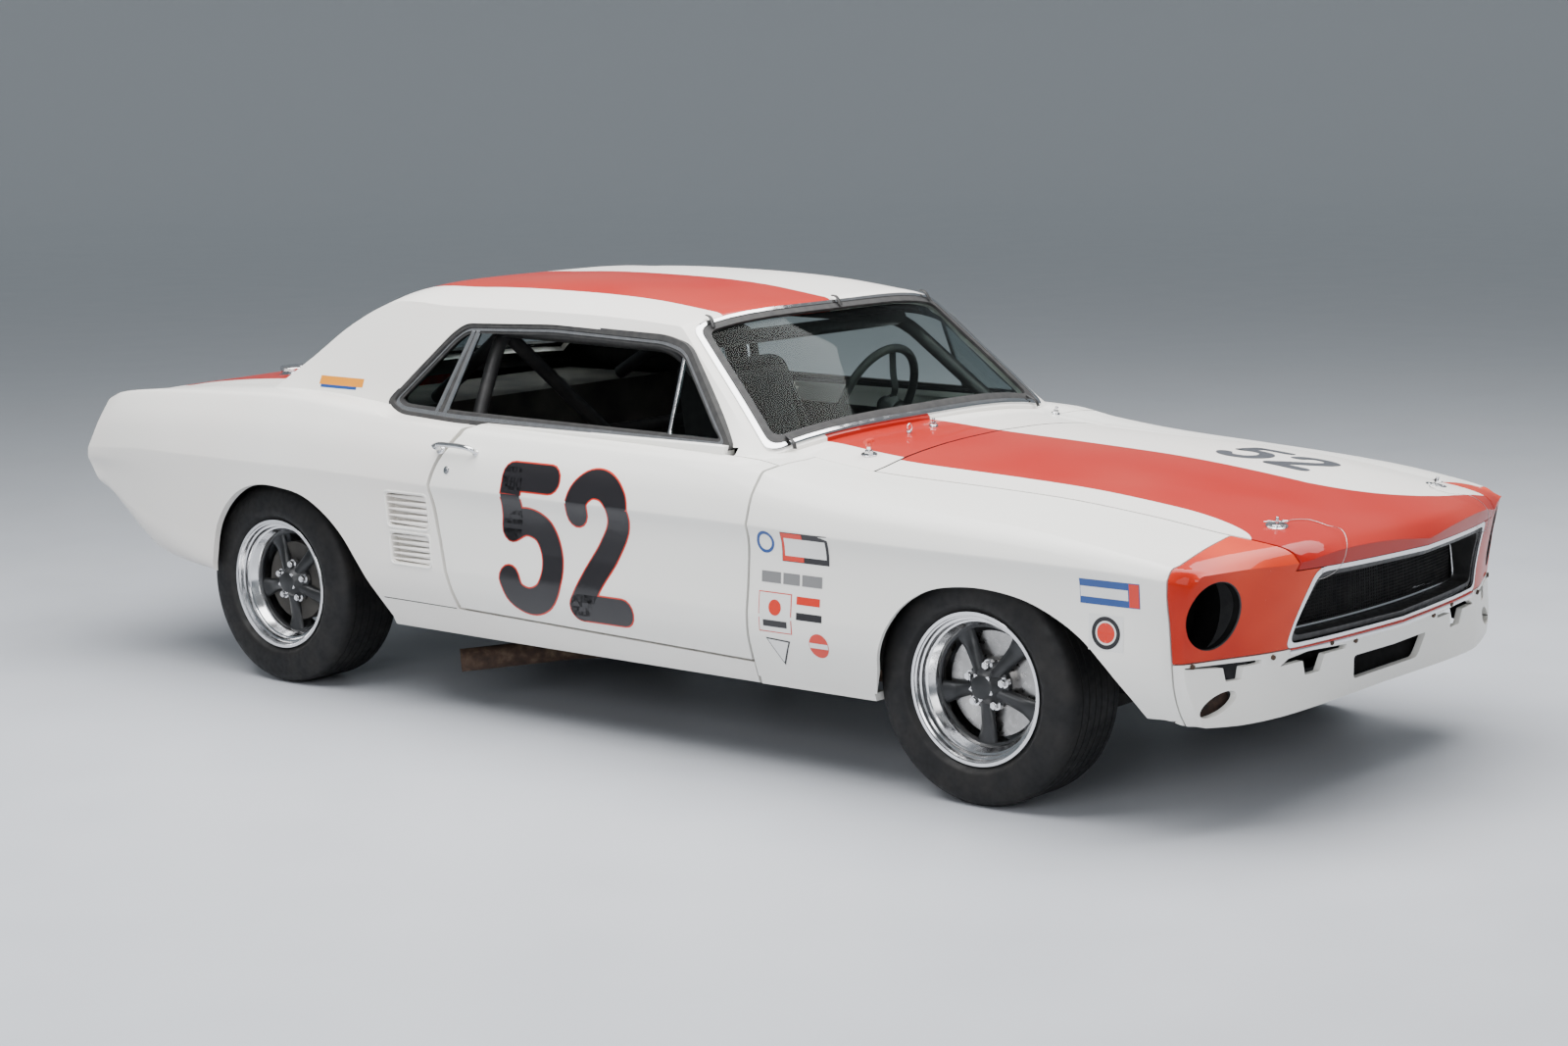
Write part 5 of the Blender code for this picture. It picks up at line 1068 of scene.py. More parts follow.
FINISHES = {
    "white": white_paint(),
    "orange": orange_paint(),
    "striped": striped_paint(),
    "hood": hood_paint(),
    "black": satin_black("satin_black"),
    "tunnel": satin_black("tunnel_black"),
    "crackle": mottled("crackle_black", grey(0.02, 0.001), 0.7, 0.0, (40.0, 5.0), (0.3, grey(0.014, 0.001)),
                       (0.7, (0.034, 0.033, 0.032)), grain=(420.0, 6.0, 0.30)),
    "chrome": polished("polished_trim", (0.78, 0.78, 0.79), 0.06, 0.20),
    "lip": polished("polished_lip", (0.80, 0.80, 0.81), 0.10, 0.26),
    "grey": mottled("spoke_grey", (0.028, 0.029, 0.031), 0.36, 0.4, (14.0, 4.0), (0.3, (0.020, 0.021, 0.022)),
                    (0.7, (0.040, 0.041, 0.043)), grain=(520.0, 4.0, 0.10)),
    "rubber": mottled("tyre_rubber", grey(0.012, 0.0005), 0.7, 0.0, (14.0, 6.0), (0.40, grey(0.0080, 0.0005)),
                      (0.80, (0.020, 0.0185, 0.0170)), rough=((55.0, 4.0), (0.3, 0.48), (0.7, 0.70)),
                      grain=(480.0, 5.0, 0.12), Specular_IOR_Level=0.28),
    "under": mottled("underside_grey", (0.05, 0.048, 0.045), 0.75, 0.2, (7.0, 6.0),
                     (0.3, (0.022, 0.021, 0.020)), (0.75, (0.085, 0.078, 0.068)), grain=(160.0, 5.0, 0.25)),
    "iron": mottled("cast_iron", (0.12, 0.115, 0.11), 0.55, 0.8, (22.0, 5.0), (0.3, (0.07, 0.066, 0.062)),
                    (0.7, (0.20, 0.19, 0.18)), grain=(300.0, 4.0, 0.2)),
    "machined": mottled("machined_steel", (0.45, 0.44, 0.43), 0.3, 1.0, (12.0, 5.0),
                        (0.3, (0.34, 0.33, 0.32)), (0.7, (0.52, 0.51, 0.50)),
                        rough=((60.0, 3.0, (0.02, 1, 1)), (0.3, 0.22), (0.7, 0.40))),
    "rust": mottled("heat_rust", (0.06, 0.035, 0.024), 0.85, 0.2, (34.0, 8.0), (0.25, (0.020, 0.013, 0.010)),
                    (0.5, (0.060, 0.034, 0.022)), (0.8, (0.150, 0.105, 0.070)), grain=(210.0, 8.0, 0.5)),
    "blank": mottled("dark_rust", (0.030, 0.016, 0.011), 0.8, 0.1, (60.0, 7.0), (0.3, (0.012, 0.008, 0.007)),
                     (0.75, (0.060, 0.030, 0.019)), grain=(260.0, 6.0, 0.3)),
    # Near-black painted shade for holes and sheets where only shade is seen; the sill seam uses it as a dark
    # joint line.
    "void": mottled("deep_shade", grey(0.004), 0.9, 0.0, (30.0, 4.0), (0.3, grey(0.003)), (0.7, grey(0.008)),
                    Specular_IOR_Level=0.1),
    "wire": mottled("woven_wire", grey(0.02, 0.001), 0.75, 0.0, (30.0, 4.0), (0.3, grey(0.012, 0.001)),
                    (0.7, (0.030, 0.029, 0.028)), Specular_IOR_Level=0.2),
    "windscreen": clear_glass("windscreen_glass", 0.62, 0.70, 0.68),
    "tinted": clear_glass("side_glass", 0.45, 0.50, 0.50),
    "lens": red_lens(),
    "vinyl": vinyl(),
    "cloth": seat_cloth(),
    "webbing": webbing(),
    "core": radiator_core(),
    "numeral": numeral("numeral_black", 0.014, 0.013, 0.015),
    "grey_numeral": numeral("numeral_grey", 0.075, 0.078, 0.090),
    "outline": numeral("outline_red", 0.62, 0.035, 0.018),
    "sticker_blue": numeral("sticker_blue", 0.020, 0.070, 0.260),
    "sticker_white": numeral("sticker_white", 0.78, 0.78, 0.76),
    "sticker_grey": numeral("sticker_grey", 0.20, 0.20, 0.20),
    "sticker_amber": numeral("sticker_amber", 0.75, 0.28, 0.02),
}
PAINT = {key: finish.material for key, finish in FINISHES.items()}


def fit(obj, body, slot, paint, angle, replaced=None):
    """Dresses a piece in a finish, smooths it, hangs it on its body and hides the node it stands for."""
    piece(obj, body, slot, PAINT[paint])
    smooth(obj, angle)
    if replaced:
        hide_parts(replaced)
    return obj


# Body skins

def inner_tree(*objects):
    meshes = [obj.data for obj in objects]
    return [BVHTree.FromPolygons([v.co for v in mesh.vertices], [tuple(p.vertices) for p in mesh.polygons])
            for mesh in meshes]


def line_inside(obj, trees):
    """Gives the faces that came from the inner wall the second material."""
    reach = 0.0008
    for face in obj.data.polygons:
        distances = [t.find_nearest(face.center)[3] for t in trees]
        face.material_index = 1 if any(d is not None and d < reach for d in distances) else 0


def skin(obj, body, slot, outer, linings, replaced):
    """A painted panel: outside in paint, and satin black where it was cut by its linings."""
    trees = inner_tree(*linings)
    for lining in linings:
        drop(lining)
    piece(obj, body, slot, PAINT[outer], PAINT["black"])
    line_inside(obj, trees)
    smooth(obj, 32)
    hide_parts(replaced)


SCOOPS = ((0.577, 0.675, 1.985, 2.155), (0.465, 0.553, 1.975, 2.140))
SCOOP_FLOOR = 0.864
SLAT_COUNT = 5


def scoop_outline(scoop, grow=0.0):
    """A scoop's rounded outline, leaning with the panel's rear edge."""
    z_low, z_high, s_from, s_to = scoop
    lean = 0.010
    corners = [(s_from - grow - lean, z_low - grow), (s_to + grow - lean, z_low - grow),
               (s_to + grow, z_high + grow), (s_from - grow, z_high + grow)]
    return round_corners(corners, 0.016, 5)


def scoops(word, side):
    """Two recesses behind the door: what they cut, and slats that thin out towards their open rear ends."""
    cuts, slats = [], []
    for scoop in SCOOPS:
        z_low, z_high, s_from, s_to = scoop
        cuts.append(side_prism("scoop_" + word, scoop_outline(scoop), side * SCOOP_FLOOR, side * OUTSIDE_X))
        pitch = (z_high - z_low) / SLAT_COUNT
        for k in range(SLAT_COUNT):
            z = z_low + pitch * (k + 0.5)
            ends = []
            for s, thick in ((s_from - 0.006, pitch * 0.80), (s_to + 0.001, pitch * 0.22)):
                section = [(SCOOP_FLOOR - 0.002, -thick / 2), (0.8885, -thick / 2), (0.8920, 0.0),
                           (0.8885, thick / 2), (SCOOP_FLOOR - 0.002, thick / 2)]
                ends.append([spot(side * x, s, z + rise) for x, rise in section])
            slats.append(prism("slat_" + word, ends[0], ends[1]))
    return cuts, slats


def body_skin():
    """The unit body: cowl, pillars, roof, sills, quarters and tail."""
    shell = hull("body_skin")
    fuse(shell, greenhouse("greenhouse_outside"))
    cut(shell, hull("inside", BODY_WALL), greenhouse("greenhouse_inside", ROOF_WALL))
    cutters = [box("front_clearance", (-FAR, -1.2, 0.0), (FAR, HOOD_REAR + MOVING_GAP / 2, ABOVE)),
               plan_prism("trunk_opening", trunk_outline(MOVING_GAP / 2), 0.80, ABOVE),
               pane("windscreen_opening", 0, 3, 0.925, 0.055, 0.93, 0.09, -0.09),
               pane("rear_window_opening", 10, 7, 0.88, 0.09, 0.90, 0.09, -0.09)]
    for word, side in SIDES:
        cutters.append(door_prism("door_opening", side, MOVING_GAP / 2, 0.7505, 0.90))
        cutters.append(box("sill_strip", (side * 0.50, 0.880, 0.50), (side * 0.752, 1.935, 0.884)))
        window = round_corners(WINDOW_OUTLINE, WINDOW_CORNER, 5)
        for name, outline, inner_x in (("window_opening", window, 0.50),
                                       ("fender_room", fender_outline(PANEL_GAP / 2), COWL_HALF),
                                       ("rear_arch", arch_outline(REAR_ARCH), 0.50)):
            cutters.append(side_prism(name, outline, side * inner_x, side * OUTSIDE_X))
        ends = [(side * x, WHEELBASE, REAR_TYRE_RADIUS) for x in (0.50, TYRE_OUTER_X + 0.022)]
        cutters.append(rod("wheel_room", *ends, REAR_TYRE_RADIUS + 0.030, sides=64))
    cut(shell, *cutters)
    for word, side in SIDES:
        cuts, slats = scoops(word, side)
        cut(shell, *cuts)
        fuse(shell, *slats)
    ledge = hull("trunk_ledge", LID_WALL + 0.0006)
    keep(ledge, plan_prism("ledge_outside", trunk_outline(0.012), 0.80, ABOVE))
    cut(ledge, plan_prism("ledge_inside", trunk_outline(-0.020), 0.70, ABOVE), hull("ledge_under", BODY_WALL))
    fuse(shell, ledge)
    cuts = []
    for word, side in SIDES:
        for x in TAIL_LAMPS:
            low, high = (side * x - 0.034, 3.54, 0.725), (side * x + 0.034, 3.75, 0.845)
            cuts.append(box("tail_lamp_cut", low, high))
    cut(shell, *cuts)
    linings = (hull("inside", BODY_WALL), greenhouse("greenhouse_inside", ROOF_WALL))
    skin(shell, BODY, "body_white", "striped", linings, "body_shell")


def hood_skin():
    panel = hull("hood_skin")
    keep(panel, plan_prism("hood_plan", hood_outline(-MOVING_GAP / 2), 0.672, ABOVE))
    cut(panel, hull("hood_inside", HOOD_WALL))
    for side in (-1, 1):
        x, s, z = side * HOOD_PIN[0], HOOD_PIN[1], HOOD_PIN[2]
        cut(panel, rod("pin_hole", (x, s, z - 0.10), (x, s, z + 0.10), 0.0105, sides=24))
    skin(panel, "hood", "nose_orange", "hood", (hull("hood_inside", HOOD_WALL),), "hood")


def lid_skin():
    panel = hull("trunk_lid_skin")
    keep(panel, plan_prism("lid_plan", trunk_outline(-MOVING_GAP / 2), 0.80, ABOVE))
    cut(panel, hull("lid_inside", LID_WALL))
    x, s, z = FILLER
    cut(panel, rod("filler_hole", (x, s, z - 0.05), (x, s, z + 0.05), 0.0506, sides=48))
    skin(panel, "trunk_lid", "body_white", "striped", (hull("lid_inside", LID_WALL),), "trunk_lid")


FENDER_LIP = 0.272


def fender_skin(word, side):
    """A front fender, whose foot below the arch is a plain rolled lip."""
    panel = hull("fender_skin_" + word)
    keep(panel, side_prism("fender_side", fender_outline(-PANEL_GAP / 2), side * 0.30, side * OUTSIDE_X))
    cowl = COWL_HALF + PANEL_GAP / 2
    cut(panel, hull("fender_inside", FENDER_WALL),
        plan_prism("fender_top", hood_outline(MOVING_GAP / 2), 0.60, ABOVE),
        box("fender_cowl", (-cowl, 0.45, 0.2), (cowl, 0.9, ABOVE)),
        side_prism("front_arch", arch_outline(FRONT_ARCH), side * 0.40, side * OUTSIDE_X),
        box("fender_floor", (-0.76, -0.9, 0.0), (0.76, 0.9, 0.60)))
    edge_low, edge_high = (side * 0.70, 0.280, 0.20), (side * OUTSIDE_X, DOOR_FRONT + 0.01, FENDER_LIP)
    cut(panel, box("ragged_edge", edge_low, edge_high))
    lip_top = FENDER_LIP + 0.0004
    section = [(0.800, SILL_HEIGHT), (0.8420, SILL_HEIGHT), (0.8494, lip_top), (0.800, lip_top)]
    ends = [[spot(side * x, s, z) for x, z in section] for s in (0.312, DOOR_FRONT - PANEL_GAP / 2)]
    fuse(panel, prism("fender_lip", *ends))
    lining = hull("fender_inside", FENDER_WALL)
    skin(panel, BODY, "body_white", "white", (lining,), "front_fender_" + word)


GRILLE_FOOT = (0.520, 0.4600)
GRILLE_HEAD = (0.463, 0.6705)


def grille_ring(grow):
    """The grille opening's outline: wider at its foot, round at the corners."""
    foot_x, foot_z = GRILLE_FOOT[0] + grow, GRILLE_FOOT[1] - grow
    head_x, head_z = GRILLE_HEAD[0] + grow, GRILLE_HEAD[1] + grow
    corners = [(-foot_x, foot_z), (foot_x, foot_z), (head_x, head_z), (-head_x, head_z)]
    return round_corners(corners, 0.030, 6)


def grille_prism(name, grow, s_front, s_rear, rear_grow=None):
    """The grille's outline carried from one station to another, with its own size at the rear."""
    front, rear = grille_ring(grow), grille_ring(grow if rear_grow is None else rear_grow)
    return prism(name, [spot(x, s_front, z) for x, z in front], [spot(x, s_rear, z) for x, z in rear])


def bucket_skin(word, side):
    """The fender's nose piece with its round hole, whose lamp is missing."""
    panel = hull("lamp_bucket_skin_" + word)
    rear = SEAM_FRONT - PANEL_GAP / 2
    keep(panel, box("bucket_block", (side * 0.440, -1.0, 0.462), (side * OUTSIDE_X, rear, 1.0)))
    cut(panel, hull("bucket_inside", BUCKET_WALL),
        plan_prism("bucket_hood", hood_outline(MOVING_GAP / 2), 0.6690, ABOVE))
    ring = circle(LAMP_HALF, 64, (side * LAMP_X, LAMP_Z), LAMP_RISE)
    cut(panel, prism("lamp_hole", [spot(x, -0.60, z) for x, z in ring], [spot(x, -1.0, z) for x, z in ring]),
        grille_prism("grille_room", 0.0010, -1.1, -0.40))
    lining = hull("bucket_inside", BUCKET_WALL)
    skin(panel, BODY, "nose_orange", "orange", (lining,), "lamp_bucket_" + word)


PORT_TILT = 0.36
PORT_X = 0.728
PORT_Z = 0.347
DUCT_OUTLINE = [(-0.175, 0.327), (0.175, 0.327), (0.200, 0.395), (-0.200, 0.395)]
OUTER_SLOT = [(0.595, 0.446), (0.595, 0.436), (0.650, 0.434), (0.656, 0.402), (0.703, 0.402), (0.710, 0.438),
              (0.820, 0.446), (0.820, 0.450)]
INNER_SLOT = [(0.250, 0.436), (0.255, 0.424), (0.345, 0.424), (0.360, 0.380), (0.425, 0.380), (0.440, 0.420),
              (0.530, 0.418), (0.500, 0.434), (0.420, 0.444)]


def front_cut(name, ring):
    """A cutter through the apron from an outline of (x, z) seen from the front."""
    return prism(name, [spot(x, -0.55, z) for x, z in ring], [spot(x, -1.0, z) for x, z in ring])


def valance_skin():
    """The apron below the grille, with the slots its bumper brackets passed through."""
    panel = hull("valance_skin")
    rear = SEAM_FRONT - PANEL_GAP / 2
    keep(panel, box("valance_block", (-OUTSIDE_X, -1.0, 0.20), (OUTSIDE_X, rear, 0.458)))
    cut(panel, hull("valance_inside", BUCKET_WALL))
    cuts = [front_cut("slot", round_corners(DUCT_OUTLINE, 0.014, 3))]
    turn, lean = math.cos(PORT_TILT), math.sin(PORT_TILT)
    for side in (-1, 1):
        cuts.append(front_cut("port", [(side * (PORT_X - a * turn + b * lean), PORT_Z + a * lean + b * turn)
                                       for a, b in circle(0.060, 48, rise=0.024)]))
        for slot in (OUTER_SLOT, INNER_SLOT):
            cuts.append(front_cut("slot", round_corners([(side * x, z) for x, z in slot], 0.003, 3)))
    cut(panel, *cuts)
    skin(panel, BODY, "body_white", "white", (hull("valance_inside", BUCKET_WALL),), "front_valance")


def door_skin(word, side):
    panel = hull("door_skin_" + word)
    keep(panel, door_prism("door_block", side, -MOVING_GAP / 2, 0.757, 0.95))
    cut(panel, hull("door_inside", DOOR_WALL))
    fuse(panel, box("window_rail", (side * 0.7160, 0.905, 0.862), (side * 0.765, 1.860, 0.8902), 0.003))
    lining = hull("door_inside", DOOR_WALL)
    skin(panel, "door_" + word, "body_white", "white", (lining,), "door_" + word)


body_skin()
hood_skin()
lid_skin()
valance_skin()
for WORD, SIDE in SIDES:
    fender_skin(WORD, SIDE)
    bucket_skin(WORD, SIDE)
    door_skin(WORD, SIDE)

OUTER = hull("outer_probe")
ROOF = greenhouse("roof_probe")
SKIN_TREES = inner_tree(OUTER, ROOF)
drop(OUTER)
drop(ROOF)


def ray_on_skin(origin, direction):
    """The nearest point and outward normal where a ray meets the outer skin."""
    hits = [t.ray_cast(origin, direction) for t in SKIN_TREES]
    hits = [h for h in hits if h[0] is not None]
    if not hits:
        return None, None
    best = min(hits, key=lambda h: h[3])
    normal = best[1] if best[1].dot(direction) < 0 else -best[1]
    return best[0], normal


def on_side(side, station, z):
    return ray_on_skin(Vector((side * FAR, at(station), z)), Vector((-side, 0, 0)))


def on_top(x, station):
    return ray_on_skin(Vector((x, at(station), 2.0)), Vector((0, 0, -1)))


def on_front(x, z):
    return ray_on_skin(Vector((x, at(-FAR), z)), Vector((0, 1, 0)))


# Wheels, tyres and brakes

def wheel_start(side, station, radius):
    return spot(side * TYRE_OUTER_X, station, radius)


def tyre(place, word, side, station, radius):
    """A wide racing tyre: ribs between shallow grooves, rounded shoulders, bead and a scuffed rim guard."""
    width = TYRE_WIDTH
    bead = RIM_RADIUS - 0.0095
    half = [(0.0205, bead), (0.0205, RIM_RADIUS + 0.0010), (0.0150, RIM_RADIUS + 0.0060), (0.0070, 0.2215),
            (0.0045, 0.2235), (0.0018, 0.2290), (0.0004, 0.2420), (0.0006, 0.2560), (0.0022, radius - 0.0480),
            (0.0034, radius - 0.0400), (0.0062, radius - 0.0290), (0.0110, radius - 0.0185),
            (0.0180, radius - 0.0095), (0.0270, radius - 0.0040), (0.0380, radius - 0.0014)]
    groove_half, groove_depth = 0.0022, 0.0040
    crown = []
    for middle in (0.052, 0.082, 0.112):
        top = radius - 0.0004
        crown += [(middle - groove_half, top), (middle - groove_half * 0.7, top - groove_depth),
                  (middle + groove_half * 0.7, top - groove_depth), (middle + groove_half, top)]
    outer = half + crown
    profile = outer + [(width - a, b) for a, b in reversed(outer)]
    name = "tyre_%s_%s" % (place, word)
    ring = turned(name + "_rubber", profile, wheel_start(side, station, radius), (-side, 0, 0), 120)
    fit(ring, "%s_wheel_%s" % (place, word), "tyre_rubber", "rubber", 40, name)


RIM_LIP = [(0.0120, 0.1980), (0.0118, 0.2066), (0.0126, 0.2075), (0.0202, 0.2075), (0.0203, 0.1977),
           (0.2297, 0.1977), (0.2298, 0.2075), (0.2380, 0.2075), (0.2380, 0.1890), (0.1000, 0.1600),
           (0.0820, 0.1600), (0.0660, 0.1640), (0.0640, 0.1655), (0.0460, 0.1760), (0.0440, 0.1810),
           (0.0400, 0.1835), (0.0300, 0.1850), (0.0280, 0.1900), (0.0180, 0.1930), (0.0155, 0.1968)]
SPOKE_STEPS = 12
LUG_CIRCLE = 0.0572
SPOKE_TURN = 130.0


def spoke_mesh(bm, side, station, hub_z, angle):
    """One spoke: narrow and proud at the hub, flared and set in at the rim, round across."""
    along = Vector((0, math.cos(angle), math.sin(angle)))
    across = Vector((0, -along.z, along.y))
    outward = Vector((side, 0, 0))
    centre = spot(0, station, hub_z)
    rings = []
    for i in range(SPOKE_STEPS + 1):
        t = i / SPOKE_STEPS
        reach = 0.030 + 0.137 * t
        half = 0.0185 + 0.0045 * t + 0.016 * t ** 4
        crown = 0.784 - 0.024 * min(1.0, t * 1.5) - 0.0005 * t
        depth = 0.018 * (1 - t) + 0.009
        ring = []
        for c, s in circle(1.0, 16):
            w = math.copysign(abs(c) ** 0.8, c) * half
            h = s * (depth if s > 0 else 0.004)
            ring.append(bm.verts.new(centre + along * reach + across * w + outward * (crown - depth + h)))
        rings.append(ring)
    join_rings(bm, rings)
    bm.faces.new(rings[0])
    bm.faces.new(rings[-1][::-1])


def wheel(place, word, side, station, radius):
    """Polished stepped rim, charcoal five-spoke centre, five nuts and the bright centre ring."""
    body = "%s_wheel_%s" % (place, word)
    name = "wheel_%s_%s" % (place, word)
    start = wheel_start(side, station, radius)
    rim = turned(name + "_rim", RIM_LIP, start, (-side, 0, 0), 120)
    fit(rim, body, "wheel_alloy", "lip", 25, name)
    bm = bmesh.new()
    for k in range(5):
        spoke_mesh(bm, side, station, radius, math.radians(SPOKE_TURN + 72 * k))
    spokes = new_object(name + "_spokes", finish_mesh(bm, name))
    hub = turned("hub", [(0.042, 0.0), (0.042, 0.030), (0.046, 0.036), (0.060, 0.046), (0.074, 0.058),
                         (0.0765, 0.066), (0.0895, 0.068), (0.0895, 0.0)], start, (-side, 0, 0), 60)
    ring = turned("spoke_ring", [(0.0785, 0.1560), (0.0775, 0.1630), (0.0890, 0.1630), (0.0890, 0.1560)],
                  start, (-side, 0, 0), 80)
    fuse(spokes, hub, ring)
    fit(spokes, body, "wheel_alloy", "grey", 35)
    nuts(name, body, side, station, radius)
    centre_ring(name, body, side, station, radius)


def nuts(name, body, side, station, radius):
    """Five nuts, each with its washer and its stud's end."""
    bm = bmesh.new()
    turn = Vector((side, 0, 0)).to_track_quat("Z", "Y").to_matrix().to_4x4()
    for k in range(5):
        angle = math.radians(SPOKE_TURN + 36 + 72 * k)
        s, z = station + LUG_CIRCLE * math.cos(angle), radius + LUG_CIRCLE * math.sin(angle)
        place = spot(side * 0.774, s, z)
        for low, high, r, sides in ((-0.016, 0.008, 0.0115, 6), (-0.018, -0.006, 0.0150, 24),
                                    (0.008, 0.011, 0.0080, 24)):
            made = bmesh.ops.create_cone(bm, cap_ends=True, segments=sides, radius1=r, radius2=r * 0.94,
                                         depth=high - low)["verts"]
            bmesh.ops.transform(bm, matrix=Matrix.Translation(place) @ turn @
                                Matrix.Translation((0, 0, (low + high) / 2)), verts=made)
    fit(new_object(name + "_nuts", finish_mesh(bm, name)), body, "chrome", "chrome", 30)


def centre_ring(name, body, side, station, radius):
    """A bright ring with five screwed ears round a black hub cap."""
    inner = circle(0.0265, 80)
    outer = []
    for c, s in circle(1.0, 80):
        ear = max(0.0, math.cos((math.atan2(s, c) - math.radians(SPOKE_TURN)) * 5)) ** 3
        r = 0.0315 + 0.0085 * ear
        outer.append((r * c, r * s))
    loops = []
    for ring, x in ((inner, 0.786), (inner, 0.7945), (outer, 0.7945), (outer, 0.786)):
        loops.append([spot(side * x, station + a, radius + b) for a, b in ring])
    plate = band(name + "_centre_ring", loops)
    screws = []
    for k in range(5):
        angle = math.radians(SPOKE_TURN + 72 * k)
        s, z = station + 0.0355 * math.cos(angle), radius + 0.0355 * math.sin(angle)
        screws.append(rod("screw", (side * 0.790, s, z), (side * 0.7970, s, z), 0.0026, 12))
    fuse(plate, *screws)
    fit(plate, body, "chrome", "lip", 30)
    cap_profile = [(0.080, 0.0), (0.080, 0.0262), (0.044, 0.0262), (0.0425, 0.0235), (0.0445, 0.0130),
                   (0.0430, 0.0110), (0.0430, 0.0)]
    hub_cap = turned(name + "_cap", cap_profile, wheel_start(side, station, radius), (-side, 0, 0), 48)
    fit(hub_cap, body, "black_paint", "black", 30)


def brake_disc(word, side):
    """A vented disc with slots round its edge and a hat."""
    start = spot(side * 0.7477, 0.0, FRONT_TYRE_RADIUS)
    profile = [(0.0, 0.0258), (0.0, 0.070), (0.0175, 0.070), (0.0175, 0.1425), (0.0260, 0.1425),
               (0.0262, 0.1340), (0.0308, 0.1340), (0.0310, 0.1425), (0.0395, 0.1425), (0.0395, 0.0258)]
    disc = turned("brake_disc_%s_iron" % word, profile, start, (-side, 0, 0), 96)
    fit(disc, "front_wheel_" + word, "chassis_steel", "machined", 30, "brake_disc_" + word)


for WORD, SIDE in SIDES:
    brake_disc(WORD, SIDE)
    for PLACE, STATION, RADIUS in (("front", 0.0, FRONT_TYRE_RADIUS), ("rear", WHEELBASE, REAR_TYRE_RADIUS)):
        tyre(PLACE, WORD, SIDE, STATION, RADIUS)
        wheel(PLACE, WORD, SIDE, STATION, RADIUS)


# Glass and its trim

def glass_panes():
    screen = pane("windshield_glass", 0, 3, 0.9242, 0.0562, 0.9288, -0.006, -0.006 - GLASS_WALL)
    piece(screen, BODY, "window_glass", PAINT["windscreen"])
    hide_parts("windshield")
    back = pane("rear_window_glass", 10, 7, 0.8792, 0.0912, 0.8988, -0.006, -0.006 - GLASS_WALL)
    piece(back, BODY, "window_glass", PAINT["tinted"])
    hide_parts("rear_window")
    for obj in (screen, back):
        smooth(obj, 30)


def pane_loop(ends, edge, v_from, v_to, corner, lift):
    """A closed loop with round corners on the windscreen or rear window."""
    ring = round_corners([(-edge, v_from), (edge, v_from), (edge, v_to), (-edge, v_to)], corner, 5)
    dense = []
    for (u, v), (nu, nv) in zip(ring, ring[1:] + ring[:1]):
        pieces = 14 if abs(nu - u) + abs(nv - v) > 0.5 else 1
        dense += [(u + (nu - u) * k / pieces, v + (nv - v) * k / pieces) for k in range(pieces)]
    return [pane_point(*ends, u, v, lift) for u, v in dense]


def pane_trim(word, ends, edge, v_from, v_to):
    """Black gasket and bright moulding round the windscreen or rear window."""
    shapes = (("gasket", "crackle", 0.010, -0.036, 0.055, (0.0040, -0.009)),
              ("moulding", "chrome", 0.034, 0.008, 0.075, (0.0080, -0.004)))
    for kind, paint, out, inn, corner, (high, low) in shapes:
        loops = []
        for grow, lift in ((out, low), (out, high * 0.6), ((out * 0.7 + inn * 0.3), high), (inn, high * 0.7),
                           (inn, low)):
            loops.append(pane_loop(ends, edge + grow, v_from - grow * 1.15, v_to + grow * 1.05, corner, lift))
        obj = band("%s_%s" % (word, kind), loops)
        fit(obj, BODY, "chrome" if paint == "chrome" else "black_paint", paint, 40)


glass_panes()
pane_trim("windscreen", (0, 3), 0.925, 0.055, 0.930)
pane_trim("rear_window", (10, 7), 0.880, 0.090, 0.900)


WINDOW_LEAN = 0.43


def window_x(z):
    """How far out the side windows' plane is at a height."""
    return GLASS_BASE_X - (z - GLASS_BASE_Z) * WINDOW_LEAN


def window_path(offset):
    """The side window's outline, moved inward, as dense points."""
    base = round_corners(WINDOW_OUTLINE, WINDOW_CORNER, 6)
    outline = round_corners(offset_outline(WINDOW_OUTLINE, -offset), WINDOW_CORNER, 6)
    dense = []
    for i, (s, z) in enumerate(outline):
        j = (i + 1) % len(outline)
        ns, nz = outline[j]
        count = max(1, int(math.dist(base[i], base[j]) / 0.03))
        dense += [(s + (ns - s) * k / count, z + (nz - z) * k / count) for k in range(count)]
    return dense


def window_trim(word, side):
    """Weatherstrips and dull bright frames round the side window, in three steps."""
    steps = (("drip_strip", "crackle", -0.004, 0.012, 0.010, -0.020),
             ("frame", "lip", 0.012, 0.023, 0.004, -0.016),
             ("run", "crackle", 0.023, 0.031, 0.000, -0.020))
    for kind, paint, from_edge, to_edge, proud, deep in steps:
        loops = []
        for inset, stand in ((from_edge, deep), (from_edge, proud), (to_edge, proud), (to_edge, deep)):
            loops.append([spot(side * (window_x(z) - 0.004 + stand), s, z) for s, z in window_path(inset)])
        slot = "chrome" if paint == "lip" else "black_paint"
        fit(band("window_%s_%s" % (kind, word), loops), BODY, slot, paint, 40)


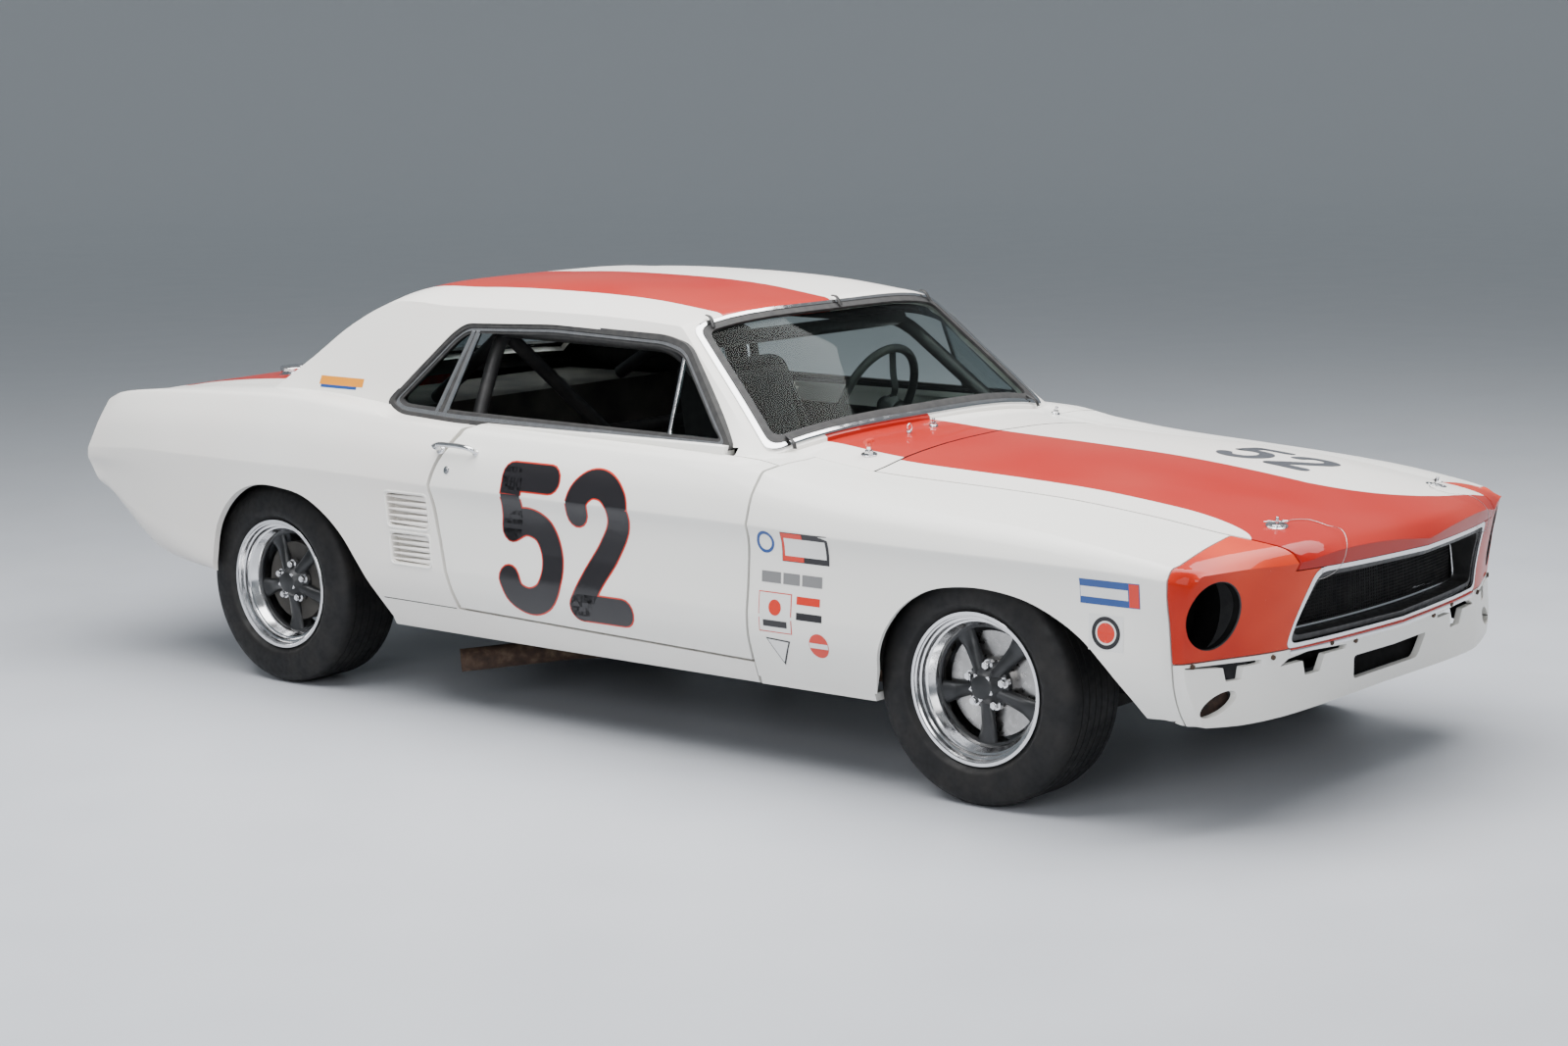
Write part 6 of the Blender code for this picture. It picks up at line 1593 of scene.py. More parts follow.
def posts(word, side):
    """Bright uprights between door glass and quarter glass, with rubber between, and the vent's frame."""
    out = (side, 0, 0)
    for name, paint, slot, foot, head, w, d in (
            ("quarter_post_", "chrome", "chrome", (2.104, 0.888), (2.024, 1.172), 0.009, 0.007),
            ("door_post_", "chrome", "chrome", (2.066, 0.888), (2.006, 1.172), 0.009, 0.007),
            ("post_rubber_", "crackle", "black_paint", (2.085, 0.888), (2.015, 1.172), 0.012, 0.004)):
        points = []
        for k in range(9):
            s, z = (a + (b - a) * k / 8 for a, b in zip(foot, head))
            points.append(spot(side * (window_x(z) - 0.010), s, z))
        section = [(-w, -d * 0.5), (-w * 0.6, -d), (w * 0.6, -d), (w, -d * 0.5), (w, d * 0.5), (w * 0.6, d),
                   (-w * 0.6, d), (-w, d * 0.5)]
        fit(sweep(name + word, points, section, up=out), BODY, slot, paint, 40)
    inset = [(0.937, 0.8935), (1.150, 1.118), (1.1665, 1.118), (1.150, 0.8935)]
    ring = [spot(side * (window_x(z) - 0.0145), s, z) for s, z in round_corners(inset, 0.02, 4)]
    vent = sweep("vent_frame_" + word, ring, crowned(0.006, -0.005, 0.003, 0.003, 0.005), closed=True, up=out)
    fit(vent, "door_" + word, "chrome", "lip", 40)


def side_sheet(name, side, outline, body, replaced):
    """A thin leaning pane in a side window."""
    faces = [[spot(side * (window_x(z) - inner), s, z) for s, z in outline] for inner in (0.012, 0.016)]
    obj = prism(name, *faces)
    piece(obj, body, "window_glass", PAINT["tinted"])
    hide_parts(replaced)


QUARTER_PANE = [(2.072, 0.8865), (2.028, 1.166), (2.060, 1.163), (2.102, 1.134), (2.298, 0.926),
                (2.244, 0.8965)]
VENT_PANE = [(0.925, 0.8905), (1.158, 1.132), (1.178, 1.132), (1.160, 0.8905)]

for WORD, SIDE in SIDES:
    window_trim(WORD, SIDE)
    posts(WORD, SIDE)
    side_sheet("quarter_glass_" + WORD, SIDE, QUARTER_PANE, BODY, "quarter_window_" + WORD)
    side_sheet("vent_glass_" + WORD, SIDE, VENT_PANE, "door_" + WORD, "vent_window_" + WORD)


# Nose: grille surround, tunnel, wire screen, bright strip and ports

def grille():
    """The bright surround follows the nose; a dark tunnel leads in to a bright inner frame and the screen."""
    surround = hull("grille_surround")
    keep(surround, grille_prism("surround_outside", -0.0005, -1.0, -0.70))
    cut(surround, grille_prism("surround_hole", -0.013, -1.1, -0.5), hull("surround_rear", 0.020))
    fit(surround, BODY, "chrome", "lip", 35, "grille_frame")
    tunnel = hull("grille_tunnel", 0.010)
    keep(tunnel, grille_prism("tunnel_outside", -0.003, -1.0, -0.690, -0.020))
    cut(tunnel, grille_prism("tunnel_hole", -0.016, -1.1, -0.680, -0.034))
    fit(tunnel, BODY, "black_paint", "tunnel", 35)
    corners = [(-0.482, 0.496), (0.482, 0.496), (0.436, 0.644), (-0.436, 0.644)]
    ring = [spot(x, -0.712 - nose_bow(x), z) for x, z in dense_ring(round_corners(corners, 0.030, 6), 0.04)]
    section = crowned(0.0045, -0.004, 0.002, 0.002, 0.004)
    frame_ring = sweep("grille_inner_frame", ring, section, closed=True, up=(0, -1, 0))
    fit(frame_ring, BODY, "chrome", "lip", 40)
    # A finned panel behind the screen, with painted shade between its fins and a painted highlight along its
    # middle.
    core = box("radiator_core", (-0.450, -0.672, 0.490), (0.450, -0.664, 0.648), 0.002)
    piece(core, BODY, "black_paint", PAINT["core"])


def dense_ring(outline, step):
    dense = []
    for i, (a, b) in enumerate(outline):
        na, nb = outline[(i + 1) % len(outline)]
        count = max(1, int(math.hypot(na - a, nb - b) / step))
        dense += [(a + (na - a) * k / count, b + (nb - b) * k / count) for k in range(count)]
    return dense


def nose_bow(x):
    """How far the grille's flat parts bow forward at a place across the car."""
    return 0.035 * (1 - (x / 0.45) ** 2)


def wire_screen():
    """The woven wire across the tunnel, bowed with the nose."""
    bm = bmesh.new()
    pitch, wire = 0.0085, 0.0011
    half, low, height = 0.45, 0.493, 0.152
    depth = -0.706
    columns, rows = int(2 * half / pitch), int(height / pitch)
    for i in range(columns + 1):
        x = -half + 2 * half * i / columns
        strand(bm, [spot(x, depth - nose_bow(x), z) for z in (low - 0.001, low + height + 0.001)], wire)
    places = [-half + 2 * half * k / 12 for k in range(13)]
    for j in range(rows + 1):
        z = low + height * j / rows
        strand(bm, [spot(x, depth - nose_bow(x) - 0.0016, z) for x in places], wire)
    mesh = bpy.data.meshes.new("grille_screen")
    bm.to_mesh(mesh)
    bm.free()
    obj = new_object("grille_screen", mesh)
    piece(obj, BODY, "black_paint", PAINT["wire"])
    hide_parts("grille_mesh")


def strand(bm, run, radius):
    """A square wire along a run of points."""
    rings = []
    for i, p in enumerate(run):
        along = (run[min(i + 1, len(run) - 1)] - run[max(i - 1, 0)]).normalized()
        side = along.cross(Vector((0, -1, 0))).normalized()
        lift = side.cross(along).normalized()
        rings.append([bm.verts.new(p + side * a * radius + lift * b * radius)
                      for a, b in ((1, 1), (-1, 1), (-1, -1), (1, -1))])
    join_rings(bm, rings)
    bm.faces.new(rings[0][::-1])
    bm.faces.new(rings[-1])


def nose_strip():
    """A bright strip with a thin red line along the foot of the surround."""
    for name, z, deep, paint, half in (("nose_strip", 0.4520, 0.0018, "lip", 0.0070),
                                       ("nose_line", 0.4590, 0.0026, "outline", 0.0014)):
        run = []
        for k in range(41):
            p, normal = on_front(-0.500 + 1.0 * k / 40, z)
            run.append(p + normal * deep)
        strip = sweep(name, run, crowned(half, -0.002, 0.0008, half * 0.5, 0.002), up=(0, -1, 0))
        fit(strip, BODY, "chrome", paint, 40)


def nose_bolts():
    """Bolt heads left where the bumper was, and a sheet in painted shade behind the middle slot."""
    heads = []
    for x, z in ((-0.800, 0.452), (0.800, 0.452), (-0.560, 0.447), (0.560, 0.447), (-0.330, 0.452),
                 (0.330, 0.452), (-0.215, 0.440), (0.215, 0.440)):
        p, normal = on_front(x, z)
        foot, top = place_of(p - normal * 0.003), place_of(p + normal * 0.006)
        heads.append(rod("bolt", foot, top, 0.0075, 6, 0.0068))
    bolts = fuse(heads[0], *heads[1:])
    bolts.name = "nose_bolts"
    fit(bolts, BODY, "black_paint", "rust", 30)
    # A near-black sheet behind the middle slot: painted shade where the duct is dark.
    duct = box("duct_shade_sheet", (-0.235, -0.736, 0.315), (0.235, -0.728, 0.410), 0.002)
    piece(duct, BODY, "black_paint", PAINT["void"])


def nose_holes(word, side):
    """The blank behind a port, and the rim, liner and well of a lamp hole; liner and well are in painted
    shade.
    """
    face, normal = on_front(side * PORT_X, PORT_Z)
    profile = [(0.0, 0.0), (0.0, 0.058), (0.002, 0.060), (0.006, 0.058), (0.006, 0.0)]
    blank = turned("port_blank_" + word, profile, face - normal * 0.030, -normal, 48)
    fit(blank, BODY, "exhaust_rust", "blank", 30)
    rim = [on_front(x, z)[0] + Vector((0, 0.004, 0))
           for x, z in circle(LAMP_HALF + 0.001, 48, (side * LAMP_X, LAMP_Z), LAMP_RISE + 0.001)]
    edge = sweep("lamp_rim_" + word, rim, circle(0.0035, 8), closed=True, up=(0, -1, 0))
    fit(edge, BODY, "black_paint", "black", 60)
    # The liner and the well use the near-black deep_shade finish: painted shade inside the hole, whose lamp
    # is missing.
    section = [(-0.0022, -0.020), (0.0022, -0.020), (0.0022, -0.001), (-0.0022, -0.001)]
    liner = sweep("lamp_liner_" + word, rim, section, closed=True, up=(0, -1, 0))
    fit(liner, BODY, "black_paint", "void", 40)
    profile = [(0.0, 0.0), (0.0, 0.100), (0.075, 0.100), (0.075, 0.097), (0.004, 0.095), (0.004, 0.0)]
    well = turned("lamp_well_" + word, profile, spot(side * 0.740, -0.560, LAMP_Z), (0, -1, 0), 48)
    fit(well, BODY, "black_paint", "void", 40)


grille()
wire_screen()
nose_strip()
nose_bolts()
for WORD, SIDE in SIDES:
    nose_holes(WORD, SIDE)


# Numerals and plain coloured markings, laid on the skin

def lay_on(points, side, lift, view):
    """Points of (a, b) on the skin, seen from the side or from above."""
    made = []
    for a, b in points:
        p, normal = on_side(side, a, b) if view == "side" else on_top(a, b)
        made.append(p + normal * lift)
    return made


def patch(name, faces, side, lift, view, body, paint, slot, grid=0.014):
    """Flat polygons cut into small faces and laid on the skin."""
    bm = bmesh.new()
    for face in faces:
        verts = [bm.verts.new((a, b, 0.0)) for a, b in face]
        bm.faces.new(verts)
    bmesh.ops.remove_doubles(bm, verts=bm.verts, dist=0.00005)
    for axis in range(2):
        values = [v.co[axis] for v in bm.verts]
        low, high = min(values), max(values)
        count = int((high - low) / grid)
        normal = Vector((1, 0, 0)) if axis == 0 else Vector((0, 1, 0))
        for k in range(1, count + 1):
            place = normal * (low + (high - low) * k / (count + 1))
            bmesh.ops.bisect_plane(bm, geom=bm.verts[:] + bm.edges[:] + bm.faces[:], plane_co=place,
                                   plane_no=normal)
    bmesh.ops.triangulate(bm, faces=bm.faces[:])
    spots = lay_on([(v.co.x, v.co.y) for v in bm.verts], side, lift, view)
    for v, p in zip(bm.verts, spots):
        v.co = p
    outward = Vector((side, 0, 0)) if view == "side" else Vector((0, 0, 1))
    bm.normal_update()
    flipped = [f for f in bm.faces if f.normal.dot(outward) < 0]
    bmesh.ops.reverse_faces(bm, faces=flipped)
    mesh = bpy.data.meshes.new(name)
    bm.to_mesh(mesh)
    bm.free()
    obj = new_object(name, mesh)
    piece(obj, body, slot, PAINT[paint])
    obj.data.shade_smooth()
    return obj


def stroke(points, half, caps=True):
    """Quads along a flat path, with rounded ends if it has caps: the strokes of a numeral."""
    spots = [Vector(p) for p in points]
    sides = []
    for before, here, after in zip(spots[:1] + spots, spots, spots[1:] + spots[-1:]):
        along = (after - before).normalized()
        normal = Vector((-along.y, along.x))
        sides.append((here + normal * half, here - normal * half))
    faces = [[tuple(a), tuple(b), tuple(d), tuple(c)] for (a, b), (c, d) in zip(sides, sides[1:])]
    if caps:
        for here, inner in ((spots[0], spots[1]), (spots[-1], spots[-2])):
            away = (here - inner).normalized()
            normal = Vector((-away.y, away.x))
            faces.append([tuple(here + normal * half * math.cos(math.pi * k / 8)
                                + away * half * math.sin(math.pi * k / 8)) for k in range(9)])
    return faces


def digit_path(digit):
    """A numeral's stroke in a box one high and a little over half as wide."""
    if digit == "5":
        top = [(0.44, 0.92), (0.10, 0.92)]
        stem = [(0.10, 0.92), (0.085, 0.57)]
        bowl = flowing([(0.085, 0.57), (0.20, 0.62), (0.36, 0.58), (0.45, 0.44), (0.46, 0.29), (0.38, 0.13),
                              (0.24, 0.08), (0.11, 0.13), (0.06, 0.22)])
        return [top, stem, bowl]
    bowl = flowing([(0.07, 0.72), (0.10, 0.84), (0.20, 0.92), (0.33, 0.91), (0.43, 0.82), (0.44, 0.68),
                          (0.36, 0.50), (0.22, 0.30), (0.09, 0.09)])
    return [bowl, [(0.09, 0.09), (0.47, 0.09)]]


def number(name, place, size, half, side, view, body, paint, lift, slot):
    """Two numerals whose strokes are one path each; place maps the text box to the skin."""
    for k, digit in enumerate("52"):
        faces = []
        for path in digit_path(digit):
            run = [place(x * size + k * size * 0.62, y * size) for x, y in path]
            faces += stroke(run, half)
        patch("%s_%d" % (name, k), faces, side, lift, view, body, paint, slot)


def door_number(word, side):
    """The start number, black with a thin red edge."""
    height, low = 0.435, 0.365
    start = 1.660 if side < 0 else 1.165

    def place(x, y):
        return start + side * x, low + y
    body = "door_" + word
    for name, half, paint, lift, slot in (("door_number_edge_", 0.0440, "outline", 0.0006, "lamp_red"),
                                          ("door_number_", 0.0395, "numeral", 0.0012, "black_paint")):
        number(name + word, place, height, half, side, "side", body, paint, lift, slot)


def hood_number():
    def place(x, y):
        return 0.125 + y, -0.130 - x
    number("hood_number", place, 0.26, 0.0225, 1, "top", "hood", "grey_numeral", 0.0010, "black_paint")


def ring_faces(mid, r_out, r_in):
    inner, outer = circle(r_in, 40, mid), circle(r_out, 40, mid)
    return [[inner[k - 1], outer[k - 1], outer[k], inner[k]] for k in range(40)]


def rectangle(s_a, z_a, s_b, z_b):
    return [[(s_a, z_a), (s_b, z_a), (s_b, z_b), (s_a, z_b)]]


def markings(word, side):
    """Plain rings, bars and fields of colour where small stickers sit."""
    items = (
        ("ring", ring_faces((0.653, 0.660), 0.031, 0.022), "sticker_blue", 0.0007),
        ("panel", rectangle(0.596, 0.612, 0.432, 0.694), "numeral", 0.0006),
        ("panel_red", rectangle(0.594, 0.614, 0.520, 0.692), "outline", 0.0011),
        ("panel_white", rectangle(0.585, 0.628, 0.441, 0.678), "sticker_white", 0.0016),
        ("bar", rectangle(0.668, 0.549, 0.600, 0.580) + rectangle(0.592, 0.549, 0.534, 0.580)
         + rectangle(0.526, 0.549, 0.456, 0.580), "sticker_grey", 0.0007),
        ("card", rectangle(0.676, 0.412, 0.560, 0.524), "outline", 0.0006),
        ("card_white", rectangle(0.673, 0.415, 0.563, 0.521), "sticker_white", 0.0011),
        ("card_disc", [circle(0.022, 40, (0.618, 0.482))], "outline", 0.0016),
        ("card_bar", rectangle(0.660, 0.428, 0.576, 0.446), "numeral", 0.0016),
        ("flag_red", rectangle(0.543, 0.498, 0.462, 0.520), "outline", 0.0007),
        ("flag_black", rectangle(0.543, 0.456, 0.454, 0.476), "numeral", 0.0007),
        ("triangle", [[(0.656, 0.396), (0.570, 0.392), (0.606, 0.318)]], "numeral", 0.0006),
        ("triangle_white", [[(0.650, 0.392), (0.577, 0.388), (0.608, 0.327)]], "sticker_white", 0.0011),
        ("spot", [circle(0.034, 40, (0.470, 0.390))], "outline", 0.0007),
        ("spot_bar", rectangle(0.502, 0.383, 0.438, 0.397), "sticker_white", 0.0012),
        ("nose_panel", rectangle(-0.372, 0.598, -0.548, 0.662), "sticker_blue", 0.0006),
        ("nose_panel_white", rectangle(-0.374, 0.616, -0.515, 0.643), "sticker_white", 0.0011),
        ("nose_panel_end", rectangle(-0.518, 0.600, -0.546, 0.660), "outline", 0.0011),
        ("nose_card", rectangle(-0.398, 0.482, -0.500, 0.574), "sticker_white", 0.0006),
        ("nose_ring", ring_faces((-0.449, 0.528), 0.042, 0.031), "numeral", 0.0011),
        ("nose_disc", [circle(0.026, 40, (-0.449, 0.528))], "outline", 0.0011),
    )
    for name, faces, paint, lift in items:
        patch("marking_%s_%s" % (name, word), faces, side, lift, "side", BODY, paint, "body_white", 0.03)


def pillar_strip(word, side):
    """A plain amber strip with a dark foot on the rear pillar."""
    for name, faces, paint in (("pillar_strip_", rectangle(2.650, 0.960, 2.442, 0.986), "sticker_amber"),
                               ("pillar_foot_", rectangle(2.640, 0.951, 2.470, 0.960), "sticker_blue")):
        patch(name + word, faces, side, 0.0006, "side", BODY, paint, "body_white", 0.02)


def side_details(word, side):
    """Raised beads round the scoops and the seam between sill and quarter panel."""
    beads = []
    for scoop in SCOOPS:
        run = [on_side(side, s, z)[0] for s, z in dense_ring(scoop_outline(scoop, 0.006), 0.02)]
        beads.append(sweep("bead", run, circle(0.0036, 10), closed=True, up=(side, 0, 0)))
    fit(joined("scoop_beads_" + word, beads), BODY, "body_white", "white", 50)
    seam = [(1.882 + 0.0315 * k, 0.3415 + 0.0003 * k) for k in range(11)]
    patch("sill_seam_" + word, stroke(seam, 0.0013, caps=False), side, 0.0005, "side", BODY, "void",
          "black_paint", 0.03)


for WORD, SIDE in SIDES:
    side_details(WORD, SIDE)
    door_number(WORD, SIDE)
    markings(WORD, SIDE)
    pillar_strip(WORD, SIDE)
hood_number()


# Fittings on the outside

def outward(side, station, z, height):
    """A point a height off the skin's side, as x, station, z."""
    p, normal = on_side(side, station, z)
    return place_of(p + normal * height)


def above(x, station, height):
    """A point a height off the skin's top, as x, station, z."""
    p, normal = on_top(x, station)
    return place_of(p + normal * height)


def stack(name, place, *rods):
    """Round parts along the skin's normal: foot, top, radius, sides, top radius and bevel of each."""
    return [rod(name, place(foot), place(top), *sizes) for foot, top, *sizes in rods]


def tube(name, points, radius, sides=12, split=6):
    """A round tube on a smooth run through a few x, station, z points."""
    return sweep(name, smooth_run([spot(*p) for p in points], split), circle(radius, sides))


def bent(corners, radius, steps=5):
    """Rounds the inner corners of an open run of x, station, z points."""
    spots = [spot(*c) for c in corners]
    made = spots[:1]
    for before, here, after in zip(spots, spots[1:], spots[2:]):
        made += arc(before, here, after, radius, steps)
    return made + spots[-1:]


def door_handle(word, side):
    """A pull handle on two feet with its push button, and the lock below."""
    run = ((1.786, 0.818, 0.004), (1.793, 0.820, 0.022), (1.830, 0.823, 0.029), (1.880, 0.824, 0.030),
           (1.930, 0.823, 0.027), (1.952, 0.821, 0.018))
    parts = [tube("handle_grip", [outward(side, *p) for p in run], 0.0078, 14)]
    front, rear, lock_place = [partial(outward, side, s, z) for s, z in
                               ((1.788, 0.818), (1.935, 0.818), (1.892, 0.762))]
    parts += stack("handle_foot", front, (-0.001, 0.007, 0.012, 28, 0.012 * 0.78, 0.0015))
    parts += stack("handle_button", rear, (-0.001, 0.007, 0.017, 28, 0.017 * 0.78, 0.0015),
                   (0.004, 0.029, 0.0105, 24, 0.0100, 0.0012), (0.027, 0.034, 0.0068, 20, 0.0066, 0.0008))
    handle = joined("door_handle_chrome_" + word, parts)
    fit(handle, "door_" + word, "chrome", "chrome", 40, "door_handle_" + word)
    lock = joined("door_lock_" + word, stack("lock", lock_place, (-0.001, 0.0032, 0.0125, 28, 0.0118, 0.0008),
                                             (0.002, 0.0052, 0.0075, 20, 0.0072, 0.0008)))
    fit(lock, "door_" + word, "chrome", "chrome", 40)


def hood_pin(word, side):
    """A scuff plate, the pin's tip, a safety clip with its ring, and the clip's wire tether."""
    x, s = side * HOOD_PIN[0], HOOD_PIN[1]
    pin = partial(above, x, s)
    parts = stack("plate", pin, (-0.0005, 0.0022, 0.030, 36, 0.029, 0.0006),
                  (0.0020, 0.0040, 0.0150, 28, 0.0145, 0.0005))
    for angle in (0.5, 2.6, 4.7):
        screw = partial(above, x + 0.022 * math.cos(angle), s + 0.022 * math.sin(angle))
        parts += stack("screw", screw, (0.0015, 0.0040, 0.0032, 12, 0.0028))
    fit(joined("hood_pin_plate_" + word, parts), "hood", "chrome", "chrome", 40)
    tx, ts, tz = pin(0.0105)
    loop = []
    for k in range(25):
        t = math.tau * k / 24
        across, along = 0.0105 * math.cos(t), 0.0105 * math.sin(t)
        loop.append((tx - side * 0.016 + across, ts - 0.014 + along, tz + 0.001))
    legs = [(tx + side * a, ts + b, tz + c) for a, b, c in ((-0.010, -0.006, 0.0), (0.002, 0.006, 0.0),
                                                            (0.012, 0.018, 0.002), (0.022, 0.026, 0.0))]
    clip = [tube("clip_ring", loop, 0.0013, 8, 2), tube("clip_leg", legs, 0.0015, 8)]
    clip += stack("pin_tip", pin, (-0.010, 0.024, 0.0058, 20, 0.0040, 0.001))
    fit(joined("hood_pin_clip_" + word, clip), "hood", "chrome", "chrome", 50)
    run = [above(side * a, b, 0.004) for a, b in ((0.424, -0.680), (0.379, -0.682), (0.338, -0.712),
                                                  (0.335, -0.765))]
    run += [(side * a, b, c) for a, b, c in ((0.356, -0.822, 0.752), (0.388, -0.853, 0.715),
                                             (0.410, -0.846, 0.668), (0.438, -0.815, 0.640),
                                             (0.447, -0.785, 0.634))]
    fit(tube("hood_pin_tether_" + word, run, 0.0008, 8, 5), "hood", "chrome", "machined", 60)


def kill_switch():
    """A chrome collar and stem with a red T handle, and the pull ring beside it."""
    place = partial(above, -0.493, 0.600)
    base = joined("kill_switch_collar", stack("collar", place, (-0.0005, 0.004, 0.024, 36, 0.023, 0.001),
                                              (0.003, 0.014, 0.0135, 6, 0.0130, 0.0008),
                                              (0.012, 0.036, 0.0060, 20, 0.0060, 0.0008)))
    fit(base, BODY, "chrome", "chrome", 40, "kill_switch")
    x, s, z = place(0.040)
    grip = tube("grip", [(x - 0.024, s - 0.006, z), (x, s, z + 0.002), (x + 0.024, s + 0.006, z)], 0.0068, 14)
    hub = stack("hub", place, (0.026, 0.046, 0.0088, 20, 0.0080, 0.001))
    fit(joined("kill_switch_handle", [grip] + hub), BODY, "lamp_red", "outline", 50)
    place = partial(above, -0.235, 0.655)
    height = place(0.018)[2]
    wire = []
    for k in range(21):
        t = math.tau * k / 20
        wire.append((-0.235 + 0.011 * math.cos(t), 0.652, height + 0.011 * math.sin(t)))
    parts = stack("ring_base", place, (-0.0005, 0.010, 0.009, 20, 0.007, 0.001))
    parts.append(tube("ring_wire", wire, 0.0017, 8, 2))
    fit(joined("pull_ring", parts), BODY, "chrome", "chrome", 50)


def fuel_filler():
    """A bolted flange, the flip cap's dome and its side lever."""
    x, s, z = FILLER
    flange = [(-0.020, 0.0), (-0.020, 0.0500), (0.0075, 0.0500), (0.0095, 0.0480), (0.0095, 0.0400),
              (0.020, 0.0390), (0.0215, 0.0375), (0.0215, 0.0)]
    dome = [(0.0220, 0.0), (0.0220, 0.0455), (0.0232, 0.0470), (0.0325, 0.0470), (0.0345, 0.0455),
            (0.0370, 0.0405), (0.0395, 0.0300), (0.0408, 0.0160), (0.0410, 0.0)]
    parts = [turned("filler", profile, spot(x, s, z), (0, 0, 1), 64) for profile in (flange, dome)]
    for k in range(8):
        angle = math.tau * (k + 0.5) / 8
        bx, bs = x + 0.0445 * math.cos(angle), s + 0.0445 * math.sin(angle)
        parts.append(rod("bolt", (bx, bs, z + 0.008), (bx, bs, z + 0.013), 0.0034, 6, 0.0032))
    for half, front, rear, low, high in ((0.012, 0.036, 0.054, 0.008, 0.036),
                                         (0.010, -0.056, -0.044, 0.012, 0.034)):
        parts.append(box("block", (x - half, s + front, z + low), (x + half, s + rear, z + high), 0.003))
    pin = [(x + a, s + 0.050, z + 0.030) for a in (-0.016, 0.016)]
    parts.append(rod("hinge_pin", *pin, 0.0035, 16))
    lever = [(x, s - a, z + b) for a, b in ((0.030, 0.040), (0.046, 0.0415), (0.058, 0.036), (0.061, 0.026))]
    parts.append(tube("lever", lever, 0.0052))
    fit(joined("fuel_filler_chrome", parts), "trunk_lid", "chrome", "chrome", 35, "fuel_filler")


def windscreen_clips():
    """Black straps that hold the screen to the roof and the cowl, and the wipers' bare pivots."""
    parts = []
    for u, v, way in ((-0.86, 0.955, 1), (0.02, 0.955, 1), (0.86, 0.955, 1), (-0.84, 0.02, -1),
                      (0.84, 0.02, -1)):
        run = [pane_point(0, HEADER, u, v + way * a, lift)
               for a, lift in ((-0.055, 0.008), (-0.030, 0.013), (0.012, 0.017), (0.040, 0.010))]
        normal = (pane_point(0, HEADER, u, v, 0.02) - pane_point(0, HEADER, u, v, 0.0)).normalized()
        section = crowned(0.0065, -0.0016, 0.0010, 0.0050, 0.0016)
        parts.append(sweep("clip", smooth_run(run, 4), section, up=normal))
    fit(joined("windscreen_clips", parts), BODY, "black_paint", "black", 40)
    pivots = []
    for x, s in ((-0.100, 0.668), (0.560, 0.690)):
        pivots += stack("pivot", partial(above, x, s), (-0.0005, 0.008, 0.0150, 28, 0.0125, 0.0015),
                        (0.007, 0.015, 0.0090, 6, 0.0085, 0.0006), (0.014, 0.026, 0.0050, 16, 0.0045, 0.0008))
    fit(joined("wiper_pivots", pivots), BODY, "chrome", "chrome", 35)


def tail_lamps(word, side):
    """Bright bezels round three tall red lenses."""
    half_x, half_z, mid_z = 0.0337, 0.0595, 0.785
    corners = [(-half_x, -half_z), (half_x, -half_z), (half_x, half_z), (-half_x, half_z)]
    outline = dense_ring(round_corners(corners, 0.009, 5), 0.012)
    for k, x in enumerate(TAIL_LAMPS):
        loop = [spot(side * x + a, 3.6335 - 0.10 * max(0.0, mid_z + b - 0.78), mid_z + b) for a, b in outline]
        bezel = sweep("tail_bezel_%s_%d" % (word, k), loop, crowned(0.0032, -0.004, 0.001, 0.0014, 0.0028),
                      closed=True, up=(0, 1, 0))
        fit(bezel, BODY, "chrome", "chrome", 40)


def dress(paint, *nodes):
    """Gives CAD nodes that keep their shape a procedural material."""
    for name in nodes:
        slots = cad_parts[name].data.materials
        if not len(slots):
            slots.append(PAINT[paint])
        for k in range(len(slots)):
            slots[k] = PAINT[paint]


# Cabin

CAGE_RADIUS = 0.0222
CAGE_X = 0.640
HOOP_STATION = 2.020
BULKHEAD = 2.420
CAGE_FOOT = 0.2623
DRIVER_X = 0.360
SEAT_HALF = 0.205
WHEEL_CENTRE = (DRIVER_X, 1.235, 0.890)
WHEEL_RAKE = math.radians(22.0)
RIM_CENTRE_RADIUS = 0.178


def cage_tube(corners, bend=0.10):
    return sweep("cage_tube", bent(corners, bend), circle(CAGE_RADIUS, 18))


def roll_cage():
    """Round tubes: main hoop, diagonal, harness bar, stays, legs, door bars and header, with foot plates."""
    hoop = HOOP_STATION
    half = [(-CAGE_X + 0.005, hoop, CAGE_FOOT), (-CAGE_X + 0.005, hoop, 0.86), (-0.500, hoop, 1.160)]
    parts = [cage_tube(half + [(-x, s, z) for x, s, z in reversed(half)]),
             cage_tube([(-0.500, hoop, 1.140), (0.0, hoop, 0.74), (0.630, hoop, 0.3123)], 0.01),
             cage_tube([(-0.633, hoop, 0.780), (0.0, hoop, 0.780), (0.633, hoop, 0.780)]),
             cage_tube([(-0.535, 1.270, 1.135), (0.0, 1.270, 1.135), (0.535, 1.270, 1.135)])]
    for side in (-1, 1):
        leg, shoulder = side * CAGE_X, (side * 0.535, 1.270, 1.135)
        parts += [cage_tube([(side * 0.480, hoop, 1.150), (side * 0.455, 2.20, 1.0275),
                             (side * 0.430, BULKHEAD - 0.020, 0.905)]),
                  cage_tube([(leg, 0.800, CAGE_FOOT), (leg, 0.800, 0.740), shoulder,
                             (side * 0.510, hoop, 1.146)], 0.08),
                  cage_tube([(leg, 0.800, 0.560), (side * 0.690, 1.250, 0.540), (side * 0.635, hoop, 0.600)]),
                  rod("foot_plate", (leg, 0.800, CAGE_FOOT), (leg, 0.800, CAGE_FOOT + 0.005), 0.050, 4,
                      0.050, 0.001)]
    fit(joined("roll_cage_tubes", parts), BODY, "black_paint", "black", 40, "roll_cage")


EXHAUST_RADIUS = 0.0355


